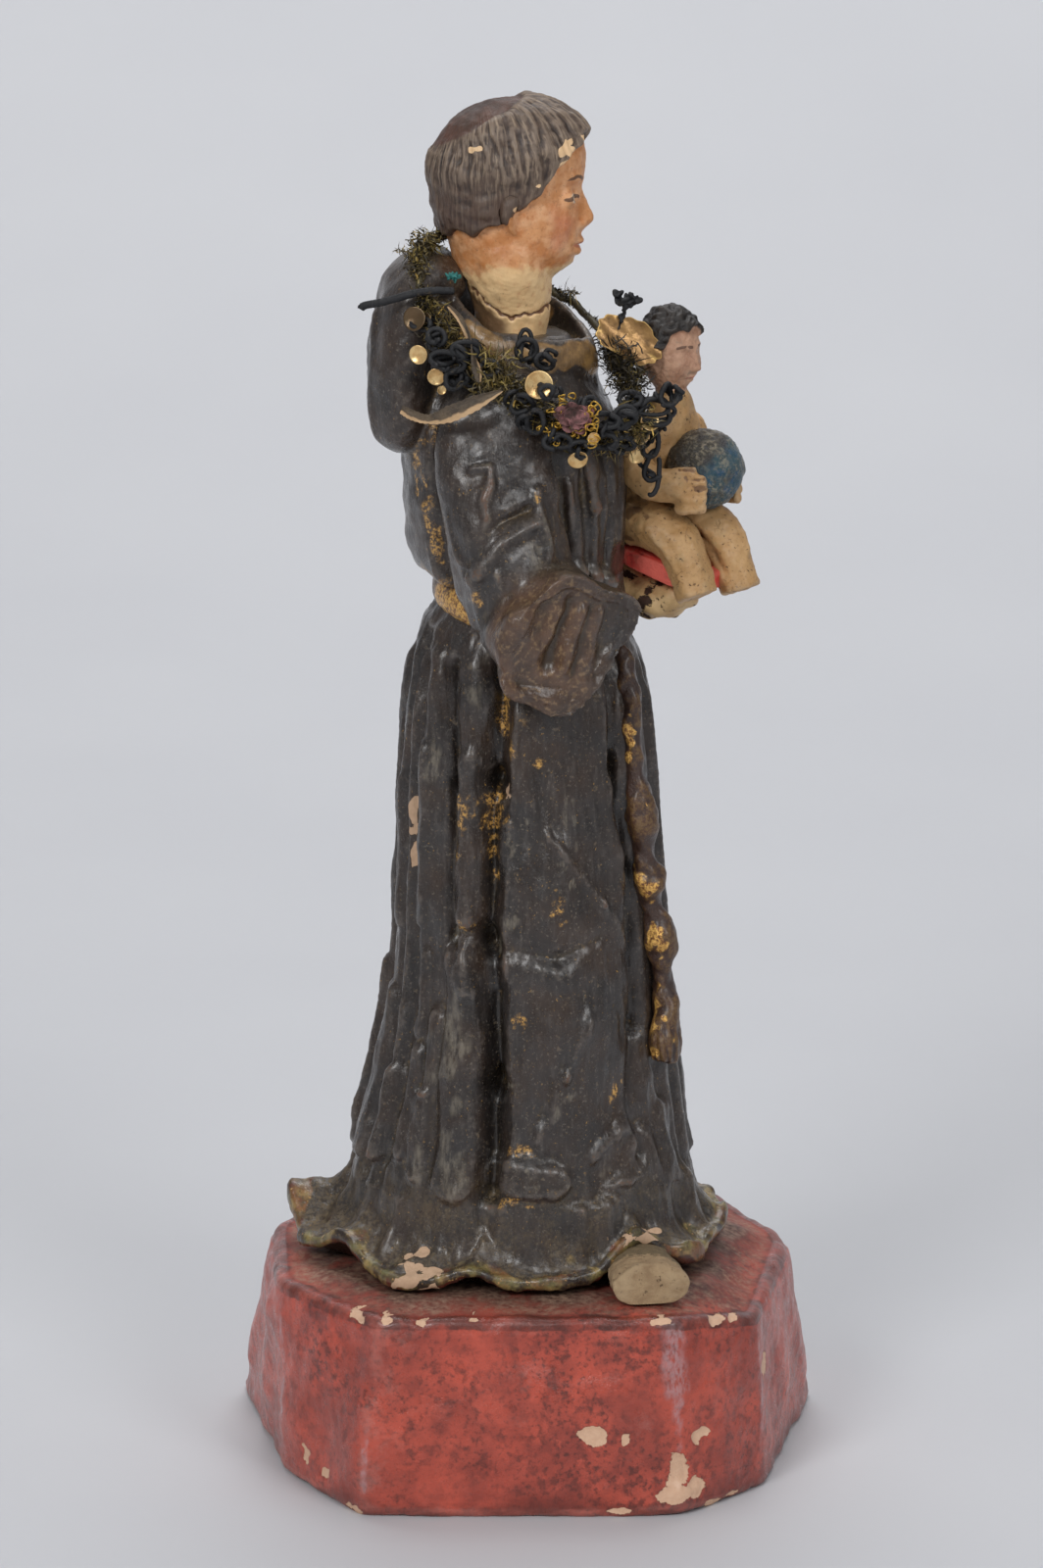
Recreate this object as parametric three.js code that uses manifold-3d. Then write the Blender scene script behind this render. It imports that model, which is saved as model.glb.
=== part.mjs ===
// A painted terracotta statuette of a friar saint in a hooded habit, with a seated child on his left arm.
// He stands on a separate octagonal plinth, and a garland of wire, sequins and leaves hangs round his neck.
// Millimetres, +Z up. The saint faces +X and his right-hand side is -Y. The origin is under the plinth's middle.
import * as THREE from "three";
import { mergeVertices } from "three/addons/utils/BufferGeometryUtils.js";
import Module from "manifold-3d";

const wasm = await Module();
wasm.setup();

// Driving dimensions
const PLINTH_TOP = 42;
const SEAM_GAP = 0.3;
const FIGURE_FOOT = PLINTH_TOP + SEAM_GAP;
const SKIRT_BOTTOM = 59;
const NECKLINE = 238;
const HEM_THICKNESS = 2.4;
const HEM_OVERHANG = 8;
const CREASE_SCALE = 27;
const ROPE_RADIUS = 2.3;
const GARLAND_RADIUS = 1.9;
const SEQUIN_RADIUS = 2.8;
const SEQUIN_THICKNESS = 0.6;
const SLIVER = 0.01;

const PAINT = {
  plinth: [0.52, 0.13, 0.1],
  habit: [0.1, 0.085, 0.075],
  flesh: [0.76, 0.58, 0.4],
  gold: [0.85, 0.62, 0.2],
  chenille: [0.3, 0.28, 0.1],
  wire: [0.03, 0.03, 0.035],
  petal: [0.4, 0.18, 0.2],
  leaf: [0.36, 0.28, 0.2],
};

const radians = THREE.MathUtils.degToRad;
const clamp = THREE.MathUtils.clamp;
const mix = THREE.MathUtils.lerp;
const bell = (distance, width) => Math.exp(-((distance / width) ** 2));
const point = (x, y, z) => new THREE.Vector3(x, y, z);
const ease = (low, high, value) => THREE.MathUtils.smoothstep(value, low, high);

// The shortest turn from one angle to another, in degrees.
const turnBetween = (a, b) => ((((a - b) % 360) + 540) % 360) - 180;

// Reads a smooth curve through rows of [key, value, value, ...] at a key.
function between(rows, key) {
  const at = clamp(rows.findIndex((row) => row[0] >= key), 1, rows.length - 1);
  const lower = rows[at - 1];
  const upper = rows[at];
  const before = rows[Math.max(at - 2, 0)];
  const after = rows[Math.min(at + 1, rows.length - 1)];
  const span = upper[0] - lower[0];
  const t = clamp((key - lower[0]) / span, 0, 1);
  return lower.slice(1).map((value, i) => {
    const slopeLow = ((upper[i + 1] - before[i + 1]) / (upper[0] - before[0])) * span;
    const slopeHigh = ((after[i + 1] - value) / (after[0] - lower[0])) * span;
    return (
      value * (1 + 2 * t) * (1 - t) ** 2 +
      slopeLow * t * (1 - t) ** 2 +
      upper[i + 1] * t * t * (3 - 2 * t) +
      slopeHigh * t * t * (t - 1)
    );
  });
}

// A closed mesh over a grid: `around` points on each ring, one ring for each entry of `stops`, and a point at each end.
function closedSkin(around, stops, pointAt) {
  const rings = stops.slice(1, -1);
  const corners = [pointAt(0, stops[0])];
  rings.forEach((stop) => {
    for (let i = 0; i < around; i++) corners.push(pointAt(i / around, stop));
  });
  corners.push(pointAt(0, stops[stops.length - 1]));
  const last = corners.length - 1;
  const faces = [];
  for (let i = 0; i < around; i++) {
    const j = (i + 1) % around;
    faces.push(0, 1 + j, 1 + i);
    for (let ring = 0; ring < rings.length - 1; ring++) {
      const low = 1 + ring * around;
      const high = low + around;
      faces.push(low + i, low + j, high + j, low + i, high + j, high + i);
    }
    const top = last - around;
    faces.push(top + i, top + j, last);
  }
  return solidFrom(corners, faces);
}

function solidFrom(corners, faces) {
  const geometry = new THREE.BufferGeometry().setFromPoints(corners);
  geometry.setIndex(faces);
  return solidOf(geometry);
}

// A closed geometry as a solid, turned right side out.
function solidOf(geometry, weld = 1e-3) {
  const bare = geometry.clone();
  bare.deleteAttribute("normal");
  bare.deleteAttribute("uv");
  const merged = mergeVertices(bare, weld);
  const triVerts = new Uint32Array(merged.index.array);
  const mesh = () =>
    new wasm.Manifold(
      new wasm.Mesh({ numProp: 3, vertProperties: merged.attributes.position.array, triVerts }),
    );
  const solid = mesh();
  if (solid.volume() > 0) return solid;
  for (let i = 0; i < triVerts.length; i += 3) triVerts.subarray(i + 1, i + 3).reverse();
  return mesh();
}

// A ball stretched to three radii, turned by degrees about Z and then leaned about Y.
function ball(centre, radii, around, levels, turn = 0, lean = 0, power = 2) {
  const stops = Array.from({ length: levels + 1 }, (_, i) => i / levels);
  const round = (value) => Math.sign(value) * Math.abs(value) ** (2 / power);
  return closedSkin(around, stops, (u, v) => {
    const angle = u * 2 * Math.PI;
    const level = (v - 0.5) * Math.PI;
    const ring = round(Math.cos(level));
    return point(
      radii[0] * ring * round(Math.cos(angle)),
      radii[1] * ring * round(Math.sin(angle)),
      radii[2] * round(Math.sin(level)),
    )
      .applyAxisAngle(point(0, 1, 0), radians(lean))
      .applyAxisAngle(point(0, 0, 1), radians(turn))
      .add(centre);
  });
}

// A limb or fold: an oval section carried along a path. Each station is [x, y, z, radius across, radius along `ref`].
// `ends` rounds the two ends, from 2 for a ball end to 8 for a cut end, over a share of the length.
function limb(stations, around, along, ref, ends = [2, 2], share = 0.14, shape = () => 0) {
  const rows = stations.map((station, i) => [i / (stations.length - 1), ...station]);
  const stops = Array.from({ length: along + 1 }, (_, i) => 0.5 - 0.5 * Math.cos((Math.PI * i) / along));
  return closedSkin(around, stops, (u, v) => {
    const [x, y, z, across, tall] = between(rows, v);
    const ahead = between(rows, Math.min(v + 0.01, 1));
    const behind = between(rows, Math.max(v - 0.01, 0));
    const way = point(ahead[0] - behind[0], ahead[1] - behind[1], ahead[2] - behind[2]).normalize();
    const side = point(...ref).cross(way).normalize();
    const up = way.clone().cross(side);
    const fromEnd = v < 0.5 ? v : 1 - v;
    const power = v < 0.5 ? ends[0] : ends[1];
    const inset = clamp(1 - fromEnd / share, 0, 1);
    const cap = (1 - inset ** power) ** (1 / power);
    const angle = u * 2 * Math.PI;
    const grow = cap * (1 + shape(angle, v) / Math.max(across, tall));
    return point(x, y, z)
      .addScaledVector(side, Math.cos(angle) * across * grow)
      .addScaledVector(up, Math.sin(angle) * tall * grow);
  });
}

const join = (...solids) => solids.reduce((sum, solid) => sum.add(solid));

// A solid's surface as a geometry.
function geometryOf(solid) {
  const { numProp, numVert, vertProperties, triVerts } = solid.getMesh();
  const corners = new Float32Array(numVert * 3);
  for (let i = 0; i < numVert; i++) corners.set(vertProperties.subarray(i * numProp, i * numProp + 3), i * 3);
  const geometry = new THREE.BufferGeometry();
  geometry.setAttribute("position", new THREE.BufferAttribute(corners, 3));
  geometry.setIndex(new THREE.BufferAttribute(triVerts, 1));
  return geometry;
}

// The largest body of a solid, without the slivers that joins and cuts leave.
function largest(solid) {
  const biggest = (whole) =>
    whole.decompose().reduce((best, body) => (body.volume() > best.volume() ? body : best));
  return biggest(solidOf(geometryOf(biggest(solid)), SLIVER));
}

// Cuts a piece back from its neighbours, with the seam gap left between them.
const CLEARING_WAYS = [
  [0, 0, 0], [1, 0, 0], [-1, 0, 0], [0, 1, 0], [0, -1, 0], [0, 0, 1], [0, 0, -1],
  [0.6, 0.6, 0.6], [-0.6, 0.6, 0.6], [0.6, -0.6, 0.6], [-0.6, -0.6, 0.6],
];
function clearOf(piece, neighbours) {
  const gap = SEAM_GAP * 1.25;
  const box = piece.boundingBox();
  const size = box.max.map((high, i) => high - box.min[i] + 4 * gap);
  const middle = box.max.map((high, i) => (high + box.min[i]) / 2);
  const room = solidOf(new THREE.BoxGeometry(...size).translate(...middle));
  let cleared = piece;
  neighbours.forEach((neighbour) => {
    const near = neighbour.intersect(room);
    if (near.isEmpty()) return;
    CLEARING_WAYS.forEach((way) => {
      cleared = cleared.subtract(near.translate(way.map((share) => share * gap)));
    });
  });
  return largest(cleared);
}

// The plinth: a hand-cut octagonal block. Each corner is [x, y] at the ground, then [x, y, z] at the top edge.
const PLINTH_CORNERS = [
  [32.5, -52, 30.5, -49.5, 41],
  [49, -33, 47.5, -33, 36.5],
  [61, 24, 55, 14, 38],
  [40, 52, 40, 44, 39.5],
  [-38, 52, -36, 45, 41],
  [-60.4, 30, -53, 14, 41],
  [-49.5, -26, -51, -24, 41],
  [-33.5, -52, -30.5, -49.5, 41],
];
const CORNER_ROUNDING = 0.1;
const TOP_ROUNDING = 2.2;
const TOP_SEAT = 0.76;

function plinthCorner(index, rise) {
  const [x, y, topX, topY, topZ] = PLINTH_CORNERS[index];
  return point(mix(x, topX, rise), mix(y, topY, rise), topZ * rise);
}

// A point on the octagon's outline, with each corner rounded over a share of its two edges.
function plinthOutline(u, rise) {
  const count = PLINTH_CORNERS.length;
  const walk = u * count;
  const index = Math.floor(walk + 0.5) % count;
  const offset = walk + 0.5 - Math.floor(walk + 0.5) - 0.5;
  const here = plinthCorner(index, rise);
  const next = plinthCorner((index + 1) % count, rise);
  const last = plinthCorner((index + count - 1) % count, rise);
  const towards = offset >= 0 ? next : last;
  const reach = Math.abs(offset);
  const edge = here.clone().lerp(towards, reach);
  const chord = here.clone().lerp(last.clone().add(next).multiplyScalar(0.5), CORNER_ROUNDING * 0.8);
  return edge.lerp(chord, bell(reach, CORNER_ROUNDING));
}

function makePlinth(perSide, walls) {
  const wall = Array.from({ length: walls }, (_, i) => 0.03 + (0.91 * i) / (walls - 1));
  const stops = [
    ["floor", 0],
    ["floor", 1],
    ...wall.map((rise) => ["wall", rise]),
    ["top", 0.025],
    ["top", 0.09],
    ["top", 0.22],
    ["top", 1],
  ];
  return closedSkin(PLINTH_CORNERS.length * perSide, stops, (u, [zone, s]) => {
    const belly = 1 + 0.012 * Math.sin(Math.PI * s);
    if (zone === "wall") {
      const p = plinthOutline(u, s);
      return point(p.x * belly, p.y * belly, p.z);
    }
    if (zone === "floor") {
      const p = plinthOutline(u, 0).multiplyScalar(s * 0.985);
      return point(p.x, p.y, 0);
    }
    const edge = plinthOutline(u, 1);
    const sink = TOP_ROUNDING * bell(s, 0.05);
    const level = mix(edge.z, PLINTH_TOP, ease(0, 1 - TOP_SEAT, s)) - sink * 0.4;
    return point(edge.x * (1 - s), edge.y * (1 - s), Math.min(level, PLINTH_TOP));
  });
}

// The habit's outline: [height, back, front, half width].
const HABIT_OUTLINE = [
  [56, -37, 35, 34],
  [66, -34.6, 33, 32],
  [80, -30.8, 31, 30.5],
  [98, -27.6, 29.6, 28.5],
  [120, -26.3, 28.4, 26.8],
  [148, -25.2, 26.2, 25],
  [163, -23.9, 24.4, 23.5],
  [174, -21, 20.6, 21],
  [181, -17.8, 20, 20.4],
  [189, -20.8, 20, 20.5],
  [200, -22, 20.5, 21.5],
  [212, -22, 19.5, 21.5],
  [222, -19.5, 15.5, 18.5],
  [230, -15.5, 10.5, 13],
  [238, -10, 5, 7],
];

// Folds pressed or raised in the cloth: from [turn, height] to [turn, height], half width, height of relief.
// Turn runs in degrees from the front towards his right-hand side.
const FOLDS = [
  // the two deep pleats of the right-hand side, and the panel between them
  [131, 168, 124.5, 145, 1.9, -2.6],
  [124.5, 145, 127.5, 60, 1.9, -3],
  [97.6, 168, 104.4, 147, 2, -3.4],
  [104.4, 147, 103, 60, 2.2, -3.8],
  [114, 168, 115, 60, 4, 1.7],
  // the pleats behind them
  [141, 170, 139, 60, 2.4, 1.3],
  [149, 168, 147, 60, 1.6, -2],
  [160, 172, 159, 60, 1.8, -2.3],
  // the trough beside the hanging rope
  [43, 168, 49, 146, 2.4, -2.6],
  [49, 146, 40, 117, 2.4, -3],
  [40, 117, 47, 94, 2.4, -2.8],
  [47, 94, 48, 66, 2.4, -2.2],
  // the bent right knee and shin under the cloth, with the creases that run to them
  [80, 121, 75, 99, 12, 3],
  [70, 97, 80, 64, 8, 1.6],
  [101, 112, 67, 113.5, 1.5, -1.3],
  [98, 133, 56, 116, 1.7, 1.1],
  [68, 95, 83, 75, 1.6, 1.3],
  [63, 94, 77, 72, 1.6, -1.1],
  [54, 76, 60, 62, 2, 1.3],
  [92, 160, 94, 138, 2, 0.9],
  // the front edge
  [28, 84, 22, 62, 1.8, -1.5],
  [16, 166, 13, 62, 1.7, -1.8],
  [4, 166, 3, 62, 1.7, -1.2],
  // the breast beside the right sleeve
  [52, 212, 50, 184, 1.8, -2],
  [38, 212, 40, 182, 1.5, -1.3],
];
const BACK_PLEATS = 9;
for (let i = 0; i < BACK_PLEATS; i++) {
  const turn = 176 + 18 * i;
  FOLDS.push([turn, 168, turn + 2, 60, 1.9, -2.2 - 0.8 * Math.sin(2.1 * i)]);
}

function foldRelief(turn, z) {
  let relief = 0;
  for (const [turnA, highA, turnB, highB, width, rise] of FOLDS) {
    const alongTurn = radians(turnB - turnA) * CREASE_SCALE;
    const alongHigh = highB - highA;
    const toTurn = radians(turnBetween(turn, turnA)) * CREASE_SCALE;
    const share = (toTurn * alongTurn + (z - highA) * alongHigh) / (alongTurn ** 2 + alongHigh ** 2);
    const t = clamp(share, 0, 1);
    const distance = Math.hypot(toTurn - t * alongTurn, z - highA - t * alongHigh);
    relief += rise * bell(distance, width);
  }
  return relief;
}

// The short cape that hangs down the back to the waist: its thickness at a turn and height.
const CAPE = { side: 138, low: 184.4, thickness: 2.5 };
function capeThickness(turn, z) {
  const beside = Math.abs(turnBetween(turn, 180)) - (180 - CAPE.side);
  return CAPE.thickness * (1 - ease(-4, 4, beside)) * ease(CAPE.low - 1.5, CAPE.low + 1.5, z);
}

// The hem's lobes: [turn, spread, how far the edge reaches out, how far it lifts off the plinth, how much
// thicker it is].
const HEM_LOBES = [
  [184, 10, 3, 5.5, 3.5], [165, 7, 1.5, 0.4, 0.5], [146, 11, -0.8, 4.6, 0.6], [120, 9, 3.6, -0.4, 0.8],
  [101, 7, 0, 2.8, -0.4], [76, 9, 1, 0.2, 0.8], [54, 10, -1, 7.6, 0.6], [36, 8, 2.5, 1.2, 2.2],
  [20, 7, 0, 3, 0.4], [2, 10, 0.5, 4, 1], [335, 12, 1.5, 3, 0.6], [310, 10, -1, 5.5, 0.4],
  [285, 9, 2.5, 0.5, 1], [262, 12, 0, 4, 0.4], [232, 10, 2.5, 0.5, 1], [210, 9, -1, 4.4, 0.6],
];
const HEM_CENTRE = -2.5;
const HEM_HALF_DEPTH = 43;
const HEM_HALF_WIDTH = 37.5;
const lobesAt = (turn, column) =>
  HEM_LOBES.reduce((sum, lobe) => sum + lobe[column] * bell(turnBetween(turn, lobe[0]), lobe[1]), 0);
const hemSpread = (turn) => lobesAt(turn, 2);
const hemLift = (turn) => Math.max(0.9 + lobesAt(turn, 3), 0.5);
const hemThickness = (turn) => HEM_THICKNESS + lobesAt(turn, 4);

function ringPoint(turn, centre, halfDepth, halfWidth, reach, z) {
  const angle = radians(turn);
  return point(
    centre + (halfDepth + reach) * Math.cos(angle),
    -(halfWidth + reach) * Math.sin(angle),
    z,
  );
}

function skirtPoint(turn, z) {
  const [back, front, halfWidth] = between(HABIT_OUTLINE, z);
  const fade = 1 - ease(218, 236, z);
  const reach = (foldRelief(turn, z) + capeThickness(turn, z)) * fade;
  return ringPoint(turn, (front + back) / 2, (front - back) / 2, halfWidth, reach, z);
}

// The habit from the point under its middle, out along its underside, round the hem and up to the neck.
function habitPoint(turn, zone, s) {
  const lift = hemLift(turn);
  const under = FIGURE_FOOT + lift;
  const hemAt = (reach, z) =>
    ringPoint(turn, HEM_CENTRE, HEM_HALF_DEPTH, HEM_HALF_WIDTH, hemSpread(turn) + reach, z);
  if (zone === "foot") {
    const core = hemAt(-HEM_OVERHANG, FIGURE_FOOT);
    return point(mix(HEM_CENTRE, core.x, s), core.y * s, FIGURE_FOOT);
  }
  if (zone === "underside") return hemAt(-HEM_OVERHANG * (1 - s), mix(FIGURE_FOOT, under, ease(0, 0.7, s)));
  if (zone === "edge") return hemAt(0.6 * Math.sin(Math.PI * s), under + hemThickness(turn) * s);
  if (zone === "flange") {
    const outer = hemAt(0, under + hemThickness(turn));
    const inner = skirtPoint(turn, SKIRT_BOTTOM);
    const height = mix(outer.z, inner.z, s * s);
    return outer.lerp(inner, 1 - (1 - s) ** 1.7).setZ(height);
  }
  return skirtPoint(turn, mix(SKIRT_BOTTOM, NECKLINE, s));
}

function makeHabit(around, skirtRings) {
  const skirt = Array.from({ length: skirtRings + 1 }, (_, i) => ["skirt", i / skirtRings]);
  const stops = [
    ["foot", 0], ["foot", 1], ["underside", 0.5], ["edge", 0], ["edge", 1],
    ["flange", 0.3], ["flange", 0.65], ...skirt, ["neck", 0],
  ];
  return closedSkin(around, stops, (u, [zone, s]) => {
    if (zone === "neck") return point(-2.5, 0, NECKLINE + 1);
    return habitPoint(u * 360, zone, s);
  });
}

// The hood lying on his back, and its thin standing collar round the neck.
// The collar's rim: [turn, height]. It rises from the breast to the hood, more steeply on his left.
const COLLAR_RIM = [
  [0, 232], [60, 234], [90, 235], [120, 236.6], [150, 241], [180, 244.4], [225, 243], [270, 240],
  [300, 238.6], [330, 235], [360, 232],
];
function makeHood() {
  const bag = limb(
    [
      [-8, 0, 241.6, 9.5, 5.5],
      [-16, 0, 245, 12.7, 6],
      [-22, 0, 241.6, 15.5, 7],
      [-23.5, 0, 232, 16.5, 8],
      [-24, 0, 219, 16, 8],
      [-24.5, 0, 209.5, 12, 6],
    ],
    12, 8, [1, 0, 0.2], [2.5, 3.5], 0.14,
  );
  const turns = 18;
  const corners = [];
  const faces = [];
  const section = [[0.6, -8.6], [3, -6.8], [3, -2.4], [1.7, 0], [0.2, -0.6], [-0.9, -7.6]];
  for (let i = 0; i < turns; i++) {
    const angle = (i / turns) * 2 * Math.PI;
    const [c, s] = [Math.cos(angle), Math.sin(angle)];
    const [rim] = between(COLLAR_RIM, (i / turns) * 360);
    section.forEach(([out, up]) => {
      corners.push(point(-1.4 + (12.6 + out) * c, -(12.6 + out) * s, rim + up));
    });
  }
  for (let i = 0; i < turns; i++) {
    const next = (i + 1) % turns;
    for (let j = 0; j < section.length; j++) {
      const k = (j + 1) % section.length;
      const [a, b] = [i * section.length, next * section.length];
      faces.push(a + j, b + j, b + k, a + j, b + k, a + k);
    }
  }
  return join(bag, solidFrom(corners, faces));
}

// The head: a skull with plain features and a cap of combed hair round a shaven crown.
// The skull's outline: [height, back, front, half width].
const SKULL = [
  [242, -11, 3, 7],
  [246, -14, 7, 8.4],
  [250, -15, 10.2, 9.4],
  [254, -16, 11, 10.1],
  [258, -16.8, 11.1, 10.7],
  [262, -17.6, 11, 11.1],
  [266, -18.2, 11.8, 11.2],
  [270, -17.6, 11.9, 10.9],
  [274, -15.6, 10.6, 9.8],
  [277.2, -12, 7.4, 7.6],
  [279.2, -7, 2.6, 4],
];
const SKULL_TOP = 279.8;
const HAIRLINE = [
  [-20, 255], [-13.5, 254.3], [-6.4, 256.2], [-0.6, 260], [5.2, 265.9], [10.5, 272.2], [14, 273.5],
];
const FEATURES = [
  // turn from the front, height, spread sideways, spread upwards, relief
  [0, 258.6, 8, 2.6, 2.7],
  [0, 262.5, 6, 3, 1.3],
  [24, 264.2, 9, 1.8, -1.2],
  [24, 267.4, 14, 1.6, 0.6],
  [0, 253.6, 13, 1.3, 0.8],
  [0, 249, 15, 2.4, 1.2],
  [38, 256, 16, 4, 0.8],
];
function headPoint(turn, z) {
  const [back, front, halfWidth] = between(SKULL, z);
  const [c, s] = [Math.cos(radians(turn)), Math.sin(radians(turn))];
  const p = point(
    (front + back) / 2 + ((front - back) / 2) * c,
    -halfWidth * s * (1 - 0.14 * c),
    z,
  );
  const away = point(c, -s, 0.9 * ease(264, 278, z)).normalize();
  const [line] = between(HAIRLINE, p.x);
  const inHair = ease(-0.7, 0.7, z - line);
  const crown = 1 - ease(7.5, 9.5, Math.hypot(p.x + 9, p.y) + Math.max(0, 270 - z));
  const comb = 0.3 * Math.sin(turn * 0.35 + z * 0.9);
  const features = FEATURES.reduce((sum, [at, high, sideways, upwards, relief]) => {
    const beside = Math.min(Math.abs(turnBetween(turn, at)), Math.abs(turnBetween(turn, -at)));
    return sum + relief * bell(beside, sideways) * bell(z - high, upwards);
  }, 0);
  return p.addScaledVector(away, mix(features, mix(2.2 + comb, 0.9, crown), inHair));
}

function makeHead(around, levels) {
  const lowest = SKULL[0][0];
  const highest = SKULL[SKULL.length - 1][0];
  const stops = Array.from({ length: levels }, (_, i) => mix(lowest, highest, i / (levels - 1)));
  const head = closedSkin(around, ["chin", ...stops, "top"], (u, z) => {
    if (z === "chin") return point(-3, 0, lowest);
    if (z === "top") return point(-3, 0, SKULL_TOP + 1);
    return headPoint(u * 360, z);
  });
  const neck = limb(
    [
      [-1.2, 0, 228, 7.2, 7.2],
      [-1.4, 0, 237, 7.6, 7.6],
      [-3, 0, 246, 9.4, 8.6],
      [-4, 0, 256, 10, 9.4],
    ],
    12, 5, [1, 0, 0],
  );
  return join(head, neck);
}

// The right arm: a wide sleeve to the bent elbow, and the forearm sleeve that ends in an open, drooping cuff.
// The hand is lost, and only its stump shows in the cuff.
// The cuff's mouth is a kite: [turn, spread, extra radius], with the turn from his front side upwards.
const CUFF_KITE = [[22, 24, 5], [96, 20, 1.8], [190, 24, 2.2], [267, 26, 3.8]];
const cuffKite = (angle) =>
  CUFF_KITE.reduce((sum, [at, spread, extra]) => sum + extra * bell(turnBetween(angle * (180 / Math.PI), at), spread), 0);

function makeRightArm() {
  const upper = limb(
    [
      [-3, -9, 227, 8, 7],
      [-5.5, -17.5, 220.5, 11, 8.5],
      [-6, -21.5, 208, 11.6, 9.6],
      [-4, -24, 195, 11.8, 10.6],
      [-1, -25.5, 184, 11, 10.5],
      [2, -25, 176, 8.5, 9],
    ],
    14, 8, [0, 1, 0],
    [2, 2], 0.18,
    (angle, v) => 0.8 * Math.sin(3 * angle + 9 * v),
  );
  const fore = limb(
    [
      [-2, -18, 184, 9, 10],
      [2, -26, 181, 11.5, 12],
      [6, -33.5, 178.5, 12, 12.4],
      [8.4, -38.5, 177.6, 12.2, 12.4],
    ],
    18, 5, [0, 0.1, 1], [2, 9], 0.1,
    (angle, v) => cuffKite(angle) * ease(0.2, 0.9, v),
  );
  const mouth = limb(
    [
      [10.6, -42, 178.4, 10.2, 10.6],
      [9.4, -36.2, 178.8, 9.4, 9.8],
    ],
    18, 3, [0, 0.1, 1], [9, 6], 0.3,
    (angle) => cuffKite(angle) * 0.8,
  );
  const stump = ball(point(3.4, -36.4, 182), [5, 4.4, 5.4], 8, 5);
  const pleats = [[13, 180], [17, 182]].map(([x, z]) =>
    limb([[x - 5, -36.4, z - 9, 1.6, 2.2], [x, -37, z, 1.8, 2.4], [x + 3, -36.6, z + 7, 1.5, 2]], 8, 4, [0, 1, 0]),
  );
  return join(join(upper, fore).subtract(mouth), stump, ...pleats);
}

// The left arm comes forward across the body, and its hand lies under the child's book.
function makeLeftArm() {
  const upper = limb(
    [
      [-2, 9, 226, 8, 7],
      [-4, 17, 221, 12, 8.5],
      [-4.5, 21.5, 208, 13.5, 10],
      [-3, 24, 194, 13, 10.5],
      [0, 24.5, 183, 11.5, 10],
      [3, 23, 176, 9, 8],
    ],
    12, 7, [0, 1, 0],
    [2, 2], 0.18,
    (angle, v) => 0.8 * Math.sin(3 * angle + 9 * v),
  );
  const fore = limb(
    [
      [0, 24, 181, 8, 10],
      [10, 20, 181, 9.5, 12],
      [17, 14, 183, 9, 11],
      [21.5, 9, 184, 8, 9.5],
    ],
    12, 6, [0, 0, 1], [2, 9], 0.12,
  );
  const hand = limb(
    [
      [17, 13, 183, 5, 4.5],
      [23, 8, 178, 5.6, 4.6],
      [28, 4.5, 176.6, 5.8, 4],
      [33, 2.5, 178, 4.6, 2.6],
    ],
    10, 5, [0, 0, 1],
  );
  return join(upper, fore, hand);
}

// The rope girdle round the waist, and its end that hangs down the front to a tassel, with three knots.
const ROPE_DROP = [
  [19.5, -11.5, 172, 2, 2],
  [21.2, -14, 158, 2, 2],
  [22, -15, 146, 1.9, 1.9],
  [23.4, -15.6, 137, 3.5, 3.4],
  [24.2, -15.4, 129, 2, 2],
  [25, -15.2, 123, 3.3, 3.2],
  [25.8, -14.6, 117.5, 1.9, 1.9],
  [27.3, -14, 111, 3.6, 3.6],
  [28, -13.8, 104, 2.1, 2.1],
  [28.6, -14, 98, 3, 2.6],
  [29.4, -14.6, 90, 4.8, 3.6],
  [29.4, -15, 85.5, 4.2, 3],
];
function makeRope() {
  const drop = limb(ROPE_DROP, 6, 18, [1, 0, 0], [2, 5], 0.05);
  const turns = 20;
  const loop = Array.from({ length: turns + 1 }, (_, i) => {
    const angle = (i / turns) * 2 * Math.PI;
    const z = 177.5 - 4 * Math.cos(angle);
    return [1 + 18.2 * Math.cos(angle), -21.2 * Math.sin(angle), z, ROPE_RADIUS, ROPE_RADIUS];
  });
  const half = (from, to) => limb(loop.slice(from, to), 4, 9, [0, 0, 1]);
  return join(drop, half(0, turns / 2 + 1), half(turns / 2, turns + 1));
}

// The toe of the right foot, broken off flat where it comes out from under the hem.
function makeToe() {
  return limb(
    [[22, -26, 46, 6, 4.4], [24.8, -33, 45.6, 6, 4.2], [26.8, -39.5, 45, 6, 3.8]],
    12, 6, [0, 0, 1], [2, 6], 0.12,
  );
}

function makeSaint() {
  const floor = solidOf(new THREE.BoxGeometry(200, 200, 60).translate(0, 0, FIGURE_FOOT - 30));
  return largest(
    join(
      makeHabit(56, 11), makeHood(), makeHead(20, 12),
      makeRightArm(), makeLeftArm(), makeRope(), makeToe(),
    ).subtract(floor),
  );
}

// The child, seated on a closed book, turned towards the saint's right-hand side, with a globe in both hands.
const CHILD_TURN = -38;
const CHILD_SEAT = point(24.5, 9, 190);
// A place on the child: forward, to the child's left, up from the seat.
function onChild(forward, left, up) {
  return point(forward, left, up).applyAxisAngle(point(0, 0, 1), radians(CHILD_TURN)).add(CHILD_SEAT);
}
const childStation = (forward, left, up, across, tall) => [...onChild(forward, left, up).toArray(), across, tall];

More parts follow.
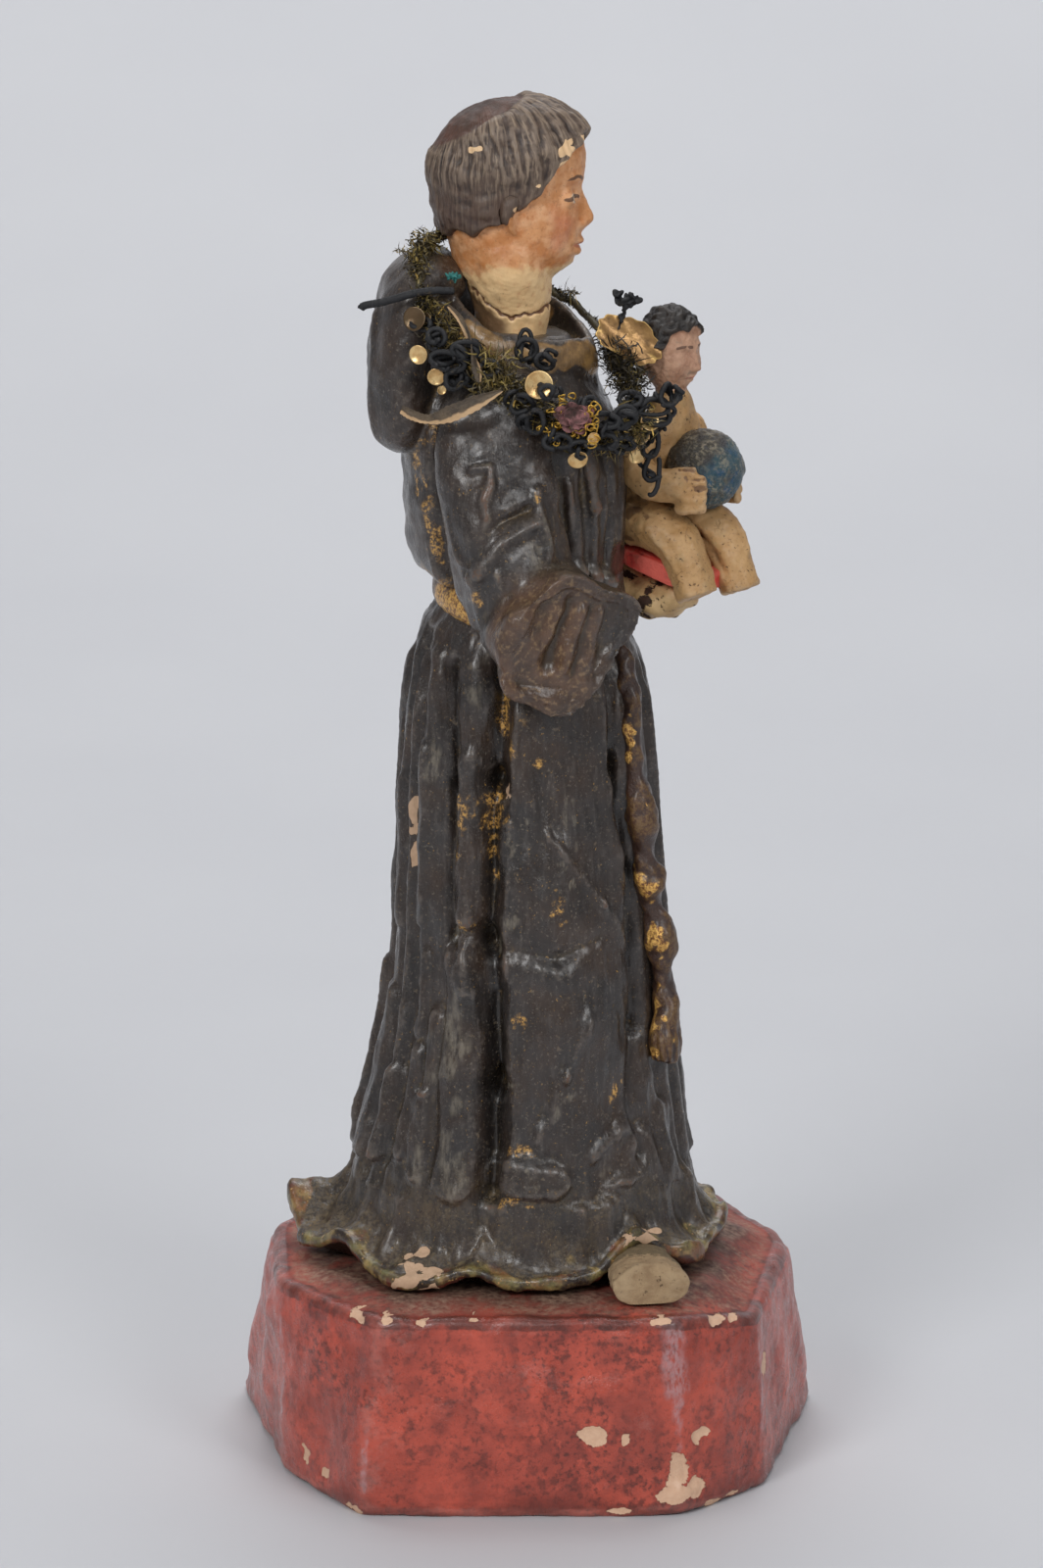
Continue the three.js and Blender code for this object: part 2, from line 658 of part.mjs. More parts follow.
function makeChild() {
  const forwardWay = onChild(1, 0, 0).sub(CHILD_SEAT).toArray();
  const torso = limb(
    [
      childStation(1, 0, -1, 8, 7),
      childStation(1.5, 0, 6, 8.4, 7),
      childStation(4, 0, 15, 7.4, 5.8),
      childStation(5.6, 0, 22, 8.2, 5.4),
      childStation(6.2, 0, 27, 5.4, 4),
      childStation(6.6, 0, 32, 3.4, 3.4),
    ],
    10, 6, forwardWay,
  );
  const limbOf = (stations, ends, share = 0.14) => limb(stations, 8, 5, [0, 0, 1], ends, share);
  const arms = [-1, 1].map((side) =>
    limbOf(
      [
        childStation(5.4, 7.4 * side, 24, 3.8, 3.8),
        childStation(4, 9.6 * side, 17, 3.6, 3.6),
        childStation(7.6, 10 * side, 13.4, 3.6, 3.6),
        childStation(12, 8.8 * side, 12.8, 3.2, 3.4),
        childStation(16, 6.4 * side, 12.8, 3, 4.6),
      ],
      [2, 2.4],
    ),
  );
  const legs = [[-1, 0], [1, 3]].map(([side, ahead]) =>
    limbOf(
      [
        childStation(0, 4.6 * side, 4, 6, 5.6),
        childStation(7 + ahead, 5.2 * side, 1.6, 5.6, 5.4),
        childStation(12.5 + ahead, 5.4 * side, -3, 5.2, 5.4),
        childStation(17 + ahead, 5.6 * side, -8, 4.8, 5.2),
      ],
      [2, 9],
      0.08,
    ),
  );
  const globe = ball(onChild(13.8, 1, 14.8), [8.3, 8.3, 8.3], 12, 7);
  const headCentre = onChild(6, 0, 38.2);
  const step = (forward, left, up) => headCentre.clone().add(onChild(forward, left, up)).sub(CHILD_SEAT);
  const head = ball(headCentre, [6.2, 5.6, 8.4], 10, 7, CHILD_TURN, 0);
  const hair = ball(step(-0.8, 0, 2.2), [6.9, 6.5, 7.2], 10, 6, CHILD_TURN, 0);
  const nose = ball(step(6, 0, -0.8), [1.3, 1, 1.4], 6, 3);
  const book = solidOf(
    new THREE.BoxGeometry(20, 17, 4.2)
      .rotateY(radians(14))
      .rotateZ(radians(CHILD_TURN))
      .translate(...onChild(8, 0.5, -5.4).toArray()),
  );
  return join(torso, ...arms, ...legs, globe, head, hair, nose, book);
}

// The garland: a chenille ring that lies over the hood, the right shoulder, the breast and up past the child.
const GARLAND = [
  [-16.5, 1, 252.6], [-21, -7, 250.2], [-20.5, -15, 243.5], [-16, -20.5, 235.5], [-9, -24.5, 231],
  [-2, -29, 226.5], [6.5, -29.5, 220.5], [14, -25, 216], [20.5, -17.5, 216], [24, -10, 221],
  [21, -3, 228], [17.5, 4, 232], [15.5, 11, 237], [9, 17, 241.5], [-1, 19, 246], [-11, 12, 251.5],
];
const GARLAND_SIDES = 5;
const GARLAND_STEPS = 34;

function makeGarlandRing(radius) {
  const route = new THREE.CatmullRomCurve3(GARLAND.map((p) => point(...p)), true);
  return new THREE.TubeGeometry(route, GARLAND_STEPS, radius, GARLAND_SIDES, true);
}

// The ribbon leaf: a thin brown strip laid across the shoulder, pointed at both ends.
const RIBBON = [
  [-24, -27, 222.4, 0.5, 0.8],
  [-18.6, -31.4, 220.6, 0.5, 2.4],
  [-10.9, -34, 223.2, 0.5, 2.2],
  [-4.5, -34.4, 227.4, 0.5, 0.8],
];
const makeRibbonLeaf = () => limb(RIBBON, 8, 8, [0, 0.2, 1], [2, 2], 0.06);

// A small disc or oval petal: its centre, the way its face looks, its two radii and its thickness.
function disc(centre, facing, radii, thickness, sides = 12) {
  const geometry = new THREE.CylinderGeometry(1, 1, thickness, sides).scale(radii[0], 1, radii[1]);
  const turn = new THREE.Quaternion().setFromUnitVectors(point(0, 1, 0), point(...facing).normalize());
  return solidOf(geometry.applyQuaternion(turn).translate(...centre));
}

// A bent wire loop: a small ring of wire, with the way its hole looks.
function wireLoop(centre, facing, radius, wire) {
  const geometry = new THREE.TorusGeometry(radius, wire, 4, 9);
  const turn = new THREE.Quaternion().setFromUnitVectors(point(0, 0, 1), point(...facing).normalize());
  return solidOf(geometry.applyQuaternion(turn).translate(...centre));
}

const SEQUINS = [
  [[2.5, -33.2, 228.6], [0.15, -1, 0.1]],
  [[-21, -24.5, 233], [-0.4, -1, 0]],
  [[-17.6, -24.6, 228.6], [-0.2, -1, -0.1]],
  [[10.2, -31.8, 213.6], [0.2, -1, -0.5]],
  [[22, -15.5, 211], [0.4, -1, -0.2]],
];
const LOOPS = [
  [[-15.5, -25.8, 231.5], [-0.2, -1, 0.2], 2.6],
  [[-11.5, -28, 234.5], [0.2, -1, 0.2], 2.2],
  [[-5.5, -29.8, 232.5], [0.5, -0.8, 0.3], 2],
  [[15.5, -29.5, 221], [0.5, -1, 0.1], 2.3],
  [[19.5, -24, 219.8], [0.2, -1, 0], 2.4],
  [[26.2, -15.5, 218.5], [0.3, -1, 0.5], 3.2],
  [[25.5, -14, 209.5], [0.5, -1, 0], 2.5],
];

const saint = makeSaint();
const plinth = makePlinth(5, 3);
const child = clearOf(makeChild(), [saint]);

// The garland's pieces, each cut clear of what it lies on.
const lyingOn = [saint, child];
const garland = [];
function hang(name, solid, material) {
  const cleared = clearOf(solid, lyingOn);
  lyingOn.push(cleared);
  garland.push([name, cleared, material]);
}
hang("garland_ring", solidOf(makeGarlandRing(GARLAND_RADIUS)), "chenille");
hang("garland_flower", ball(point(9.6, -32.6, 222), [4, 2, 4], 12, 6), "petal");
hang("garland_gilt_leaf", disc([20.5, 2.5, 231.4], [0.45, -0.85, 0.5], [3.8, 7], 0.8, 14), "gold");
hang("garland_ribbon_leaf", makeRibbonLeaf(), "leaf");
SEQUINS.forEach(([centre, facing], i) => {
  const gold = disc(centre, facing, [SEQUIN_RADIUS, SEQUIN_RADIUS], SEQUIN_THICKNESS);
  hang(`garland_sequin_${i + 1}`, gold, "gold");
});
LOOPS.forEach(([centre, facing, radius], i) => {
  hang(`garland_wire_loop_${i + 1}`, wireLoop(centre, facing, radius, 0.55), "wire");
});

const colour = (rgb) => new THREE.Color().setRGB(...rgb, THREE.SRGBColorSpace);
const finish = (rgb, roughness, metalness = 0) =>
  new THREE.MeshStandardMaterial({ color: colour(rgb), roughness, metalness });
const FINISHES = {
  plinth: finish(PAINT.plinth, 0.45),
  habit: finish(PAINT.habit, 0.42),
  flesh: finish(PAINT.flesh, 0.6),
  gold: finish(PAINT.gold, 0.3, 1),
  chenille: finish(PAINT.chenille, 0.7, 0.3),
  wire: finish(PAINT.wire, 0.8),
  petal: finish(PAINT.petal, 0.85),
  leaf: finish(PAINT.leaf, 0.8),
};

const statue = new THREE.Group();
function show(name, solid, material) {
  const geometry = geometryOf(solid);
  geometry.computeVertexNormals();
  const mesh = new THREE.Mesh(geometry, material);
  mesh.name = name;
  statue.add(mesh);
}

show("plinth", plinth, FINISHES.plinth);
show("saint", saint, FINISHES.habit);
show("christ_child", child, FINISHES.flesh);
garland.forEach(([name, solid, material]) => show(name, solid, FINISHES[material]));

export default statue;
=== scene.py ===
"""The looks of a painted terracotta statuette: a friar saint with a seated child, a wire garland and a plinth.

Shapes are worked out in millimetres, in the frame of the solids: +Z up, +X the way the saint faces, and -Y his
right-hand side. A turn is in degrees, from his front towards his right-hand side.
"""

import bpy
import numpy as np
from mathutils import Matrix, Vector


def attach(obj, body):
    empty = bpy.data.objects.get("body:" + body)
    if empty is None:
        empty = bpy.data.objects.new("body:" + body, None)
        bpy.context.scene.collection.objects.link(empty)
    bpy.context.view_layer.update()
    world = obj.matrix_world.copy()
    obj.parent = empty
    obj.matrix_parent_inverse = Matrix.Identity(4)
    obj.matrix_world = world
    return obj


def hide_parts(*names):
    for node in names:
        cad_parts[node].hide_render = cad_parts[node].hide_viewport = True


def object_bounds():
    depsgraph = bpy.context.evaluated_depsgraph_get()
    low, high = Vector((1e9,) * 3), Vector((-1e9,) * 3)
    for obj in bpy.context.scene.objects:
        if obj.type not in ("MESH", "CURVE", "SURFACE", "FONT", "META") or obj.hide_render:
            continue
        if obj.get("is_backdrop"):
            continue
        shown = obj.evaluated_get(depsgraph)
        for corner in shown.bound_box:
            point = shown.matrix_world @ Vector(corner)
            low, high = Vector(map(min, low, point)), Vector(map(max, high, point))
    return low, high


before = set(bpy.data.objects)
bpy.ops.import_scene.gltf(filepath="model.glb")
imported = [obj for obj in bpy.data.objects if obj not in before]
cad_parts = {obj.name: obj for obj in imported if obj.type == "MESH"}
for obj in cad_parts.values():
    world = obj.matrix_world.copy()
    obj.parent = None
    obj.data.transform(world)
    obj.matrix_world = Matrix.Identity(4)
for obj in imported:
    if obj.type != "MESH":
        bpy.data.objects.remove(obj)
cad_low, cad_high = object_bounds()

# Plinth
# A hand-cut octagonal block of fired clay, painted brick red over a pale ground and varnished.
# The paint has chipped along its edges, and dust lies on its top round the figure.
MM = 0.001
FINE = 1.0

PLINTH_TOP = 42
PLINTH_CORNERS = np.array([  # x, y at the ground, then x, y, z at the top edge
    [32.5, -52, 30.5, -49.5, 41],
    [49, -33, 47.5, -33, 36.5],
    [61, 24, 55, 14, 38],
    [40, 52, 40, 44, 39.5],
    [-38, 52, -36, 45, 41],
    [-60.4, 30, -53, 14, 41],
    [-49.5, -26, -51, -24, 41],
    [-33.5, -52, -30.5, -49.5, 41],
])
CORNER_ROUNDING = 2.4
FOOT_ROUNDING, RIM_ROUNDING = 1.4, 1.9
RIM_HEIGHT, RIM_TO_MIDDLE = 41, 48
PLINTH_CHIPS = np.array([  # x, y, z, half width, half height, raggedness
    [13, -52, 17, 3.6, 1.6, 0.5],
    [20.1, -52, 16.2, 0.8, 1.5, 0.3],
    [35.8, -48.8, 16, 1.4, 1.6, 0.5],
    [31.2, -52, 9.6, 2.5, 3.6, 0.3],
    [30.2, -52, 4.4, 4.4, 1.7, 0.25],
    [35.2, -49.2, 5.4, 3, 1.8, 0.3],
    [18, -52.5, 1.3, 3.6, 0.8, 0.6],
    [49, -28, 24.4, 1, 2.6, 0.4],
    [-49.3, -20, 22.1, 0.7, 1.3, 0.4],
    [-41.1, -41, 5, 0.9, 1.2, 0.5],
    [-45.4, -36, 6.6, 0.9, 1.9, 0.5],
    [-34.3, -45, 40.6, 2, 1.4, 0.5],
    [-27.9, -50, 41, 1.3, 1, 0.5],
    [-20.6, -50.4, 40.4, 1.3, 1, 0.4],
    [-10.4, -49, 41.6, 0.9, 0.9, 0.4],
    [26.7, -50.4, 40.6, 1.9, 1.2, 0.5],
    [39, -42, 38.4, 1.7, 1.3, 0.5],
    [42.4, -39, 37.6, 1.2, 1, 0.4],
    [41.6, -42, 1, 4, 0.9, 0.6],
    [-35, -50, 0.8, 2.2, 0.8, 0.6],
    [-20, 51, 39, 3, 2, 0.6],
    [33, 50, 12, 3, 4.6, 0.6],
    [-56, 32, 30, 1.4, 3.4, 0.5],
    [55, 30, 6, 1.6, 4, 0.5],
])


# The pale upright edges are partly rubbed paint and partly painted highlights down the corners.
PLINTH_WEAR_AND_HIGHLIGHTS = [  # upright edges rubbed pale: from x, y, z to x, y, z, radius
    [29.8, -49.6, 40.4, 30.2, -50, 27, 2.3], [30.4, -50.2, 27, 31.4, -50.8, 13, 1],
    [-30.8, -50, 40.4, -31.4, -50.6, 34, 1.3],
    [-31.8, -51, 30, -33, -52, 3, 0.7], [-50.6, -25, 39, -49.8, -26, 14, 0.8],
    [47.8, -33, 35, 48.6, -33, 12, 0.8],
]


def bell(distance, width):
    """A smooth hump: 1 at no distance, falling off as exp(-(distance / width)^2)."""
    return np.exp(-((distance / width) ** 2))


def ease(low, high, value):
    """A smooth step from 0 at low to 1 at high: 3t^2 - 2t^3."""
    t = np.clip((value - low) / (high - low), 0, 1)
    return t * t * (3 - 2 * t)


def mix(a, b, share):
    """The point that lies `share` of the way from a to b."""
    return a + (b - a) * share


def unevenness(points, size, seed):
    """A random smooth height over points: cosine waves of about one length, in 20 random directions, added up."""
    random = np.random.default_rng(seed)
    ways = random.normal(size=(20, 3))
    ways *= (2 * np.pi / size * random.uniform(0.6, 1.5, 20) / np.linalg.norm(ways, axis=1))[:, None]
    return np.cos(points @ ways.T + random.uniform(0, 2 * np.pi, 20)).sum(-1) / 3.2


def new_piece(name, corners, quads, triangles=()):
    """A smooth-shaded piece from corners in millimetres, turned right side out by the sign of its volume."""
    triangles = np.asarray(triangles, int).reshape(-1, 3)
    halves = np.concatenate([triangles, quads[:, :3], quads[:, [0, 2, 3]]]) if len(quads) else triangles
    a, b, c = corners[halves[:, 0]], corners[halves[:, 1]], corners[halves[:, 2]]
    if (np.cross(a, b) * c).sum() < 0:
        quads, triangles = quads[:, ::-1], triangles[:, ::-1]
    mesh = bpy.data.meshes.new(name)
    loops = np.concatenate([quads.ravel(), triangles.ravel()]).astype(np.int32)
    starts = np.concatenate([np.arange(len(quads)) * 4, len(quads) * 4 + np.arange(len(triangles)) * 3])
    mesh.vertices.add(len(corners))
    mesh.vertices.foreach_set("co", (corners * MM).ravel())
    mesh.loops.add(len(loops))
    mesh.loops.foreach_set("vertex_index", loops)
    mesh.polygons.add(len(starts))
    mesh.polygons.foreach_set("loop_start", starts.astype(np.int32))
    mesh.update(calc_edges=True)
    mesh.shade_smooth()
    piece = bpy.data.objects.new(name, mesh)
    bpy.context.scene.collection.objects.link(piece)
    return piece


def skin_faces(levels, around, first=0):
    """The faces over a grid of rings whose ends are closed by fans to two extra corners, the last of all."""
    i = np.arange(around)
    j = (i + 1) % around
    low = np.arange(levels - 1)[:, None] * around
    top = (levels - 1) * around
    quads = np.stack([low + i, low + j, low + around + j, low + around + i], -1).reshape(-1, 4)
    start, end = np.full(around, levels * around), np.full(around, levels * around + 1)
    fans = np.concatenate([np.stack([start, j, i], -1), np.stack([end, top + i, top + j], -1)])
    return quads + first, fans + first


def skin_corners(rings):
    """The corners of a grid of rings, with the middle of its first ring and of its last."""
    return np.concatenate([rings.reshape(-1, 3), [rings[0].mean(0)], [rings[-1].mean(0)]])


def closed_skin(name, rings):
    """A closed piece over a grid of rings, from one end to the other."""
    return new_piece(name, skin_corners(rings), *skin_faces(*rings.shape[:2]))


def corners_of(piece):
    """A piece's corners in millimetres."""
    corners = np.empty(len(piece.data.vertices) * 3)
    piece.data.vertices.foreach_get("co", corners)
    return corners.reshape(-1, 3) / MM


def normals_of(piece):
    """The outward directions at a piece's corners."""
    normals = np.empty(len(piece.data.vertices) * 3, np.float32)
    piece.data.vertex_normals.foreach_get("vector", normals)
    return normals.reshape(-1, 3)


def press(piece, height):
    """Moves each corner along its outward direction by a height in millimetres."""
    corners = corners_of(piece) + normals_of(piece) * np.asarray(height)[:, None]
    piece.data.vertices.foreach_set("co", (corners * MM).ravel())
    piece.data.update()


def mark(piece, name, values):
    """Writes one number for each corner of a piece, for its paint to read."""
    attribute = piece.data.attributes.new(name, "FLOAT", "POINT")
    attribute.data.foreach_set("value", np.asarray(values, np.float32))


def evened(piece, reach):
    """A piece's corners, each moved to the mean of its neighbours as often as it takes to even out shapes of about
    the reach."""
    corners, count = corners_of(piece), len(piece.data.vertices)
    edges = np.empty(len(piece.data.edges) * 2, np.int32)
    piece.data.edges.foreach_get("vertices", edges)
    a, b = edges.reshape(-1, 2).T
    touching = np.maximum(np.bincount(a, minlength=count) + np.bincount(b, minlength=count), 1)[:, None]
    step = np.median(np.linalg.norm(corners[a] - corners[b], axis=1))
    for _ in range(int(np.clip(2 * (reach / step) ** 2, 2, 60))):
        total = [
            np.bincount(a, corners[b, axis], count) + np.bincount(b, corners[a, axis], count)
            for axis in range(3)
        ]
        corners = np.stack(total, -1) / touching
    return corners


def mark_relief(piece, reach=1.2):
    """Marks how far each corner stands above the evened surface, in millimetres."""
    mark(piece, "relief", ((corners_of(piece) - evened(piece, reach)) * normals_of(piece)).sum(-1))


def chip_distance(points, chips, seed):
    """How far points lie from the nearest chip, as a share of its size: below 1 is inside. Each chip is an oval
    whose rim wanders by its raggedness."""
    nearest = np.full(len(points), 9.0)
    for number, (x, y, z, wide, high, ragged) in enumerate(chips):
        offset = (points - [x, y, z]) / [wide, max(wide, 5), high]
        distance = np.linalg.norm(offset, axis=1)
        close = distance < 4
        distance[close] += ragged * 0.55 * unevenness(points[close], (wide + high) * 1.1, seed + number)
        nearest = np.minimum(nearest, distance)
    return nearest


def stroke_distance(points, a, b):
    """The distance from points to the straight line between a and b."""
    along = np.asarray(b, float) - a
    share = np.clip((points - a) @ along / (along @ along), 0, 1)
    return np.linalg.norm(points - a - share[:, None] * along, axis=1)


def mark_strokes(piece, name, strokes, seed, ragged=0.5, squash=(1, 1, 1)):
    """Marks how far the corners lie from the nearest stroke of paint, as a share of its radius."""
    points = corners_of(piece) * squash
    nearest = np.full(len(points), 9.0)
    for number, (*ends, radius) in enumerate(strokes):
        start, end = np.array(ends[:3]) * squash, np.array(ends[3:]) * squash + 1e-6
        distance = stroke_distance(points, start, end) / radius
        close = distance < 4
        distance[close] += ragged * unevenness(points[close], 2.2 * radius + 0.8, seed + number)
        nearest = np.minimum(nearest, distance)
    mark(piece, name, nearest)


def plinth_corner(index, rise):
    """A corner of the octagon at a share of the plinth's height: on the straight line from ground to top edge."""
    corner = PLINTH_CORNERS[index % len(PLINTH_CORNERS)]
    return mix(corner[..., :2], corner[..., 2:4], rise[..., None]), corner[..., 4] * rise


def plinth_outline(u, rise):
    """A point on the octagon: along each side in a straight line, bent round its corners like the hyperbola
    sqrt(walked^2 + rounding^2)."""
    walk = u * len(PLINTH_CORNERS)
    index = np.floor(walk + 0.5).astype(int)
    ahead = (walk >= index)[..., None]
    reach = np.abs(walk - index)[..., None]
    flat, high = plinth_corner(index, rise)
    after, after_high = plinth_corner(index + 1, rise)
    before, before_high = plinth_corner(index - 1, rise)
    towards, away = np.where(ahead, after, before) - flat, np.where(ahead, before, after) - flat
    length = np.linalg.norm(towards, axis=-1, keepdims=True)
    walked = reach * length
    bent = np.hypot(walked, CORNER_ROUNDING * (1 - ease(0.15, 0.5, reach)))
    towards, away = towards / length, away / np.linalg.norm(away, axis=-1, keepdims=True)
    edge = flat + towards * (bent + walked) / 2 + away * (bent - walked) / 2
    return edge, mix(high, np.where(ahead[..., 0], after_high, before_high), reach[..., 0])


def plinth_rings(around, walls):
    """Rings over the floor, up the walls, round the top edge and in to the middle, and how far each ring lies below
    the top edge, or in from it where that is negative. A level is [share of the height, inset, drop, share of the
    way in]."""
    bend = np.linspace(0, np.pi / 2, 7)
    levels = np.concatenate([
        [[0, FOOT_ROUNDING, 0, s] for s in (0.97, 0.6, 0.3, 0)],
        [[0, FOOT_ROUNDING * (1 - np.sin(b)), -FOOT_ROUNDING * (1 - np.cos(b)), 0] for b in bend[1:]],
        [[rise, 0, 0, 0] for rise in np.linspace(0.05, 0.93, walls)],
        [[1, RIM_ROUNDING * (1 - np.cos(b)), RIM_ROUNDING * (1 - np.sin(b)), 0] for b in bend],
        [[1, RIM_ROUNDING, 0, s] for s in np.linspace(0.01, 0.97, walls // 2) ** 1.1],
    ])
    rise, inset, drop, inward = (column[:, None] for column in levels.T)
    u = np.arange(around)[None, :] / around
    flat, high = plinth_outline(u + 0 * rise, rise + 0 * u)
    flat = flat * (1 + 0.012 * np.sin(np.pi * rise))[..., None]
    flat = flat * (1 - inset / np.linalg.norm(flat, axis=-1))[..., None] * (1 - inward)[..., None]
    on_top = (rise == 1) & (inward > 0)
    high = np.where(on_top, mix(high, PLINTH_TOP, ease(0, 0.24, inward)), high - drop)
    from_edge = np.where(inward > 0, -RIM_TO_MIDDLE * inward, RIM_HEIGHT * (1 - rise))[:, 0]
    return np.concatenate([flat, high[..., None]], -1), np.append(np.repeat(from_edge, around), [RIM_HEIGHT, -RIM_TO_MIDDLE])


rings, from_edge = plinth_rings(int(420 * FINE), int(68 * FINE))
plinth = closed_skin("plinth_block", rings)
mark(plinth, "from edge", from_edge)
place = corners_of(plinth)
on_wall = ease(4, 8, place[:, 2]) * (1 - ease(34, 39, place[:, 2]))
bare = chip_distance(place, PLINTH_CHIPS, 60)
press(
    plinth,
    0.34 * unevenness(place, 26, 1) * (0.4 + on_wall)
    + 0.13 * unevenness(place, 9, 2)
    + 0.04 * unevenness(place, 3.5, 3)
    - 0.35 * (1 - ease(0.75, 1.1, bare)) * (place[:, 2] > 0.2),
)
mark_relief(plinth, 2)
mark(plinth, "bare", bare)
mark_strokes(plinth, "worn and highlit edges", PLINTH_WEAR_AND_HIGHLIGHTS, 40, 0.2)


def colour(red, green, blue):
    """A paint colour from its screen values, 0 to 255."""
    screen = np.array([red, green, blue]) / 255
    linear = np.where(screen <= 0.04045, screen / 12.92, ((screen + 0.055) / 1.055) ** 2.4)
    return (*(float(part) for part in linear), 1.0)


def node(tree, kind, inputs=None, **settings):
    """A shader node. Each input is a plain value, or another node's output to link."""
    made = tree.nodes.new("ShaderNode" + kind)
    for name, value in settings.items():
        setattr(made, name, value)
    for name, value in (inputs or {}).items():
        if isinstance(value, bpy.types.NodeSocket):
            tree.links.new(value, made.inputs[name])
        else:
            made.inputs[name].default_value = value
    return made


def calc(tree, operation, *values):
    """The result of a Math node."""
    return node(tree, "Math", dict(enumerate(values)), operation=operation).outputs[0]


def band(tree, value, low, high):
    """A smooth step of a value: 0 at low and 1 at high."""
    inputs = {"Value": value, "From Min": low, "From Max": high}
    return node(tree, "MapRange", inputs, interpolation_type="SMOOTHSTEP").outputs["Result"]


def times(tree, first, second):
    """The product of two values."""
    return calc(tree, "MULTIPLY", first, second)


def coat(tree, share, under, over, amount=1):
    """One colour laid over another by a share, which an amount can weaken."""
    if amount != 1:
        share = times(tree, share, amount)
    return node(tree, "Mix", {0: share, 6: under, 7: over}, data_type="RGBA").outputs[2]


def level(tree, share, low, high):
    """The number that lies a share of the way from low to high."""
    return node(tree, "Mix", {0: share, 2: low, 3: high}, data_type="FLOAT").outputs[0]


def read_mark(tree, name):
    """What mark() wrote."""
    return node(tree, "Attribute", attribute_name=name).outputs["Fac"]


def grain(tree, size, detail=4.0, roughness=0.6, squash=(1, 1, 1)):
    """Noise of a size in millimetres over the piece, from 0 to 1 and mostly near 0.5. A squash above 1 makes its
    patches narrower that way."""
    place = node(tree, "TexCoord").outputs["Object"]
    place = node(tree, "VectorMath", {0: place, 1: squash}, operation="MULTIPLY").outputs[0]
    rate = calc(tree, "DIVIDE", 1 / MM, size)
    inputs = {"Vector": place, "Scale": rate, "Detail": detail, "Roughness": roughness}
    return node(tree, "TexNoise", inputs).outputs[0]


def uneven(tree, value, size, amount):
    """A value with noise of a size, in millimetres, added by an amount."""
    return calc(tree, "ADD", value, times(tree, grain(tree, size), amount))


def new_group(name, output, **inputs):
    """An empty node group with number inputs and one number output: its tree, its inputs and its result."""
    group = bpy.data.node_groups.new(name, "ShaderNodeTree")
    for label, value in inputs.items():
        group.interface.new_socket(label, in_out="INPUT", socket_type="NodeSocketFloat").default_value = value
    group.interface.new_socket(output, in_out="OUTPUT", socket_type="NodeSocketFloat")
    given = group.nodes.new("NodeGroupInput").outputs
    return group, given, group.nodes.new("NodeGroupOutput").inputs[0]


def use(tree, group, **inputs):
    """A node group in a material, with this place's own values."""
    made = tree.nodes.new("ShaderNodeGroup")
    made.node_tree = group
    for label, value in inputs.items():
        if isinstance(value, bpy.types.NodeSocket):
            tree.links.new(value, made.inputs[label])
        else:
            made.inputs[label].default_value = value
    return made.outputs[0]


# Patches of paint: noise of a size in millimetres, cut at a share of the surface with a soft or a hard rim.
patches, given, result = new_group("patches of paint", "Mask", size=4.0, share=0.5, soft=0.08)
cut = calc(patches, "MULTIPLY_ADD", given["share"], -0.42, 0.71)
noise = grain(patches, given["size"])
low, high = calc(patches, "SUBTRACT", cut, given["soft"]), calc(patches, "ADD", cut, given["soft"])
patches.links.new(band(patches, noise, low, high), result)


def patchy(tree, size, share, soft):
    """Patches of paint of a size in millimetres over a share of the piece, with a rim that is soft or hard."""
    return use(tree, patches, size=size, share=share, soft=soft)


# Rubbed ridges: where the surface stands proud by more than a height, broken up by noise.
rubbed, given, result = new_group("rubbed ridges", "Mask", start=0.1, soft=0.2, size=1.5, broken=0.4)
stray = calc(rubbed, "MULTIPLY", calc(rubbed, "SUBTRACT", grain(rubbed, given["size"]), 0.5), given["broken"])
proud = calc(rubbed, "ADD", read_mark(rubbed, "relief"), stray)
high = calc(rubbed, "ADD", given["start"], given["soft"])
rubbed.links.new(band(rubbed, proud, given["start"], high), result)

# Shade and dirt in hollows: where the surface lies below its surroundings, broken up by noise. The paints darken
# these hollows as painted shade, and some also lay dust in them.
shade_and_grime, given, result = new_group("grime in hollows", "Mask", start=0.1, soft=0.3, size=1.5, broken=0.4)
stray = calc(shade_and_grime, "MULTIPLY", calc(shade_and_grime, "SUBTRACT", grain(shade_and_grime, given["size"]), 0.5), given["broken"])
sunk = calc(shade_and_grime, "SUBTRACT", stray, read_mark(shade_and_grime, "relief"))
high = calc(shade_and_grime, "ADD", given["start"], given["soft"])
shade_and_grime.links.new(band(shade_and_grime, sunk, given["start"], high), result)

# Settled dust: on what faces up, broken up by noise.
dust, given, result = new_group("settled dust", "Mask", start=0.3, soft=0.5, size=1.2, broken=0.6)
facing = node(dust, "SeparateXYZ", {0: node(dust, "NewGeometry").outputs["Normal"]}).outputs[2]
stray = calc(
    dust, "MULTIPLY", calc(dust, "SUBTRACT", grain(dust, given["size"], 6.0, 0.7), 0.5), given["broken"]
)
high = calc(dust, "ADD", given["start"], given["soft"])
dust.links.new(band(dust, calc(dust, "ADD", facing, stray), given["start"], high), result)

# Chipped paint: inside a marked distance of 1, with a sharp rim that wanders a little.
chipped, given, result = new_group("chipped paint", "Mask", reach=1.0, wander=0.25, size=0.8)
rim = calc(chipped, "MULTIPLY", calc(chipped, "SUBTRACT", grain(chipped, given["size"]), 0.5), given["wander"])
inside = calc(chipped, "SUBTRACT", given["reach"], calc(chipped, "ADD", read_mark(chipped, "bare"), rim))
chipped.links.new(band(chipped, inside, -0.02, 0.04), result)


def new_paint(name):
    """A material with a Principled shader, and the tree and shader to fill in."""
    material = bpy.data.materials.new(name)
    material.use_nodes = True
    return material, material.node_tree, material.node_tree.nodes["Principled BSDF"]


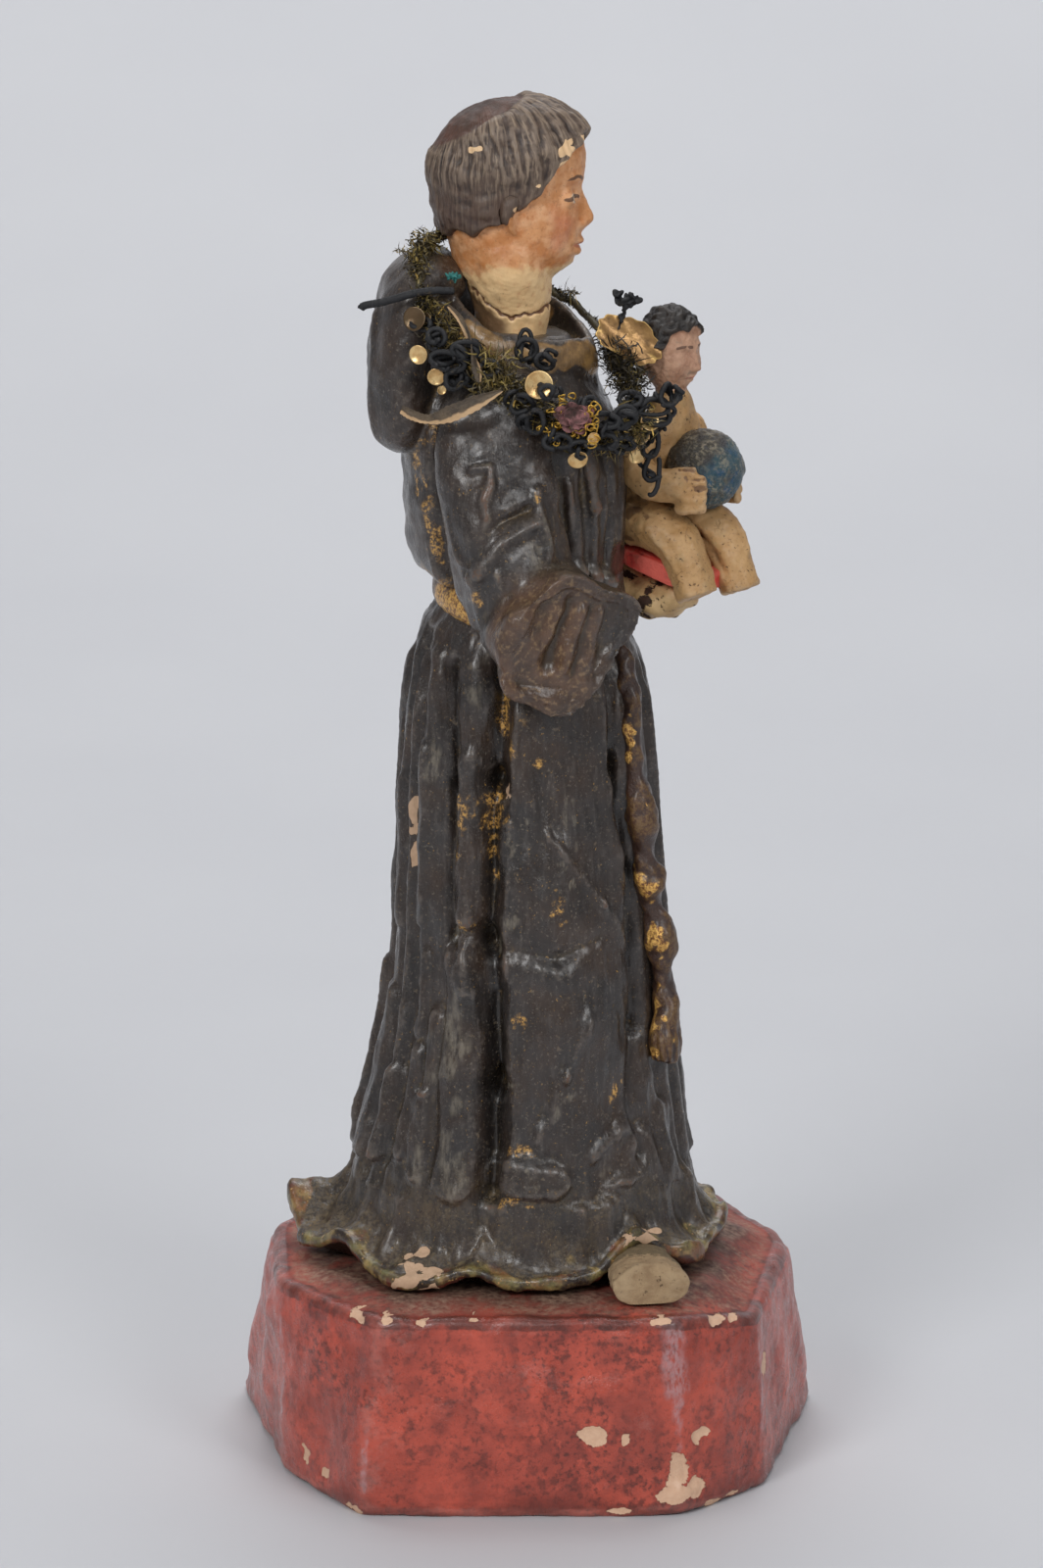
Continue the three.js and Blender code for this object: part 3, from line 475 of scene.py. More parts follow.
def fill_in(tree, shader, base, rough, height=None, depth=0.2, **plain):
    """Links a shader's colour, roughness and bump height (depth in millimetres), and sets its plain values."""
    tree.links.new(base, shader.inputs["Base Color"])
    tree.links.new(rough, shader.inputs["Roughness"])
    if height is not None:
        bump = node(tree, "Bump", {"Strength": 1.0, "Distance": depth * MM, "Height": height})
        tree.links.new(bump.outputs[0], shader.inputs["Normal"])
    for label, value in plain.items():
        shader.inputs[label.replace("_", " ")].default_value = value


brick_red, tree, shader = new_paint("brick red varnished paint")
high_up = node(tree, "SeparateXYZ", {0: node(tree, "TexCoord").outputs["Object"]}).outputs[2]
below = read_mark(tree, "from edge")
on_top = band(tree, below, 0.0, -1.0)
blotch = patchy(tree, 13.0, 0.5, 0.16)
base = coat(tree, blotch, colour(198, 85, 65), colour(158, 67, 53))
speckled = patchy(tree, 20.0, 0.5, 0.16)
for size, share, soft, amount, tint in (
    (7.0, 0.4, 0.14, 0.5, colour(138, 60, 50)),
    (3.2, 0.38, 0.1, 0.5, colour(114, 50, 42)),
    (1.6, 0.34, 0.08, 0.5, colour(92, 44, 36)),
    (0.8, 0.24, 0.08, 0.5, colour(84, 40, 34)),
    (2.6, 0.12, 0.08, 0.5, colour(224, 98, 76)),
):
    fleck = times(tree, patchy(tree, size, share, soft), level(tree, speckled, 0.2, 1.15))
    base = coat(tree, fleck, base, tint, amount)
worn = use(tree, rubbed, start=0.3, soft=0.5, size=1.4, broken=0.9)
base = coat(tree, worn, base, colour(196, 150, 140), 0.2)
low_down = band(tree, high_up, 0.007, 0.001)
streaky = band(tree, grain(tree, 5.0, 5.0, 0.6, (0.3, 0.3, 1)), 0.4, 0.6)
base = coat(tree, times(tree, low_down, streaky), base, colour(92, 36, 28), 0.7)
# Pale chalky streaks down the upright edges: rubbed paint, and painted highlights.
pale_edge = band(tree, uneven(tree, read_mark(tree, "worn and highlit edges"), 3.0, 0.8), 1.9, 0.7)
chalky = band(tree, grain(tree, 0.9, 5.0, 0.7, (1, 1, 0.4)), 0.34, 0.6)
base = coat(tree, times(tree, pale_edge, chalky), base, colour(186, 150, 152), 0.65)
wander = times(tree, calc(tree, "SUBTRACT", grain(tree, 4.0), 0.5), 5.0)
rim_dirt = band(tree, calc(tree, "ABSOLUTE", calc(tree, "ADD", below, wander)), 1.6, 0.4)
rim_dirt = times(tree, rim_dirt, level(tree, patchy(tree, 6.0, 0.6, 0.14), 0.25, 1.0))
base = coat(tree, rim_dirt, base, colour(66, 34, 27), 0.75)
# The top is painted dark brown, darkest in towards the figure, where it stands for the shadow under the hem.
dark_top = times(tree, on_top, patchy(tree, 9.0, 0.95, 0.25))
darkest = level(tree, band(tree, calc(tree, "ADD", below, wander), -2.0, -9.0), 0.3, 0.95)
base = coat(
    tree, times(tree, dark_top, darkest), base,
    coat(tree, band(tree, below, -7.0, -17.0), colour(66, 42, 35), colour(38, 28, 24))
)
powder = times(tree, on_top, use(tree, dust, start=0.75, soft=0.5, size=1.4, broken=1.3))
powder = times(tree, powder, patchy(tree, 9.0, 0.66, 0.2))
powder = times(tree, powder, band(tree, below, -0.8, -2.6))
base = coat(tree, powder, base, colour(166, 134, 112), 0.85)
chip = use(tree, chipped, wander=0.8, size=0.9)
clay = coat(tree, grain(tree, 1.5), colour(236, 200, 168), colour(206, 160, 130))
base = coat(tree, chip, base, clay)
rough = level(tree, patchy(tree, 2.5, 0.5, 0.2), 0.24, 0.46)
rough = calc(tree, "MAXIMUM", rough, times(tree, calc(tree, "MAXIMUM", chip, powder), 0.85))
rough = calc(tree, "MAXIMUM", rough, times(tree, on_top, 0.62))
height = uneven(tree, grain(tree, 2.2, 6.0), 0.5, 0.35)
height = calc(tree, "SUBTRACT", height, times(tree, chip, 0.9))
fill_in(tree, shader, base, rough, height, 0.25, Coat_Roughness=0.2)
tree.links.new(level(tree, on_top, 0.25, 0.0), shader.inputs["Coat Weight"])
plinth.data.materials.append(brick_red)
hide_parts("plinth")
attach(plinth, "root")

# Skirt of the habit
# The lower half of the figure: soft clay pressed and cut into long pleats that end above a thick, wavy hem.
# It is painted grey-black over brown, rubbed on its ridges, with an ochre line round the hem.
FIGURE_FOOT = 42.3
SKIRT_BOTTOM = 59
HEM_THICKNESS = 2.4
HEM_OVERHANG = 8
HEM_CENTRE, HEM_HALF_DEPTH, HEM_HALF_WIDTH = -2.5, 43, 37.5
FOLD_SCALE = 27  # millimetres of cloth for each radian round the figure
HABIT_OUTLINE = [  # height, back, front, half width
    [56, -37, 35, 34], [66, -34.6, 33, 32], [80, -30.8, 31, 30.5], [98, -27.6, 29.6, 28.5],
    [120, -26.3, 28.4, 26.8], [148, -25.2, 26.2, 25], [163, -23.8, 24.4, 23.5], [174, -20.8, 20.6, 21],
    [181, -17.2, 20, 20.4], [189, -20.8, 20, 20.5], [200, -22, 20.5, 21.5], [212, -22, 19.5, 21.5],
    [222, -19.5, 15.5, 18.5],
    [230, -15.5, 10.5, 13], [238, -10, 5, 7],
]
FOLDS = [  # from turn, height, to turn, height, half width, rise: rounded ridges, and grooves where it is negative
    [131, 168, 126, 145, 1.7, -2.8], [126, 145, 125, 112, 1.3, -2.4], [104, 168, 106.5, 146, 2.8, -4],
    [106.5, 146, 108.5, 112, 2.7, -4.4], [108.5, 112, 104, 84, 2.6, -4.4], [104, 84, 101.5, 61, 2.5, -4],
    [103.5, 110, 100, 61, 1.5, -1.6], [96.5, 168, 98, 137, 1.3, 1.1], [98, 137, 101, 106, 1, 0.7],
    [115, 168, 116, 118, 3.6, 1.4], [116, 107, 114, 64, 3.6, 0.9], [141, 170, 138, 120, 2.1, 1.3],
    [149, 168, 147, 60, 1.4, -1.8], [160, 172, 159, 60, 1.7, -2.2], [154.5, 168, 153, 66, 1.5, 0.8],
    [43, 168, 47, 148, 2, -2.6], [47, 148, 40, 126, 2, -3], [40, 126, 43, 94, 1.9, -2.8],
    [43, 94, 46, 68, 1.8, -2.2],
    [54, 168, 49.5, 130, 2, 0.8], [49.5, 130, 51, 104, 2, 0.7], [80, 121, 75, 99, 12, 2.6],
    [70, 97, 80, 64, 8, 1.4],
    [101, 112, 80, 110.6, 1.4, -0.7], [80, 110.6, 62, 114.5, 1.3, -0.7], [96, 107.5, 72, 106.5, 2.8, 0.6],
    [81.5, 135, 60, 121, 0.9, 0.8], [60, 121, 45, 110, 1, 0.7], [92, 160, 88, 138, 2, 0.8],
    [74, 166, 80, 146, 1.7, 0.6],
    [85.5, 73, 76, 86, 1.3, 1.5], [76, 86, 69, 98, 1.1, 1.1], [88, 71, 79, 84.5, 1.6, -1.1],
    [65, 69, 54, 74, 1.5, 1.2],
    [54, 64, 44, 78, 1.6, 1], [22.5, 85, 44.5, 80.5, 2, 0.4], [28, 84, 22, 62, 1.7, -1.8],
    [16, 166, 13, 62, 1.6, -1.8],
    [4, 166, 3, 62, 1.6, -1.3], [30, 166, 33, 126, 1.8, 0.8], [9, 160, 8, 64, 2, 0.8],
    [52, 212, 50, 184, 1.6, -1.9],
    [38, 212, 40, 182, 1.4, -1.3], [66, 200, 63, 184, 1.3, -0.8], [110, 62, 106, 54, 1.6, 0.9],
    [90, 57.5, 70, 56.5, 1.8, 0.8],
    [70, 57, 58, 60, 2.2, 1], [60, 62.6, 48, 64, 1, 0.9], [129, 63, 132, 52, 1.7, 0.7],
    [146, 63, 149, 52, 1.8, 0.8],
] + [[176 + 18 * i, 168, 178 + 18 * i, 60, 1.7, -2.2 - 0.8 * np.sin(2.1 * i)] for i in range(9)] \
  + [[184 + 18 * i, 166, 187 + 18 * i, 64 + 5 * np.cos(i), 2.3, 1.0] for i in range(9)]
PANELS = [  # as the folds, with the softness of the rim between the width and the rise: flat-topped pleats
    [111.5, 106, 109.5, 109, 4.9, 0.5, 0.9], [119.5, 110.5, 114, 64, 3.8, 0.6, 1.1],
    [98, 66, 80, 64.5, 3.4, 0.8, 1.3],
    [117, 148, 117.5, 119.5, 4, 0.7, 0.9], [130, 97, 129.5, 82, 1.5, 0.7, 1.5],
    [131.5, 80, 130, 65, 1.7, 0.7, 1.6],
    [138.5, 88, 138, 68, 1.5, 0.7, 1.2], [151.5, 82, 151, 67, 2.1, 0.8, 1.3],
    [139.5, 108, 139.5, 92, 1.2, 0.6, 1],
    [116.5, 53.7, 119, 53.4, 1.9, 0.7, 1.4], [134, 58.5, 133.4, 54.8, 1.1, 0.7, 1.6],
    [69, 58, 60, 59.5, 1.7, 0.8, 0.9],
    [28, 74, 27, 62.5, 2.6, 1, 1.6], [19, 60, 18, 55.5, 2.4, 1, 1.5], [44, 70, 38, 60, 3, 1, 1.1],
    [145, 150, 144, 116.5, 2.6, 0.6, 0.9], [164, 140, 163, 114.5, 3, 0.6, 0.9],
    [170, 96, 168, 66, 3.2, 0.8, 1.2],
] + [
    [190 + 16.2 * i, 100 + 12 * np.sin(3 * i), 190 + 16 * i, 62 + 2.5 * np.cos(2 * i), 2.8, 0.8, 1.3]
    for i in range(11)
]
CAPE_SIDE, CAPE_LOW, CAPE_THICKNESS = 138, 184.4, 2.6
HEM_LOBES = np.array([  # turn, spread, how far the edge reaches out, how far it lifts off, how much thicker it is
    [184, 10, 3, 5.5, 3.5], [165, 7, 1.5, 0.4, 0.5], [146, 11, -0.8, 4.6, 0.6], [120, 9, 3.6, -0.4, 0.8],
    [101, 7, 0, 2.8, -0.4], [76, 9, 1, 0.2, 0.8], [54, 10, -1, 7.6, 0.6], [36, 8, 2.5, 1.2, 2.2],
    [20, 7, 0, 3, 0.4], [2, 10, 0.5, 4, 1], [335, 12, 1.5, 3, 0.6], [310, 10, -1, 5.5, 0.4],
    [285, 9, 2.5, 0.5, 1], [262, 12, 0, 4, 0.4], [232, 10, 2.5, 0.5, 1], [210, 9, -1, 4.4, 0.6],
])
HABIT_CHIPS = [  # turn, height, half width, half height: down to the pale ground
    [149.5, 138.5, 0.9, 2.6], [149.8, 134.6, 0.9, 3], [149.4, 129.6, 0.9, 3.4], [95, 143.5, 0.5, 1.1],
]
HABIT_GILDING = [  # the same, for gold and orange paint showing through
    [101.5, 140.5, 1.6, 2], [103.5, 137, 1.3, 1.6], [103, 131.5, 0.9, 1.5], [100.5, 126.5, 0.6, 0.9],
    [115, 141.5, 1.3, 1.4], [115, 137.5, 1, 1.3], [118, 131, 0.8, 1.4], [124, 160.5, 0.4, 2.2],
    [113.5, 116, 1.1, 0.8],
    [96, 157, 1.5, 5], [88, 71, 1.6, 0.9], [88.5, 97.5, 1.2, 0.9], [52, 82, 1.2, 1.5], [80, 150, 0.8, 1.2],
    [74, 121, 0.8, 1.6], [93, 60.8, 1.7, 0.7],
]
HABIT_SCUFFS = [  # the same, for pale scuffed paint
    [69, 141.5, 0.35, 3], [65.5, 136.5, 0.35, 2.6], [94, 136, 0.4, 2.2], [92.5, 132.5, 0.5, 1.6],
    [86, 138, 0.6, 0.8],
    [118, 88.5, 2.6, 4.6], [116, 95, 2, 4], [72.5, 82, 0.9, 0.7], [76, 78.5, 0.7, 1.1], [94, 84, 1.2, 0.8],
    [86.5, 67, 0.5, 0.9], [73, 64, 0.5, 0.5], [72, 129.5, 0.7, 0.7], [68, 125.5, 0.6, 0.8], [84, 64, 0.6, 0.7],
    [115, 68, 1.4, 5], [110, 66, 0.9, 3], [99, 112, 0.5, 2.6], [58, 68, 0.9, 2.6], [93, 118, 1.4, 1],
    [120, 113, 1, 1.4],
    [38, 62, 0.6, 0.8], [128, 65, 0.7, 4], [142, 126, 0.6, 4], [134, 148, 0.9, 5], [113, 166, 1.6, 4],
]


def between(rows, key):
    """Reads a smooth curve through rows of [key, value, ...]: a cubic between two rows, whose slope at each row is
    that of the line through its neighbours."""
    rows = np.asarray(rows, float)
    key = np.clip(key, rows[0, 0], rows[-1, 0])
    at = np.clip(np.searchsorted(rows[:, 0], key), 1, len(rows) - 1)
    low, high = rows[at - 1], rows[at]
    before, after = rows[np.maximum(at - 2, 0)], rows[np.minimum(at + 1, len(rows) - 1)]
    span = (high - low)[..., :1]
    t = (np.asarray(key)[..., None] - low[..., :1]) / span
    slope_low = (high - before)[..., 1:] / (high - before)[..., :1] * span
    slope_high = (after - low)[..., 1:] / (after - low)[..., :1] * span
    low, high = low[..., 1:], high[..., 1:]
    return (
        low * (1 + 2 * t) * (1 - t) ** 2
        + slope_low * t * (1 - t) ** 2
        + high * t * t * (3 - 2 * t)
        + slope_high * t * t * (t - 1)
    )


def turn_gap(turn, other):
    """The shortest way between two turns, from -180 to 180."""
    return (turn - other + 180) % 360 - 180


def fold_distance(turn, z, turn_a, z_a, turn_b, z_b):
    """The distance over the cloth to the straight line from one turn and height to another."""
    across, down = np.radians(turn_b - turn_a) * FOLD_SCALE, z_b - z_a
    aside, above = np.radians(turn_gap(turn, turn_a)) * FOLD_SCALE, z - z_a
    share = np.clip((aside * across + above * down) / (across**2 + down**2), 0, 1)
    return np.hypot(aside - share * across, above - share * down)


def fold_relief(turn, z):
    """How far the pleats stand out: the sum of all folds, of a bell-shaped section, and all flat-topped panels."""
    total = np.zeros(np.broadcast(turn, z).shape)
    for turn_a, z_a, turn_b, z_b, width, rise in FOLDS:
        total += rise * bell(fold_distance(turn, z, turn_a, z_a, turn_b, z_b), width)
    for turn_a, z_a, turn_b, z_b, width, soft, rise in PANELS:
        total += rise * (1 - ease(width - soft, width + soft, fold_distance(turn, z, turn_a, z_a, turn_b, z_b)))
    return total


def habit_point(turn, z):
    """A point of the habit: an oval round the outline's back, front and sides, moved out by its folds and cape."""
    back, front, half_width = np.moveaxis(between(HABIT_OUTLINE, z), -1, 0)
    angle = np.radians(turn)
    place = np.stack([40 * np.cos(angle), -40 * np.sin(angle), z * 1.0], -1)
    wander = 0.6 * unevenness(place, 17, 11) + 0.2 * unevenness(place, 6, 12)
    beside = np.abs(turn_gap(turn, 180)) - (180 - CAPE_SIDE)
    cape = CAPE_THICKNESS * (1 - ease(-3.5, 3.5, beside)) * ease(
        CAPE_LOW - 0.9, CAPE_LOW + 0.9, z + 0.7 * wander
    )
    reach = (fold_relief(turn + wander, z + 0.5 * wander) + cape) * (1 - ease(218, 236, z))
    x = (front + back) / 2 + ((front - back) / 2 + reach) * np.cos(angle)
    return np.stack([x, -(half_width + reach) * np.sin(angle), z + 0 * x], -1)


def hem_lobes(turn, column):
    """The sum of the hem's lobes at a turn."""
    return (HEM_LOBES[:, column] * bell(turn_gap(turn[..., None], HEM_LOBES[:, 0]), HEM_LOBES[:, 1])).sum(-1)


def hem_ring(turn, reach, z):
    """A point of the oval hem, moved out by its lobes and by a reach."""
    reach, angle = reach + hem_lobes(turn, 2), np.radians(turn)
    x = HEM_CENTRE + (HEM_HALF_DEPTH + reach) * np.cos(angle)
    return np.stack([x, -(HEM_HALF_WIDTH + reach) * np.sin(angle), z + 0 * x], -1)


def waist(turn):
    """The height of the rope girdle's middle, which tilts down to the front."""
    return 177 - 4 * np.cos(np.radians(turn))


def skirt_rings(around, levels):
    """Rings from under the figure's middle, out along its underside, round the hem and up to the waist."""
    turn = np.arange(around) * 360 / around
    under = FIGURE_FOOT + np.maximum(0.9 + hem_lobes(turn, 3), 0.5)
    core = hem_ring(turn, -HEM_OVERHANG, FIGURE_FOOT)
    thick = HEM_THICKNESS + hem_lobes(turn, 4)
    middle = np.array([HEM_CENTRE, 0, FIGURE_FOOT])
    rings = [mix(middle, core, s) for s in (0.3, 0.7, 0.97)]
    for s in np.linspace(0, 1, 8)[:-1]:
        rings.append(hem_ring(turn, -HEM_OVERHANG * (1 - s), mix(FIGURE_FOOT, under, ease(0, 0.7, s))))
    for bend in np.linspace(0, np.pi, 8):
        rings.append(hem_ring(turn, 0.9 * np.sin(bend), under + thick * (1 - np.cos(bend)) / 2))
    outer, inner = rings[-1], habit_point(turn, np.full(around, float(SKIRT_BOTTOM)))
    for s in np.linspace(0, 1, levels // 6)[1:-1]:
        ring = mix(outer, inner, 1 - (1 - s) ** 1.7)
        ring[:, 2] = mix(outer[:, 2], inner[:, 2], s * s)
        pleats = fold_relief(turn, np.full(around, mix(52.0, SKIRT_BOTTOM, s)))
        ring[:, 2] += (0.9 * pleats + 0.5 * unevenness(ring * [1, 1, 0], 7, 25)) * np.sin(np.pi * s)
        rings.append(ring)
    top = waist(turn) + 1.2
    rings += [habit_point(turn, mix(SKIRT_BOTTOM, top, s)) for s in np.linspace(0, 1, levels)]
    return np.stack(rings)


around, levels = int(410 * FINE), int(140 * FINE)
rings = skirt_rings(around, levels)
skirt = closed_skin("habit_skirt", rings)
place = corners_of(skirt)


def turn_of(points):
    """The turn of points round the figure's middle, from his front towards his right-hand side."""
    return np.degrees(np.arctan2(-points[:, 1], points[:, 0] + 1.5)) % 360


def mark_spots(piece, name, spots, seed, ragged=0.6):
    """Marks how far the corners lie from the nearest spot of paint, as a share of its size, with a wandering rim."""
    points = corners_of(piece)
    turn, z, nearest = turn_of(points), points[:, 2], np.full(len(points), 9.0)
    for number, (spot_turn, spot_z, wide, high) in enumerate(spots):
        aside = np.radians(turn_gap(turn, spot_turn)) * FOLD_SCALE / wide
        distance = np.hypot(aside, (z - spot_z) / high)
        close = distance < 4
        distance[close] += ragged * unevenness(points[close], wide + high, seed + number)
        nearest = np.minimum(nearest, distance)
    mark(piece, name, nearest)


free = ease(FIGURE_FOOT + 0.1, FIGURE_FOOT + 1.2, place[:, 2])
press(skirt, free * (
    0.15 * unevenness(place * [1, 1, 0.4], 7, 21)
    + 0.09 * unevenness(place * [1, 1, 0.2], 2.6, 22)
    + 0.035 * unevenness(place, 1.6, 23)
))
mark_relief(skirt)
mark_spots(skirt, "bare", HABIT_CHIPS + [[121.5, 46.4, 1.7, 2.6], [117.5, 44.6, 2, 1.8], [49, 52, 3, 0.8]], 70)
mark_spots(skirt, "gilding", HABIT_GILDING, 90)
ring_turn = np.append(np.tile(np.arange(around) * 360 / around, len(rings)), [0, 0])
# Deep grooves of the pleats, marked so that their paint is darkened as painted shade.
mark(skirt, "deep", ease(1.3, 3.4, -fold_relief(ring_turn, place[:, 2])) * (place[:, 2] > SKIRT_BOTTOM - 1))
mark_spots(skirt, "scuffs and rim highlights", HABIT_SCUFFS, 120)
level_of = np.append(np.repeat(np.arange(len(rings)), around), [0, len(rings) - 1])
mark(skirt, "hem", ease(9.5, 11, level_of) * (1 - ease(16, 23, level_of + 3 * unevenness(place, 9, 24))))
mark(skirt, "hem edge", (1 - ease(9, 13.5, level_of + 1.5 * unevenness(place, 6, 26))) * (level_of < 40))
mark(skirt, "flange", ease(14, 18, level_of) * (1 - ease(56, 70, place[:, 2])))
mark(skirt, "underneath", (level_of < 9.5) * 1.0)

# Brush marks: noise drawn out along the height, as height for a bump.
brushed, given, result = new_group("brush marks", "Height", size=1.2)
strokes = grain(brushed, given["size"], 5.0, 0.6, (1, 1, 0.22))
brushed.links.new(calc(brushed, "ADD", strokes, calc(brushed, "MULTIPLY", grain(brushed, 0.9), 0.5)), result)


def grey_black(name):
    """The habit's paint: grey-black over umber, rubbed brown on ridges, pale where scuffed, dusty in the hollows,
    and painted near-black in its hollows and deep grooves as painted shade.
    """
    material, tree, shader = new_paint(name)
    base = coat(tree, grain(tree, 7), colour(35, 31, 29), colour(53, 48, 46))
    warm = patchy(tree, 10.0, 0.42, 0.2)
    base = coat(tree, warm, base, colour(68, 50, 37), 0.6)
    streak = band(tree, grain(tree, 1.3, 5.0, 0.65, (1, 1, 0.2)), 0.5, 0.72)
    base = coat(tree, streak, base, colour(90, 83, 78), 0.4)
    # Hollows, and the deep grooves of the pleats, are painted near-black: painted shade.
    hollow = use(tree, shade_and_grime, start=0.1, soft=0.45, size=2.0, broken=0.5)
    base = coat(tree, hollow, base, colour(26, 22, 20), 0.85)
    base = coat(tree, read_mark(tree, "deep"), base, colour(20, 16, 14), 0.8)
    silt = times(tree, hollow, patchy(tree, 7.0, 0.45, 0.14))
    silt = times(tree, silt, band(tree, grain(tree, 0.7, 5.0, 0.7), 0.42, 0.62))
    base = coat(tree, silt, base, colour(116, 96, 68), 0.8)
    ridge = use(tree, rubbed, start=0.1, soft=0.4, size=1.0, broken=0.9)
    base = coat(tree, ridge, base, colour(116, 106, 98), 0.42)
    edge = use(tree, rubbed, start=0.5, soft=0.25, size=0.8, broken=1.6)
    base = coat(tree, edge, base, colour(108, 70, 44), 0.5)
    for size, share, amount, tint in (
        (0.6, 0.16, 0.4, colour(140, 130, 116)), (1.5, 0.1, 0.45, colour(128, 112, 92)),
        (0.7, 0.03, 0.8, colour(182, 140, 72)),
    ):
        fleck = use(tree, patches, size=size, share=share, soft=0.05)
        base = coat(tree, times(tree, fleck, amount), base, tint)
    speckle = band(tree, grain(tree, 0.7, 5.0, 0.7), 0.4, 0.6)
    drawn = band(tree, grain(tree, 1.1, 5.0, 0.65, (1, 1, 0.35)), 0.32, 0.66)
    # Pale scuffs, and on the cuff's right rim a painted highlight.
    scuff_and_highlight = times(tree, band(tree, read_mark(tree, "scuffs and rim highlights"), 1.6, 0.3), drawn)
    scuff_and_highlight = times(tree, scuff_and_highlight, 0.6)
    base = coat(tree, scuff_and_highlight, base, colour(136, 127, 112))
    gilded = times(tree, band(tree, read_mark(tree, "gilding"), 1.6, 0.6), speckle)
    gold = coat(
        tree, band(tree, grain(tree, 0.7, 5.0, 0.7), 0.4, 0.6), colour(106, 66, 36), colour(218, 168, 88)
    )
    base = coat(tree, gilded, base, gold, 0.85)
    return material, tree, shader, base, hollow, ridge, scuff_and_highlight


def finish_habit(tree, shader, base, dusty, chip):
    """Dust and chips over the habit's paint, and its satin gloss."""
    powder = coat(tree, grain(tree, 0.8, 6.0, 0.7), colour(62, 54, 42), colour(138, 118, 86))
    base = coat(tree, dusty, base, powder)
    clay = coat(tree, grain(tree, 1.2), colour(216, 182, 152), colour(178, 146, 116))
    base = coat(tree, chip, base, clay)
    gloss = patchy(tree, 3.2, 0.5, 0.2)
    dull = calc(tree, "MAXIMUM", times(tree, dusty, 0.95), times(tree, chip, 0.9))
    rough = calc(tree, "MAXIMUM", level(tree, gloss, 0.24, 0.42), dull)
    height = calc(tree, "SUBTRACT", use(tree, brushed, size=1.1), times(tree, chip, 1.2))
    fill_in(tree, shader, base, rough, height, 0.22, Coat_Roughness=0.2)
    varnish = patchy(tree, 9.0, 0.6, 0.2)
    tree.links.new(level(tree, dull, times(tree, varnish, 0.45), 0.0), shader.inputs["Coat Weight"])


habit_skirt_paint, tree, shader, base, hollow, ridge, scuff_and_highlight = grey_black("grey-black paint, dusty at the hem")
hem = read_mark(tree, "hem")
ochre = coat(tree, patchy(tree, 4.0, 0.5, 0.14), colour(164, 138, 86), colour(106, 102, 62))
ochre = coat(tree, patchy(tree, 5.0, 0.5, 0.1), ochre, colour(44, 33, 27))
ochre = coat(tree, patchy(tree, 7.0, 0.3, 0.1), ochre, colour(116, 58, 34), 0.7)
ochre = coat(tree, patchy(tree, 1.2, 0.3, 0.1), ochre, colour(86, 70, 44))
ochre = coat(tree, patchy(tree, 1.0, 0.12, 0.05), ochre, colour(196, 152, 96))
band_share = band(tree, uneven(tree, hem, 2.5, 0.9), 0.75, 1.05)
lie = use(tree, dust, start=0.2, soft=0.9, size=0.7, broken=1.1)
lie = calc(tree, "MAXIMUM", lie, times(tree, patchy(tree, 8.0, 0.5, 0.2), 0.55))
low_dust = times(tree, read_mark(tree, "flange"), calc(tree, "MAXIMUM", lie, hollow))
low_dust = times(tree, low_dust, calc(tree, "SUBTRACT", 1.0, times(tree, band_share, 0.8)))
base = coat(tree, band_share, base, ochre)
edge_share = band(tree, uneven(tree, read_mark(tree, "hem edge"), 1.6, 0.8), 0.7, 1.1)
stained = coat(tree, patchy(tree, 6.0, 0.5, 0.2), colour(96, 34, 26), colour(34, 24, 20))
base = coat(tree, edge_share, base, stained, 0.9)
base = coat(tree, read_mark(tree, "underneath"), base, colour(40, 22, 18))
sandy = level(tree, band(tree, grain(tree, 0.9, 6.0, 0.75), 0.42, 0.58), 0.15, 0.95)
dusty = calc(tree, "MAXIMUM", times(tree, low_dust, sandy), times(tree, hollow, 0.1))
finish_habit(tree, shader, base, dusty, use(tree, chipped, wander=0.5, size=1.0))
skirt.data.materials.append(habit_skirt_paint)
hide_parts("saint")
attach(skirt, "root")

# Upper habit
# The breast, cape, hood, rolled collar and both wide sleeves, modelled on the body and fired with it.
# The right hand is lost, and its sleeve ends in an open, drooping cuff.
HOOD_BAG = [  # x, y, z, radius across, radius along the given way
    [-13.5, 0, 240, 6.5, 4], [-18, 0, 244.8, 11.6, 5.4], [-22, 0, 241.6, 15.5, 7],
    [-23.5, 0, 232, 16.5, 8], [-24, 0, 219, 16, 8], [-24.5, 0, 209.5, 12, 6],
]
COLLAR_CENTRE, COLLAR_RADIUS = -1.4, 12.6
COLLAR_RIM = [  # turn, height: it rises from the breast to the hood, more steeply on his left
    [0, 232], [60, 234], [90, 235], [120, 236.6], [150, 241], [180, 244.4], [225, 243], [270, 240],
    [300, 238.6],
    [330, 235], [360, 232],
]
COLLAR_SECTION = [  # share round, out, up from the rim
    [0, 0.6, -9], [0.14, 3, -6.8], [0.3, 3, -2.6], [0.42, 2, -0.7], [0.5, 1.3, 0], [0.58, 0.5, -0.5],
    [0.68, 0.2, -2.8], [0.86, -0.7, -7.6], [1, 0.6, -9],
]
RIGHT_UPPER_SLEEVE = [
    [-3, -9, 227, 8, 7], [-5.5, -17.5, 220.5, 11, 8.5], [-6, -21.5, 208, 11.6, 9.6],
    [-4, -24, 195, 11.8, 10.6], [-1, -25.5, 184, 11, 10.5], [2, -25, 176, 8.5, 9],
]
RIGHT_CUFF_SLEEVE = [
    [-2, -18, 184, 9, 10], [2, -26, 181, 11.5, 12], [6, -33.5, 178.5, 12, 12.4], [8.4, -38.5, 177.6, 12.2, 12.4]
]
CUFF_KITE = np.array([[22, 24, 5], [96, 20, 1.8], [190, 24, 2.4], [226, 18, 2.6], [267, 26, 3.6]])
CUFF_WALL, CUFF_DEPTH = 2.6, 2.4
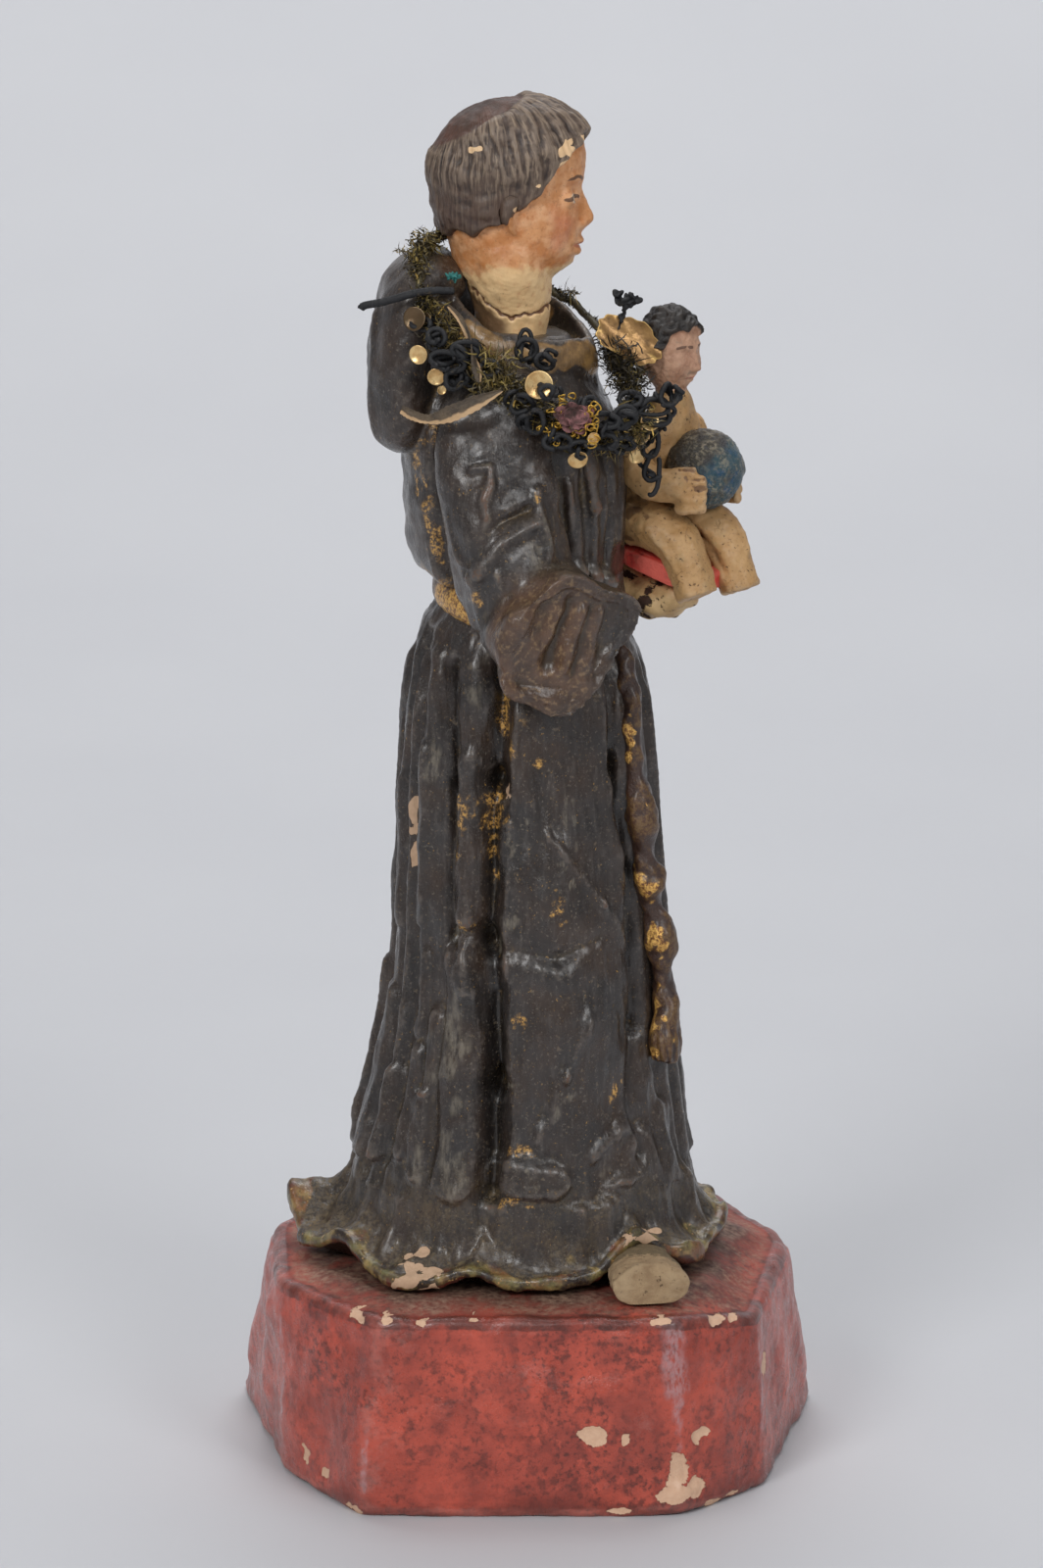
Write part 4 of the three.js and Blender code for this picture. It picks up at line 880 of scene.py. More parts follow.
CUFF_LINING = [  # its folds, seen in the cuff's mouth: x, z to x, z, half width, rise
    [9, 185.6, 4.5, 173.1, 1.1, -2.6], [4.1, 186, 3.2, 180.1, 2.6, -1.3], [7.2, 184.6, 5, 179, 1.4, 1.3],
    [-2, 183, 1, 176, 2.6, 1], [11.4, 184, 7.3, 171.9, 1, 1.7], [12.8, 184.1, 9.3, 170.7, 0.7, -1.6],
    [14.6, 183.5, 11.4, 169.4, 0.9, 1.4], [16.2, 183.1, 13.9, 170.2, 0.7, -1.5],
    [18.2, 183, 16.4, 172, 0.9, 1.1],
    [-8.5, 174.4, -0.8, 169.4, 0.6, -0.8], [-0.8, 169.4, 6.6, 168.5, 0.6, -0.8],
    [6.6, 168.5, 11.4, 170.2, 0.6, -0.8],
    [11.4, 170.2, 17.1, 174.4, 0.6, -0.7], [-6, 171, -1, 167.4, 0.7, 0.6], [-1, 167.4, 8, 165.6, 0.7, 0.6],
]
LEFT_UPPER_SLEEVE = [
    [-2, 9, 226, 8, 7], [-4, 17, 221, 12, 8.5], [-4.5, 21.5, 208, 13.5, 10],
    [-3, 24, 194, 13, 10.5], [0, 24.5, 183, 11.5, 10], [3, 23, 176, 9, 8],
]
LEFT_FORE_SLEEVE = [[0, 24, 181, 8, 10], [10, 20, 181, 9.5, 12], [17, 14, 183, 9, 11], [21.5, 9, 184, 8, 9.5]]
DRESS_FOLDS = [  # the points that a fold runs through, half width, rise
    [[[-10.5, -29.2, 210.6], [-7, -29.9, 211.3], [-6.8, -31.1, 208], [-8.1, -32.2, 204.9], [-7.6, -33.3, 201.2],
      [-10.5, -32.5, 194.1]], 0.8, 1.2],
    [[[-13, -27, 209], [-14.5, -27, 201], [-13.5, -29, 194], [-10, -33, 188], [-9, -31, 176]], 1.1, 0.9],
    [[[0.7, -30.9, 203], [-5.1, -33.1, 200.6], [-10.5, -32.5, 193.5], [-11.9, -30.3, 190.1]], 1.1, -1.6],
    [[[1.5, -31.5, 200], [-4.5, -34, 197], [-9.5, -34, 190.5]], 1.2, 1],
    [[[2.1, -29, 206.2], [2.7, -30.3, 201.5], [4.6, -31, 195.2], [3.7, -33.7, 191.8]], 1.3, 1.1],
    [[[-5.6, -35.7, 190.8], [-4.9, -36.4, 188], [-4.7, -36, 185]], 0.8, 0.9],
    [[[-3.5, -26, 214], [-5, -31, 204], [-9, -34, 195]], 1.5, -0.5],
    [[[6, -22, 213], [7.6, -22, 203], [8, -20, 193]], 1.7, -2.2],
    [[[11.9, -15.5, 212], [12.6, -15.4, 206], [13.9, -14.6, 200]], 1.1, 1.2],
    [[[8.6, -19.4, 206], [8.9, -19, 198], [9, -19, 190]], 0.9, 0.9],
    [[[15.5, -12, 212], [17.5, -11, 200], [16.5, -12, 188]], 1, -1.3],
    [[[18.5, -8, 214], [19.5, -7.5, 203], [19, -8, 192]], 1.1, 0.8],
    [[[6.5, -24, 190.5], [10.6, -17.9, 188], [17.5, -10.1, 184]], 1.6, 1.4],
    [[[20.5, 11, 194], [21.8, 9, 188], [23.2, 5, 182]], 1.2, 1.2],
    [[[22, 2, 186], [22.6, 2, 181], [21.5, 1, 177.5]], 0.6, -0.9],
    [[[20.5, 1, 186], [21, 0.5, 182], [20, 0, 178]], 0.6, -0.9],
    [[[-22, -9, 214], [-21.5, -9.5, 204], [-19.4, -12.5, 196], [-17.5, -14, 184]], 0.8, 0.5],
    [[[-30.5, -8, 238], [-31.5, -9, 226], [-30, -8, 213]], 1.6, 0.7],
    [[[-31, 0, 240], [-32, 1, 226], [-31, 0, 212]], 2.2, -0.9],
    [[[-29.5, 9, 238], [-31, 9, 226], [-29.5, 8, 213]], 1.6, 0.7],
    [[[-13, 29, 212], [-14, 31, 202], [-10, 34, 192], [-4, 35, 182]], 1.2, 1],
    [[[4, 30, 208], [-1, 34, 200], [-9, 34, 194]], 1.2, -1.4],
    [[[6, 30, 202], [2, 34, 196], [-6, 35, 188]], 1.3, 1],
    [[[2, 33, 186], [10, 29, 182], [17, 22, 181]], 1.4, -1.3],
    [[[3, 34, 182], [11, 30, 177], [18, 22, 176]], 1.3, 1],
    [[[8, 10, 222], [12, 14, 212], [13, 16, 200], [12, 16, 190]], 1.4, -1.5],
    [[[14, 4, 214], [17, 5, 204], [17, 6, 194]], 1.1, 0.9],
]
DRESS_GILDING = [  # from x, y, z to x, y, z, radius
    [-17.8, -14.1, 216.3, -21.8, -11.2, 208.2, 0.9], [-21.8, -11.2, 207, -21.3, -11.5, 202, 0.5],
    [-19.8, -14.3, 200.6, -17.8, -14.8, 189.6, 1], [-16, -15.6, 216.6, -19, -13.6, 213, 0.8],
    [-10.2, -33, 186, -9.6, -33, 184.6, 0.9], [12.6, -33, 185.4, 13.6, -33, 184.4, 0.4],
    [-12.5, -27, 205, -12.3, -27.4, 203, 0.6], [2, -30.5, 206, 2.6, -30.5, 205, 0.5],
    [-22.4, -3, 183.8, -17.6, -13.4, 183.2, 2.3],
    [-18, -15, 196, -17, -15.4, 189, 0.7], [-20.2, -13.4, 208, -18.8, -14.4, 200, 0.7],
]
DRESS_SCUFFS_AND_RIM_HIGHLIGHTS = [
    [-9.6, -29.6, 211.4, -7, -30.4, 211.6, 0.45], [-6.8, -31.6, 208, -8.1, -32.7, 204.9, 0.4],
    [-7.6, -33.7, 202.2, -9, -33.5, 197, 0.5], [-5.8, -36.4, 190.8, -4.7, -36.5, 185.6, 0.5],
    [2.7, -30.8, 203, 4.6, -31.4, 196, 0.7], [0, -34, 196, 3.7, -34, 192, 1.6],
    [12, -16, 209, 13.9, -15, 203, 0.5],
    # The last stroke on the next line runs along the cuff's right rim and is partly a painted highlight.
    [8, -21, 189.6, 16, -12, 185.6, 0.8], [20.2, -38, 183, 20.8, -38.4, 177.5, 0.6],
    [3.3, -41, 167.1, 11.4, -41.5, 164.8, 0.6],
]
OLIVE_EDGES = [  # bands of worn ochre paint: round the collar below its rim, and along the left cuff
    [8.5, -11, 229.8, 13.4, -4.5, 228.4, 2.4], [2.5, -14.5, 231.2, 8.5, -11, 229.8, 2.3],
    [-5, -15, 232.6, 2.5, -14.5, 231.2, 1.9], [-12, -12, 236, -5, -15, 232.6, 1.7],
    [13.4, -4.5, 228.4, 14.4, 3, 228.6, 2.4],
    [14.4, 3, 228.6, 9, 11.5, 233, 2.2], [9, 11.5, 233, -2, 15, 237, 2], [22.5, 9.5, 190, 24, 4, 181, 2.6],
    [24, 4, 181, 22.6, 1.6, 177.5, 2.2],
]


def limb_at(stations, v, ref):
    """The middle, two crosswise ways and two radii of a limb at shares v of its length. The second way is the one
    nearest to `ref`."""
    rows = np.column_stack([np.linspace(0, 1, len(stations)), stations])
    at = between(rows, v)
    way = between(rows, np.minimum(v + 0.01, 1))[..., :3] - between(rows, np.maximum(v - 0.01, 0))[..., :3]
    way /= np.linalg.norm(way, axis=-1, keepdims=True)
    side = np.cross(ref, way)
    side /= np.linalg.norm(side, axis=-1, keepdims=True)
    return at[..., :3], side, np.cross(way, side), at[..., 3], at[..., 4]


def limb_rings(stations, around, along, ref, ends=(2, 2), share=0.14, shape=None):
    """Oval rings carried along a path: middle + cos(angle) across + sin(angle) tall, drawn in at both ends as
    (1 - t^n)^(1/n). An n of 2 gives a ball end, and 9 a cut one. A shape adds a height over angle and length."""
    v = (0.5 - 0.5 * np.cos(np.pi * np.arange(along + 1) / along))[:, None]
    middle, side, up, across, tall = limb_at(stations, v, ref)
    from_end = np.where(v < 0.5, v, 1 - v)
    power = np.where(v < 0.5, ends[0], ends[1])
    cap = np.maximum(1 - np.clip(1 - from_end / share, 0, 1) ** power, 1e-4) ** (1 / power)
    angle = np.arange(around)[None, :] * 2 * np.pi / around
    added = 0 if shape is None else shape(angle, v) / np.maximum(across, tall)
    grow = cap * (1 + added)
    wide, high = (np.cos(angle) * across * grow)[..., None], (np.sin(angle) * tall * grow)[..., None]
    return middle + side * wide + up * high


def ball_rings(centre, radii, around, levels, turn=0):
    """Rings of an oval ball, turned about the upright through its centre."""
    rise = (np.arange(levels) + 0.5)[:, None] * np.pi / levels - np.pi / 2
    angle = np.arange(around)[None, :] * 2 * np.pi / around
    x, y = radii[0] * np.cos(rise) * np.cos(angle), radii[1] * np.cos(rise) * np.sin(angle)
    c, s = np.cos(np.radians(turn)), np.sin(np.radians(turn))
    return np.stack([x * c - y * s, x * s + y * c, radii[2] * np.sin(rise) + 0 * x], -1) + centre


def joined_skins(name, all_rings):
    """Several closed skins in one mesh."""
    corners, quads, fans, first = [], [], [], 0
    for rings in all_rings:
        faces = skin_faces(*rings.shape[:2], first)
        part = skin_corners(rings)
        a, b, c = (part[faces[0][:, k] - first] for k in (0, 1, 2))
        a, b, c = np.concatenate([a, a]), np.concatenate([b, c]), np.concatenate(
            [c, part[faces[0][:, 3] - first]]
        )
        if (np.cross(a, b) * c).sum() < 0:
            faces = [face[:, ::-1] for face in faces]
        corners.append(part)
        quads.append(faces[0])
        fans.append(faces[1])
        first += len(part)
    return new_piece(name, np.concatenate(corners), np.concatenate(quads), np.concatenate(fans))


def grow_together(piece, voxel, rounds=2):
    """Turns joined skins into one closed skin of small squares, and evens it out."""
    grown = piece.modifiers.new("one skin", "REMESH")
    grown.mode, grown.voxel_size = "VOXEL", voxel * MM / FINE
    if rounds:
        evened = piece.modifiers.new("evened", "SMOOTH")
        evened.factor, evened.iterations = 0.5, rounds
    mesh = bpy.data.meshes.new_from_object(piece.evaluated_get(bpy.context.evaluated_depsgraph_get()))
    mesh.name = piece.name
    piece.modifiers.clear()
    piece.data = mesh
    mesh.shade_smooth()
    return piece


def carve(piece, folds, squash=(1, 1, 1)):
    """Raises or sinks a surface along runs of points, with a bell-shaped section."""
    points = corners_of(piece) * squash
    total = np.zeros(len(points))
    for run, width, rise in folds:
        run = np.array(run) * squash
        nearest = np.min([stroke_distance(points, a, b) for a, b in zip(run, run[1:])], axis=0)
        total += rise * bell(nearest, width)
    press(piece, total)


def breast_rings(around, levels):
    """Rings of the habit from the girdle up to the neck."""
    turn = np.arange(around) * 360 / around
    low = waist(turn) - 1.2
    return np.stack([habit_point(turn, mix(low, 233, s)) for s in np.linspace(0, 1, levels)])


def collar_rings(around, sides):
    """A rolled section carried round the neck on a tilted circle, as two half rings that overlap."""
    section = between(COLLAR_SECTION, np.arange(sides) / sides)
    for start in (0, np.pi):
        angle = (start + np.linspace(-0.06, np.pi + 0.06, around))[:, None]
        wobble = 0.2 * np.sin(3 * angle + 1) + 0.15 * np.sin(5 * angle)
        out = COLLAR_RADIUS + section[:, 0] + wobble
        up = between(COLLAR_RIM, np.degrees(angle[:, 0]) % 360) + section[:, 1] + wobble
        yield np.stack([COLLAR_CENTRE + out * np.cos(angle), -out * np.sin(angle), up], -1)


def cuff_kite(angle):
    """How far the cuff's mouth stands out from an oval: it has a corner up front, one behind and one that droops."""
    gaps = turn_gap(np.degrees(angle)[..., None], CUFF_KITE[:, 0])
    return (CUFF_KITE[:, 2] * bell(gaps, CUFF_KITE[:, 1])).sum(-1)


def cuff_rings(around, along):
    """The right cuff: out along the sleeve, over a rounded rim, and back in along its lining."""
    outside = 1 - (1 - np.linspace(0, 1, along)) ** 1.3
    bend = np.linspace(0, np.pi, 9)[1:-1]
    inside = 1 - np.linspace(0, 1, along // 2) * CUFF_DEPTH / 23
    v = np.concatenate([outside, np.ones(len(bend)), inside])[:, None]
    inset = np.concatenate([0 * outside, CUFF_WALL * (1 - np.cos(bend)) / 2, CUFF_WALL + 0 * inside])[:, None]
    jut = np.concatenate([0 * outside, 0.5 * CUFF_WALL * np.sin(bend), 0 * inside])[:, None, None]
    middle, side, up, across, tall = limb_at(RIGHT_CUFF_SLEEVE, v, (0, 0.1, 1))
    angle = np.arange(around)[None, :] * 2 * np.pi / around
    cap = np.sqrt(np.maximum(1 - np.clip(1 - v / 0.1, 0, 1) ** 2, 1e-4))
    flare = cuff_kite(angle) * ease(0.2, 0.9, v) + 0.35 * np.sin(5 * angle + 8 * v) * ease(0.1, 0.4, v) - inset
    wide, high = (across * cap + flare) * np.cos(angle), (tall * cap + flare) * np.sin(angle)
    flat = middle + side * wide[..., None] + up * high[..., None]
    wave = 0.7 * np.sin(2 * angle + 0.6) + 0.5 * np.sin(3 * angle + 2)
    return flat + np.cross(side, up) * -(jut + (wave * ease(0.6, 1, v))[..., None])


wavy = lambda angle, v: 0.8 * np.sin(3 * angle + 9 * v) + 0.35 * np.sin(5 * angle - 13 * v + 2)
upper = joined_skins("habit_upper", [
    breast_rings(260, 120),
    limb_rings(HOOD_BAG, 90, 70, (1, 0, 0.2), (2.5, 3.5)),
    *collar_rings(90, 30),
    limb_rings(RIGHT_UPPER_SLEEVE, 90, 80, (0, 1, 0), (2, 2), 0.18, wavy),
    cuff_rings(150, 40),
    limb_rings(LEFT_UPPER_SLEEVE, 90, 80, (0, 1, 0), (2, 2), 0.18, wavy),
    limb_rings(LEFT_FORE_SLEEVE, 90, 60, (0, 0, 1), (2, 9), 0.12, wavy),
])
grow_together(upper, 0.62, 4)
carve(upper, DRESS_FOLDS)
carve(
    upper, [[[[a, -40, b], [c, -40, d]], width, rise] for a, b, c, d, width, rise in CUFF_LINING], (1, 0.12, 1)
)
place = corners_of(upper)
in_cuff = ease(0.3, 0.6, bell(np.linalg.norm((place - [4, -40, 178]) / [17, 8, 14], axis=1), 1))[:, None]
upper.data.vertices.foreach_set("co", (mix(place, evened(upper, 0.7), in_cuff) * MM).ravel())
upper.data.update()
place = corners_of(upper)
press(
    upper,
    0.14 * unevenness(place, 9, 31) + 0.045 * unevenness(place, 3.6, 32) + 0.015 * unevenness(place, 1.6, 33)
)
mark_relief(upper)
mark(upper, "bare", np.full(len(place), 9.0))
mark_strokes(upper, "gilding", DRESS_GILDING, 200)
mark_strokes(upper, "scuffs and rim highlights", DRESS_SCUFFS_AND_RIM_HIGHLIGHTS, 230)
mark_strokes(upper, "olive", OLIVE_EDGES, 260, 0.25)
mark(upper, "lining", bell(np.linalg.norm((place - [7, -40, 176]) / [23, 8, 20], axis=1), 1))

habit_upper_paint, tree, shader, base, hollow, ridge, scuff_and_highlight = grey_black("grey-black paint of the upper habit")
inside = band(tree, uneven(tree, read_mark(tree, "lining"), 3, 0.3), 0.45, 0.85)
umber = coat(tree, grain(tree, 2.2), colour(66, 47, 37), colour(120, 90, 68))
umber = coat(tree, patchy(tree, 7.0, 0.45, 0.14), umber, colour(54, 44, 39), 0.6)
umber = coat(tree, patchy(tree, 1.2, 0.3, 0.08), umber, colour(152, 124, 90), 0.6)
# The hollows of the cuff are painted darker: painted shade.
umber = coat(tree, hollow, umber, colour(40, 28, 22), 0.8)
base = coat(tree, inside, base, umber, 0.92)
olive = coat(tree, patchy(tree, 3.0, 0.5, 0.14), colour(170, 132, 80), colour(124, 94, 56))
near = uneven(tree, read_mark(tree, "olive"), 1.6, 0.6)
base = coat(tree, band(tree, near, 1.5, 1.1), base, olive, 0.85)
lie = use(tree, dust, start=0.5, soft=0.7, size=1.2, broken=0.9)
dusty = calc(tree, "MAXIMUM", times(tree, lie, 0.3), times(tree, hollow, 0.15))
finish_habit(tree, shader, base, dusty, use(tree, chipped, wander=0.4, size=1.0))
upper.data.materials.append(habit_upper_paint)
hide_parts("saint")
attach(upper, "root")

# Girdle and hanging rope
# A rolled clay rope round the waist under the cape, with its end falling down the front over three knots to
# a tassel. It is painted brown and gilded, and the gold is worn off all but the ridges.
ROPE_RADIUS = 2.6
ROPE_DROP = [
    [19.5, -11.5, 172, 2, 2], [21.2, -14, 158, 2, 2], [22, -15, 146, 1.9, 1.9], [23.4, -15.6, 137, 3.5, 3.4],
    [24.2, -15.4, 129, 2, 2], [25, -15.2, 123, 3.3, 3.2], [25.8, -14.6, 117.5, 1.9, 1.9],
    [27.3, -14, 111, 3.6, 3.6],
    [28, -13.8, 104, 2.1, 2.1], [28.4, -14.2, 98, 3.4, 2.6], [28.4, -15, 90, 5.8, 3.4],
    [28.2, -15.4, 85.5, 5.6, 2.8],
]
ROPE_TWISTS = 30
ROPE_GILDING = [  # from x, y, z to x, y, z, radius
    [20.5, -17, 156, 20.8, -17, 149, 0.9], [24, -18, 140, 24.2, -18, 138, 0.4],
    [23, -18.4, 124, 24.4, -18.6, 121.4, 1.3],
    [25.2, -18, 112, 25.2, -18, 104, 1.2], [27, -18, 113, 27.4, -18, 106, 0.9],
    [25.6, -17.6, 102, 25.4, -18.4, 88, 1.1],
    [28.4, -18, 95, 28.8, -19, 89, 0.7],
]
GIRDLE_GILDING = [
    [-18, -9, 181, -9, -21, 179, 3.4], [-6, -22, 178, 2, -23, 177.4, 1.2], [8, 20, 176, -6, 21, 178, 1.5],
    [-18, 4, 181, -15, 12, 180.6, 1.3],
]


def girdle_rings(around, sides):
    """A round cord on the tilted waist oval, with two strands wound round it, as two halves that overlap."""
    for start in (0, np.pi):
        angle = (start + np.linspace(-0.04, np.pi + 0.04, around))[:, None]
        side = np.arange(sides)[None, :] * 2 * np.pi / sides
        radius = ROPE_RADIUS * (1 + 0.05 * np.abs(np.sin(side + angle * ROPE_TWISTS / 2)))
        out = -0.5 + 0.75 * radius * np.cos(side)
        x, y = 1.2 + (18.6 + out) * np.cos(angle), -(22.5 + out) * np.sin(angle)
        yield np.stack([x, y, waist(np.degrees(angle)) + 1.25 * radius * np.sin(side)], -1)


def rope_shape(angle, v):
    """Two strands wound along the cord, coils round the knots, and lengthwise threads in the tassel."""
    tassel = ease(0.84, 0.9, v)
    strands = 0.16 * np.abs(np.sin(angle + 60 * v))
    threads = 0.25 * np.sin(12 * angle + 2 * np.sin(20 * v))
    return strands * (1 - tassel) + threads * tassel


girdle = joined_skins("rope_girdle", list(girdle_rings(int(260 * FINE), 20)))
rope_end = closed_skin(
    "rope_end", limb_rings(ROPE_DROP, 56, int(340 * FINE), (1, 0, 0), (2, 5), 0.05, rope_shape)
)
place = corners_of(rope_end)
press(rope_end, 0.2 * unevenness(place, 6, 41) + 0.06 * unevenness(place, 2.4, 42))
mark_strokes(rope_end, "gilding", ROPE_GILDING, 160, 0.7)
mark_strokes(girdle, "gilding", GIRDLE_GILDING, 180, 0.4)

worn_gold, tree, shader = new_paint("worn gilding over brown")
base = coat(tree, grain(tree, 3), colour(42, 30, 25), colour(76, 49, 36))
left = band(
    tree, calc(tree, "ADD", read_mark(tree, "gilding"), times(tree, grain(tree, 0.8, 5.0, 0.7), 1.6)), 2.2, 1.5
)
ridge = use(tree, rubbed, start=0.1, soft=0.25, size=1.0, broken=0.7)
gold = coat(tree, band(tree, grain(tree, 0.7, 5.0, 0.7), 0.38, 0.6), colour(146, 88, 42), colour(240, 190, 104))
crumbled = level(tree, band(tree, grain(tree, 0.7, 6.0, 0.75), 0.36, 0.5), 0.15, 1.0)
gilt_share = calc(tree, "MAXIMUM", times(tree, left, crumbled), times(tree, ridge, 0.14))
base = coat(tree, gilt_share, base, gold)
# The hollows between the strands are painted darker: painted shade.
hollow = use(tree, shade_and_grime, start=0.03, soft=0.25, size=0.8, broken=0.3)
base = coat(tree, hollow, base, colour(50, 36, 28), 0.7)
rough = level(tree, gilt_share, 0.4, 0.34)
fill_in(
    tree, shader, base, rough, calc(tree, "ADD", grain(tree, 1.2), grain(tree, 0.4)), 0.25, Coat_Weight=0.3,
    Coat_Roughness=0.25
)
tree.links.new(times(tree, gilt_share, 0.5), shader.inputs["Metallic"])
for piece in (girdle, rope_end):
    mark_relief(piece, 1)
    piece.data.materials.append(worn_gold)
    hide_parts("saint")
    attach(piece, "root")

# Toe of the right foot
# It comes out from under the hem, broken off flat, so that the bare clay shows in its end.
TOE = [[22, -26, 46.8, 6.4, 4.2], [24, -34, 46, 7.4, 4.2], [25.4, -42.4, 45.6, 8, 4.2]]
TOE_CUT = -39.5  # y of the broken end

toe = closed_skin("broken_toe", limb_rings(TOE, 96, int(80 * FINE), (0, 0, 1), (2, 7), 0.1))
place = corners_of(toe)
press(
    toe,
    np.where(
        place[:, 2] > FIGURE_FOOT + 0.5,
        0.1 * unevenness(place, 6, 51) + 0.05 * unevenness(place * [0.4, 1, 1], 1.6, 52), 0
    )
)
place = corners_of(toe)
place[:, 1] += 0.4 * ease(TOE_CUT + 4, TOE_CUT, place[:, 1]) * (place[:, 2] - FIGURE_FOOT - 2)
mark(toe, "cut", ease(TOE_CUT + 8, TOE_CUT + 2, place[:, 1]))
place[:, 2] = np.maximum(place[:, 2], FIGURE_FOOT)
toe.data.vertices.foreach_set("co", (place * MM).ravel())
toe.data.update()
mark_relief(toe, 1)
bare_clay, tree, shader = new_paint("bare broken clay")
base = coat(tree, patchy(tree, 3.0, 0.5, 0.2), colour(172, 146, 112), colour(146, 120, 90))
base = coat(tree, patchy(tree, 1.1, 0.15, 0.05), base, colour(96, 76, 56))
base = coat(
    tree, use(tree, rubbed, start=0.05, soft=0.3, size=0.8, broken=0.5), base, colour(178, 154, 122), 0.45
)
# Behind the broken end the toe is painted dusty dark brown, which also stands for the shade under the hem.
dusty_and_shaded = coat(tree, grain(tree, 1.4, 5.0, 0.7), colour(74, 62, 48), colour(142, 122, 90))
ragged = times(tree, calc(tree, "SUBTRACT", grain(tree, 1.6), 0.5), 1.4)
base = coat(tree, band(tree, calc(tree, "ADD", read_mark(tree, "cut"), ragged), 0.4, 0.6), dusty_and_shaded, base)
height = calc(tree, "ADD", grain(tree, 1.0, 8.0, 0.7, (0.4, 1, 1)), grain(tree, 0.35))
fill_in(tree, shader, base, level(tree, grain(tree, 2), 0.85, 0.95), height, 0.2)
toe.data.materials.append(bare_clay)
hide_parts("saint")
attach(toe, "root")

# Head
# A calm, smooth-shaven face under a thick cap of combed hair that rings a shaven crown. The flesh paint is
# warm over a cream ground, and the neck was once broken right round and glued.
SKULL = [  # height, back, front, half width
    [242, -11, 3, 7], [246, -14, 7, 8.4], [250, -15, 10.2, 9.4], [254, -16, 11, 10.1], [258, -16.8, 11.1, 10.7],
    [262, -17.6, 11, 11.1], [266, -18.2, 11.8, 11.2], [270, -17.6, 11.9, 10.9], [274, -15.6, 10.6, 9.8],
    [277.2, -12, 7.4, 7.6], [279.2, -7, 2.6, 4],
]
HAIRLINE = [
    [-24, 254], [-20, 254.2], [-13.5, 254.3], [-6.4, 256.2], [-0.6, 260], [5.2, 265.9], [10.5, 272.2],
    [14, 273.5]
]
NECK = [
    [-3, 0, 228, 6.4, 7], [-2.9, 0, 234, 6.6, 7.2], [-2.7, 0, 238.6, 7.6, 7.8], [-3.4, 0, 246, 10.4, 8.8],
    [-4, 0, 256, 10.4, 9.4]
]
NECK_CRACK = [[-14, 245], [-11.4, 243.3], [-7.4, 239.8], [-4.2, 237.6], [0.2, 237.4], [4.3, 238.8], [8, 239]]
HAIR_THICKNESS, CROWN_X, CROWN_RADIUS = 2.2, -9, 8.5
EYE_SPACING, EYE_HEIGHT, EYEBALL = 4.5, 261.2, 2.5
FACE_SWELLS = [  # middle of the swelling: x, y (both sides), z; spread along x, y and z; rise
    [11, 0, 247.6, 5, 3.6, 2.6, 1.1],
    [11.6, 0, 258.4, 4, 1.5, 3.4, 1.5],
    [12.4, 0, 256, 4, 1.6, 1.7, 1.7],
    [11.6, 1.9, 255.3, 4, 1.1, 1.1, 0.8],
    [11, 4.6, 264.6, 4, 3.2, 1, 0.55],
    [10, 4.5, 261.6, 4, 2.7, 1.9, -1.0],
    [9, 6.4, 256, 5, 3.4, 3.6, 0.6],
    [11, 0, 251.9, 4, 2.6, 0.75, 0.8],
    [11, 0, 250, 4, 2.2, 0.8, 0.75],
    [11, 0, 251, 4, 3, 0.34, -0.6],
    [11, 0, 248.9, 4, 2.4, 0.6, -0.5],
    [11, 2.9, 251, 3, 0.7, 0.7, -0.35],
    [0, 10.4, 247, 6, 4, 4, 0.5],
]
EAR = [
    [-2.6, 10.2, 262, 1, 0.6], [-3.4, 11, 259.6, 1.8, 0.9], [-3, 10.8, 256.6, 1.4, 0.8],
    [-2, 9.8, 254.4, 0.8, 0.6]
]
BROW = [[12, 2, 264.4], [11.6, 4.4, 265.3], [9.6, 7, 264.6]]
UPPER_LID = [[10.4, 2.3, 261.2], [10.5, 4.4, 262.5], [9, 6.9, 261.2]]
LOWER_LID = [[10.3, 2.6, 260.8], [10.3, 4.5, 259.8], [9, 6.6, 260.7]]
FLAT_ON_FACE = (0.25, 1, 1)  # how far each axis counts for what is painted on the face
HEAD_CHIPS = [
    [8, -9.4, 270.6, 9.4, -7.6, 272.4, 1.2], [8.6, -9.2, 267.2, 9.6, -8.4, 270.4, 1.3],
    [11.6, -5, 273.2, 12.4, -4.4, 273, 0.8],
    [2.4, -12.4, 264, 2.8, -12.3, 264.4, 0.5], [-1.6, -12.6, 259.8, -1, -12.5, 259.4, 0.6],
    [-10.6, -11.6, 271.6, -9.6, -11.4, 271.4, 0.8], [0.3, -12.2, 258.6, 1, -12, 258.8, 0.55],
    [12.8, 3, 272.4, 13, 3.4, 271, 0.7], [-14, 11, 268, -13, 11.6, 267.4, 0.7],
]


def skull_rings(around, levels):
    """Rings of the bare head: an oval round the skull's outline, narrower towards the face."""
    z = np.linspace(242, 279.2, levels)[:, None]
    back, front, half_width = np.moveaxis(between(SKULL, z), -1, 0)
    angle = np.arange(around)[None, :] * 2 * np.pi / around
    x = (front + back) / 2 + (front - back) / 2 * np.cos(angle)
    y = -half_width * np.sin(angle) * (1 - 0.14 * np.cos(angle))
    return np.stack([x, y, z + 0 * x], -1)


def hair_above(points):
    """How far points lie above the hairline, in millimetres: it rises from the nape to the temple and forehead."""
    return points[:, 2] - between(HAIRLINE, points[:, 0])[:, 0]


def crown_share(points):
    """1 on the shaven crown, 0 off it."""
    off = np.hypot(points[:, 0] - CROWN_X, points[:, 1]) + np.maximum(0, 270 - points[:, 2])
    return 1 - ease(CROWN_RADIUS - 0.9, CROWN_RADIUS + 0.9, off)


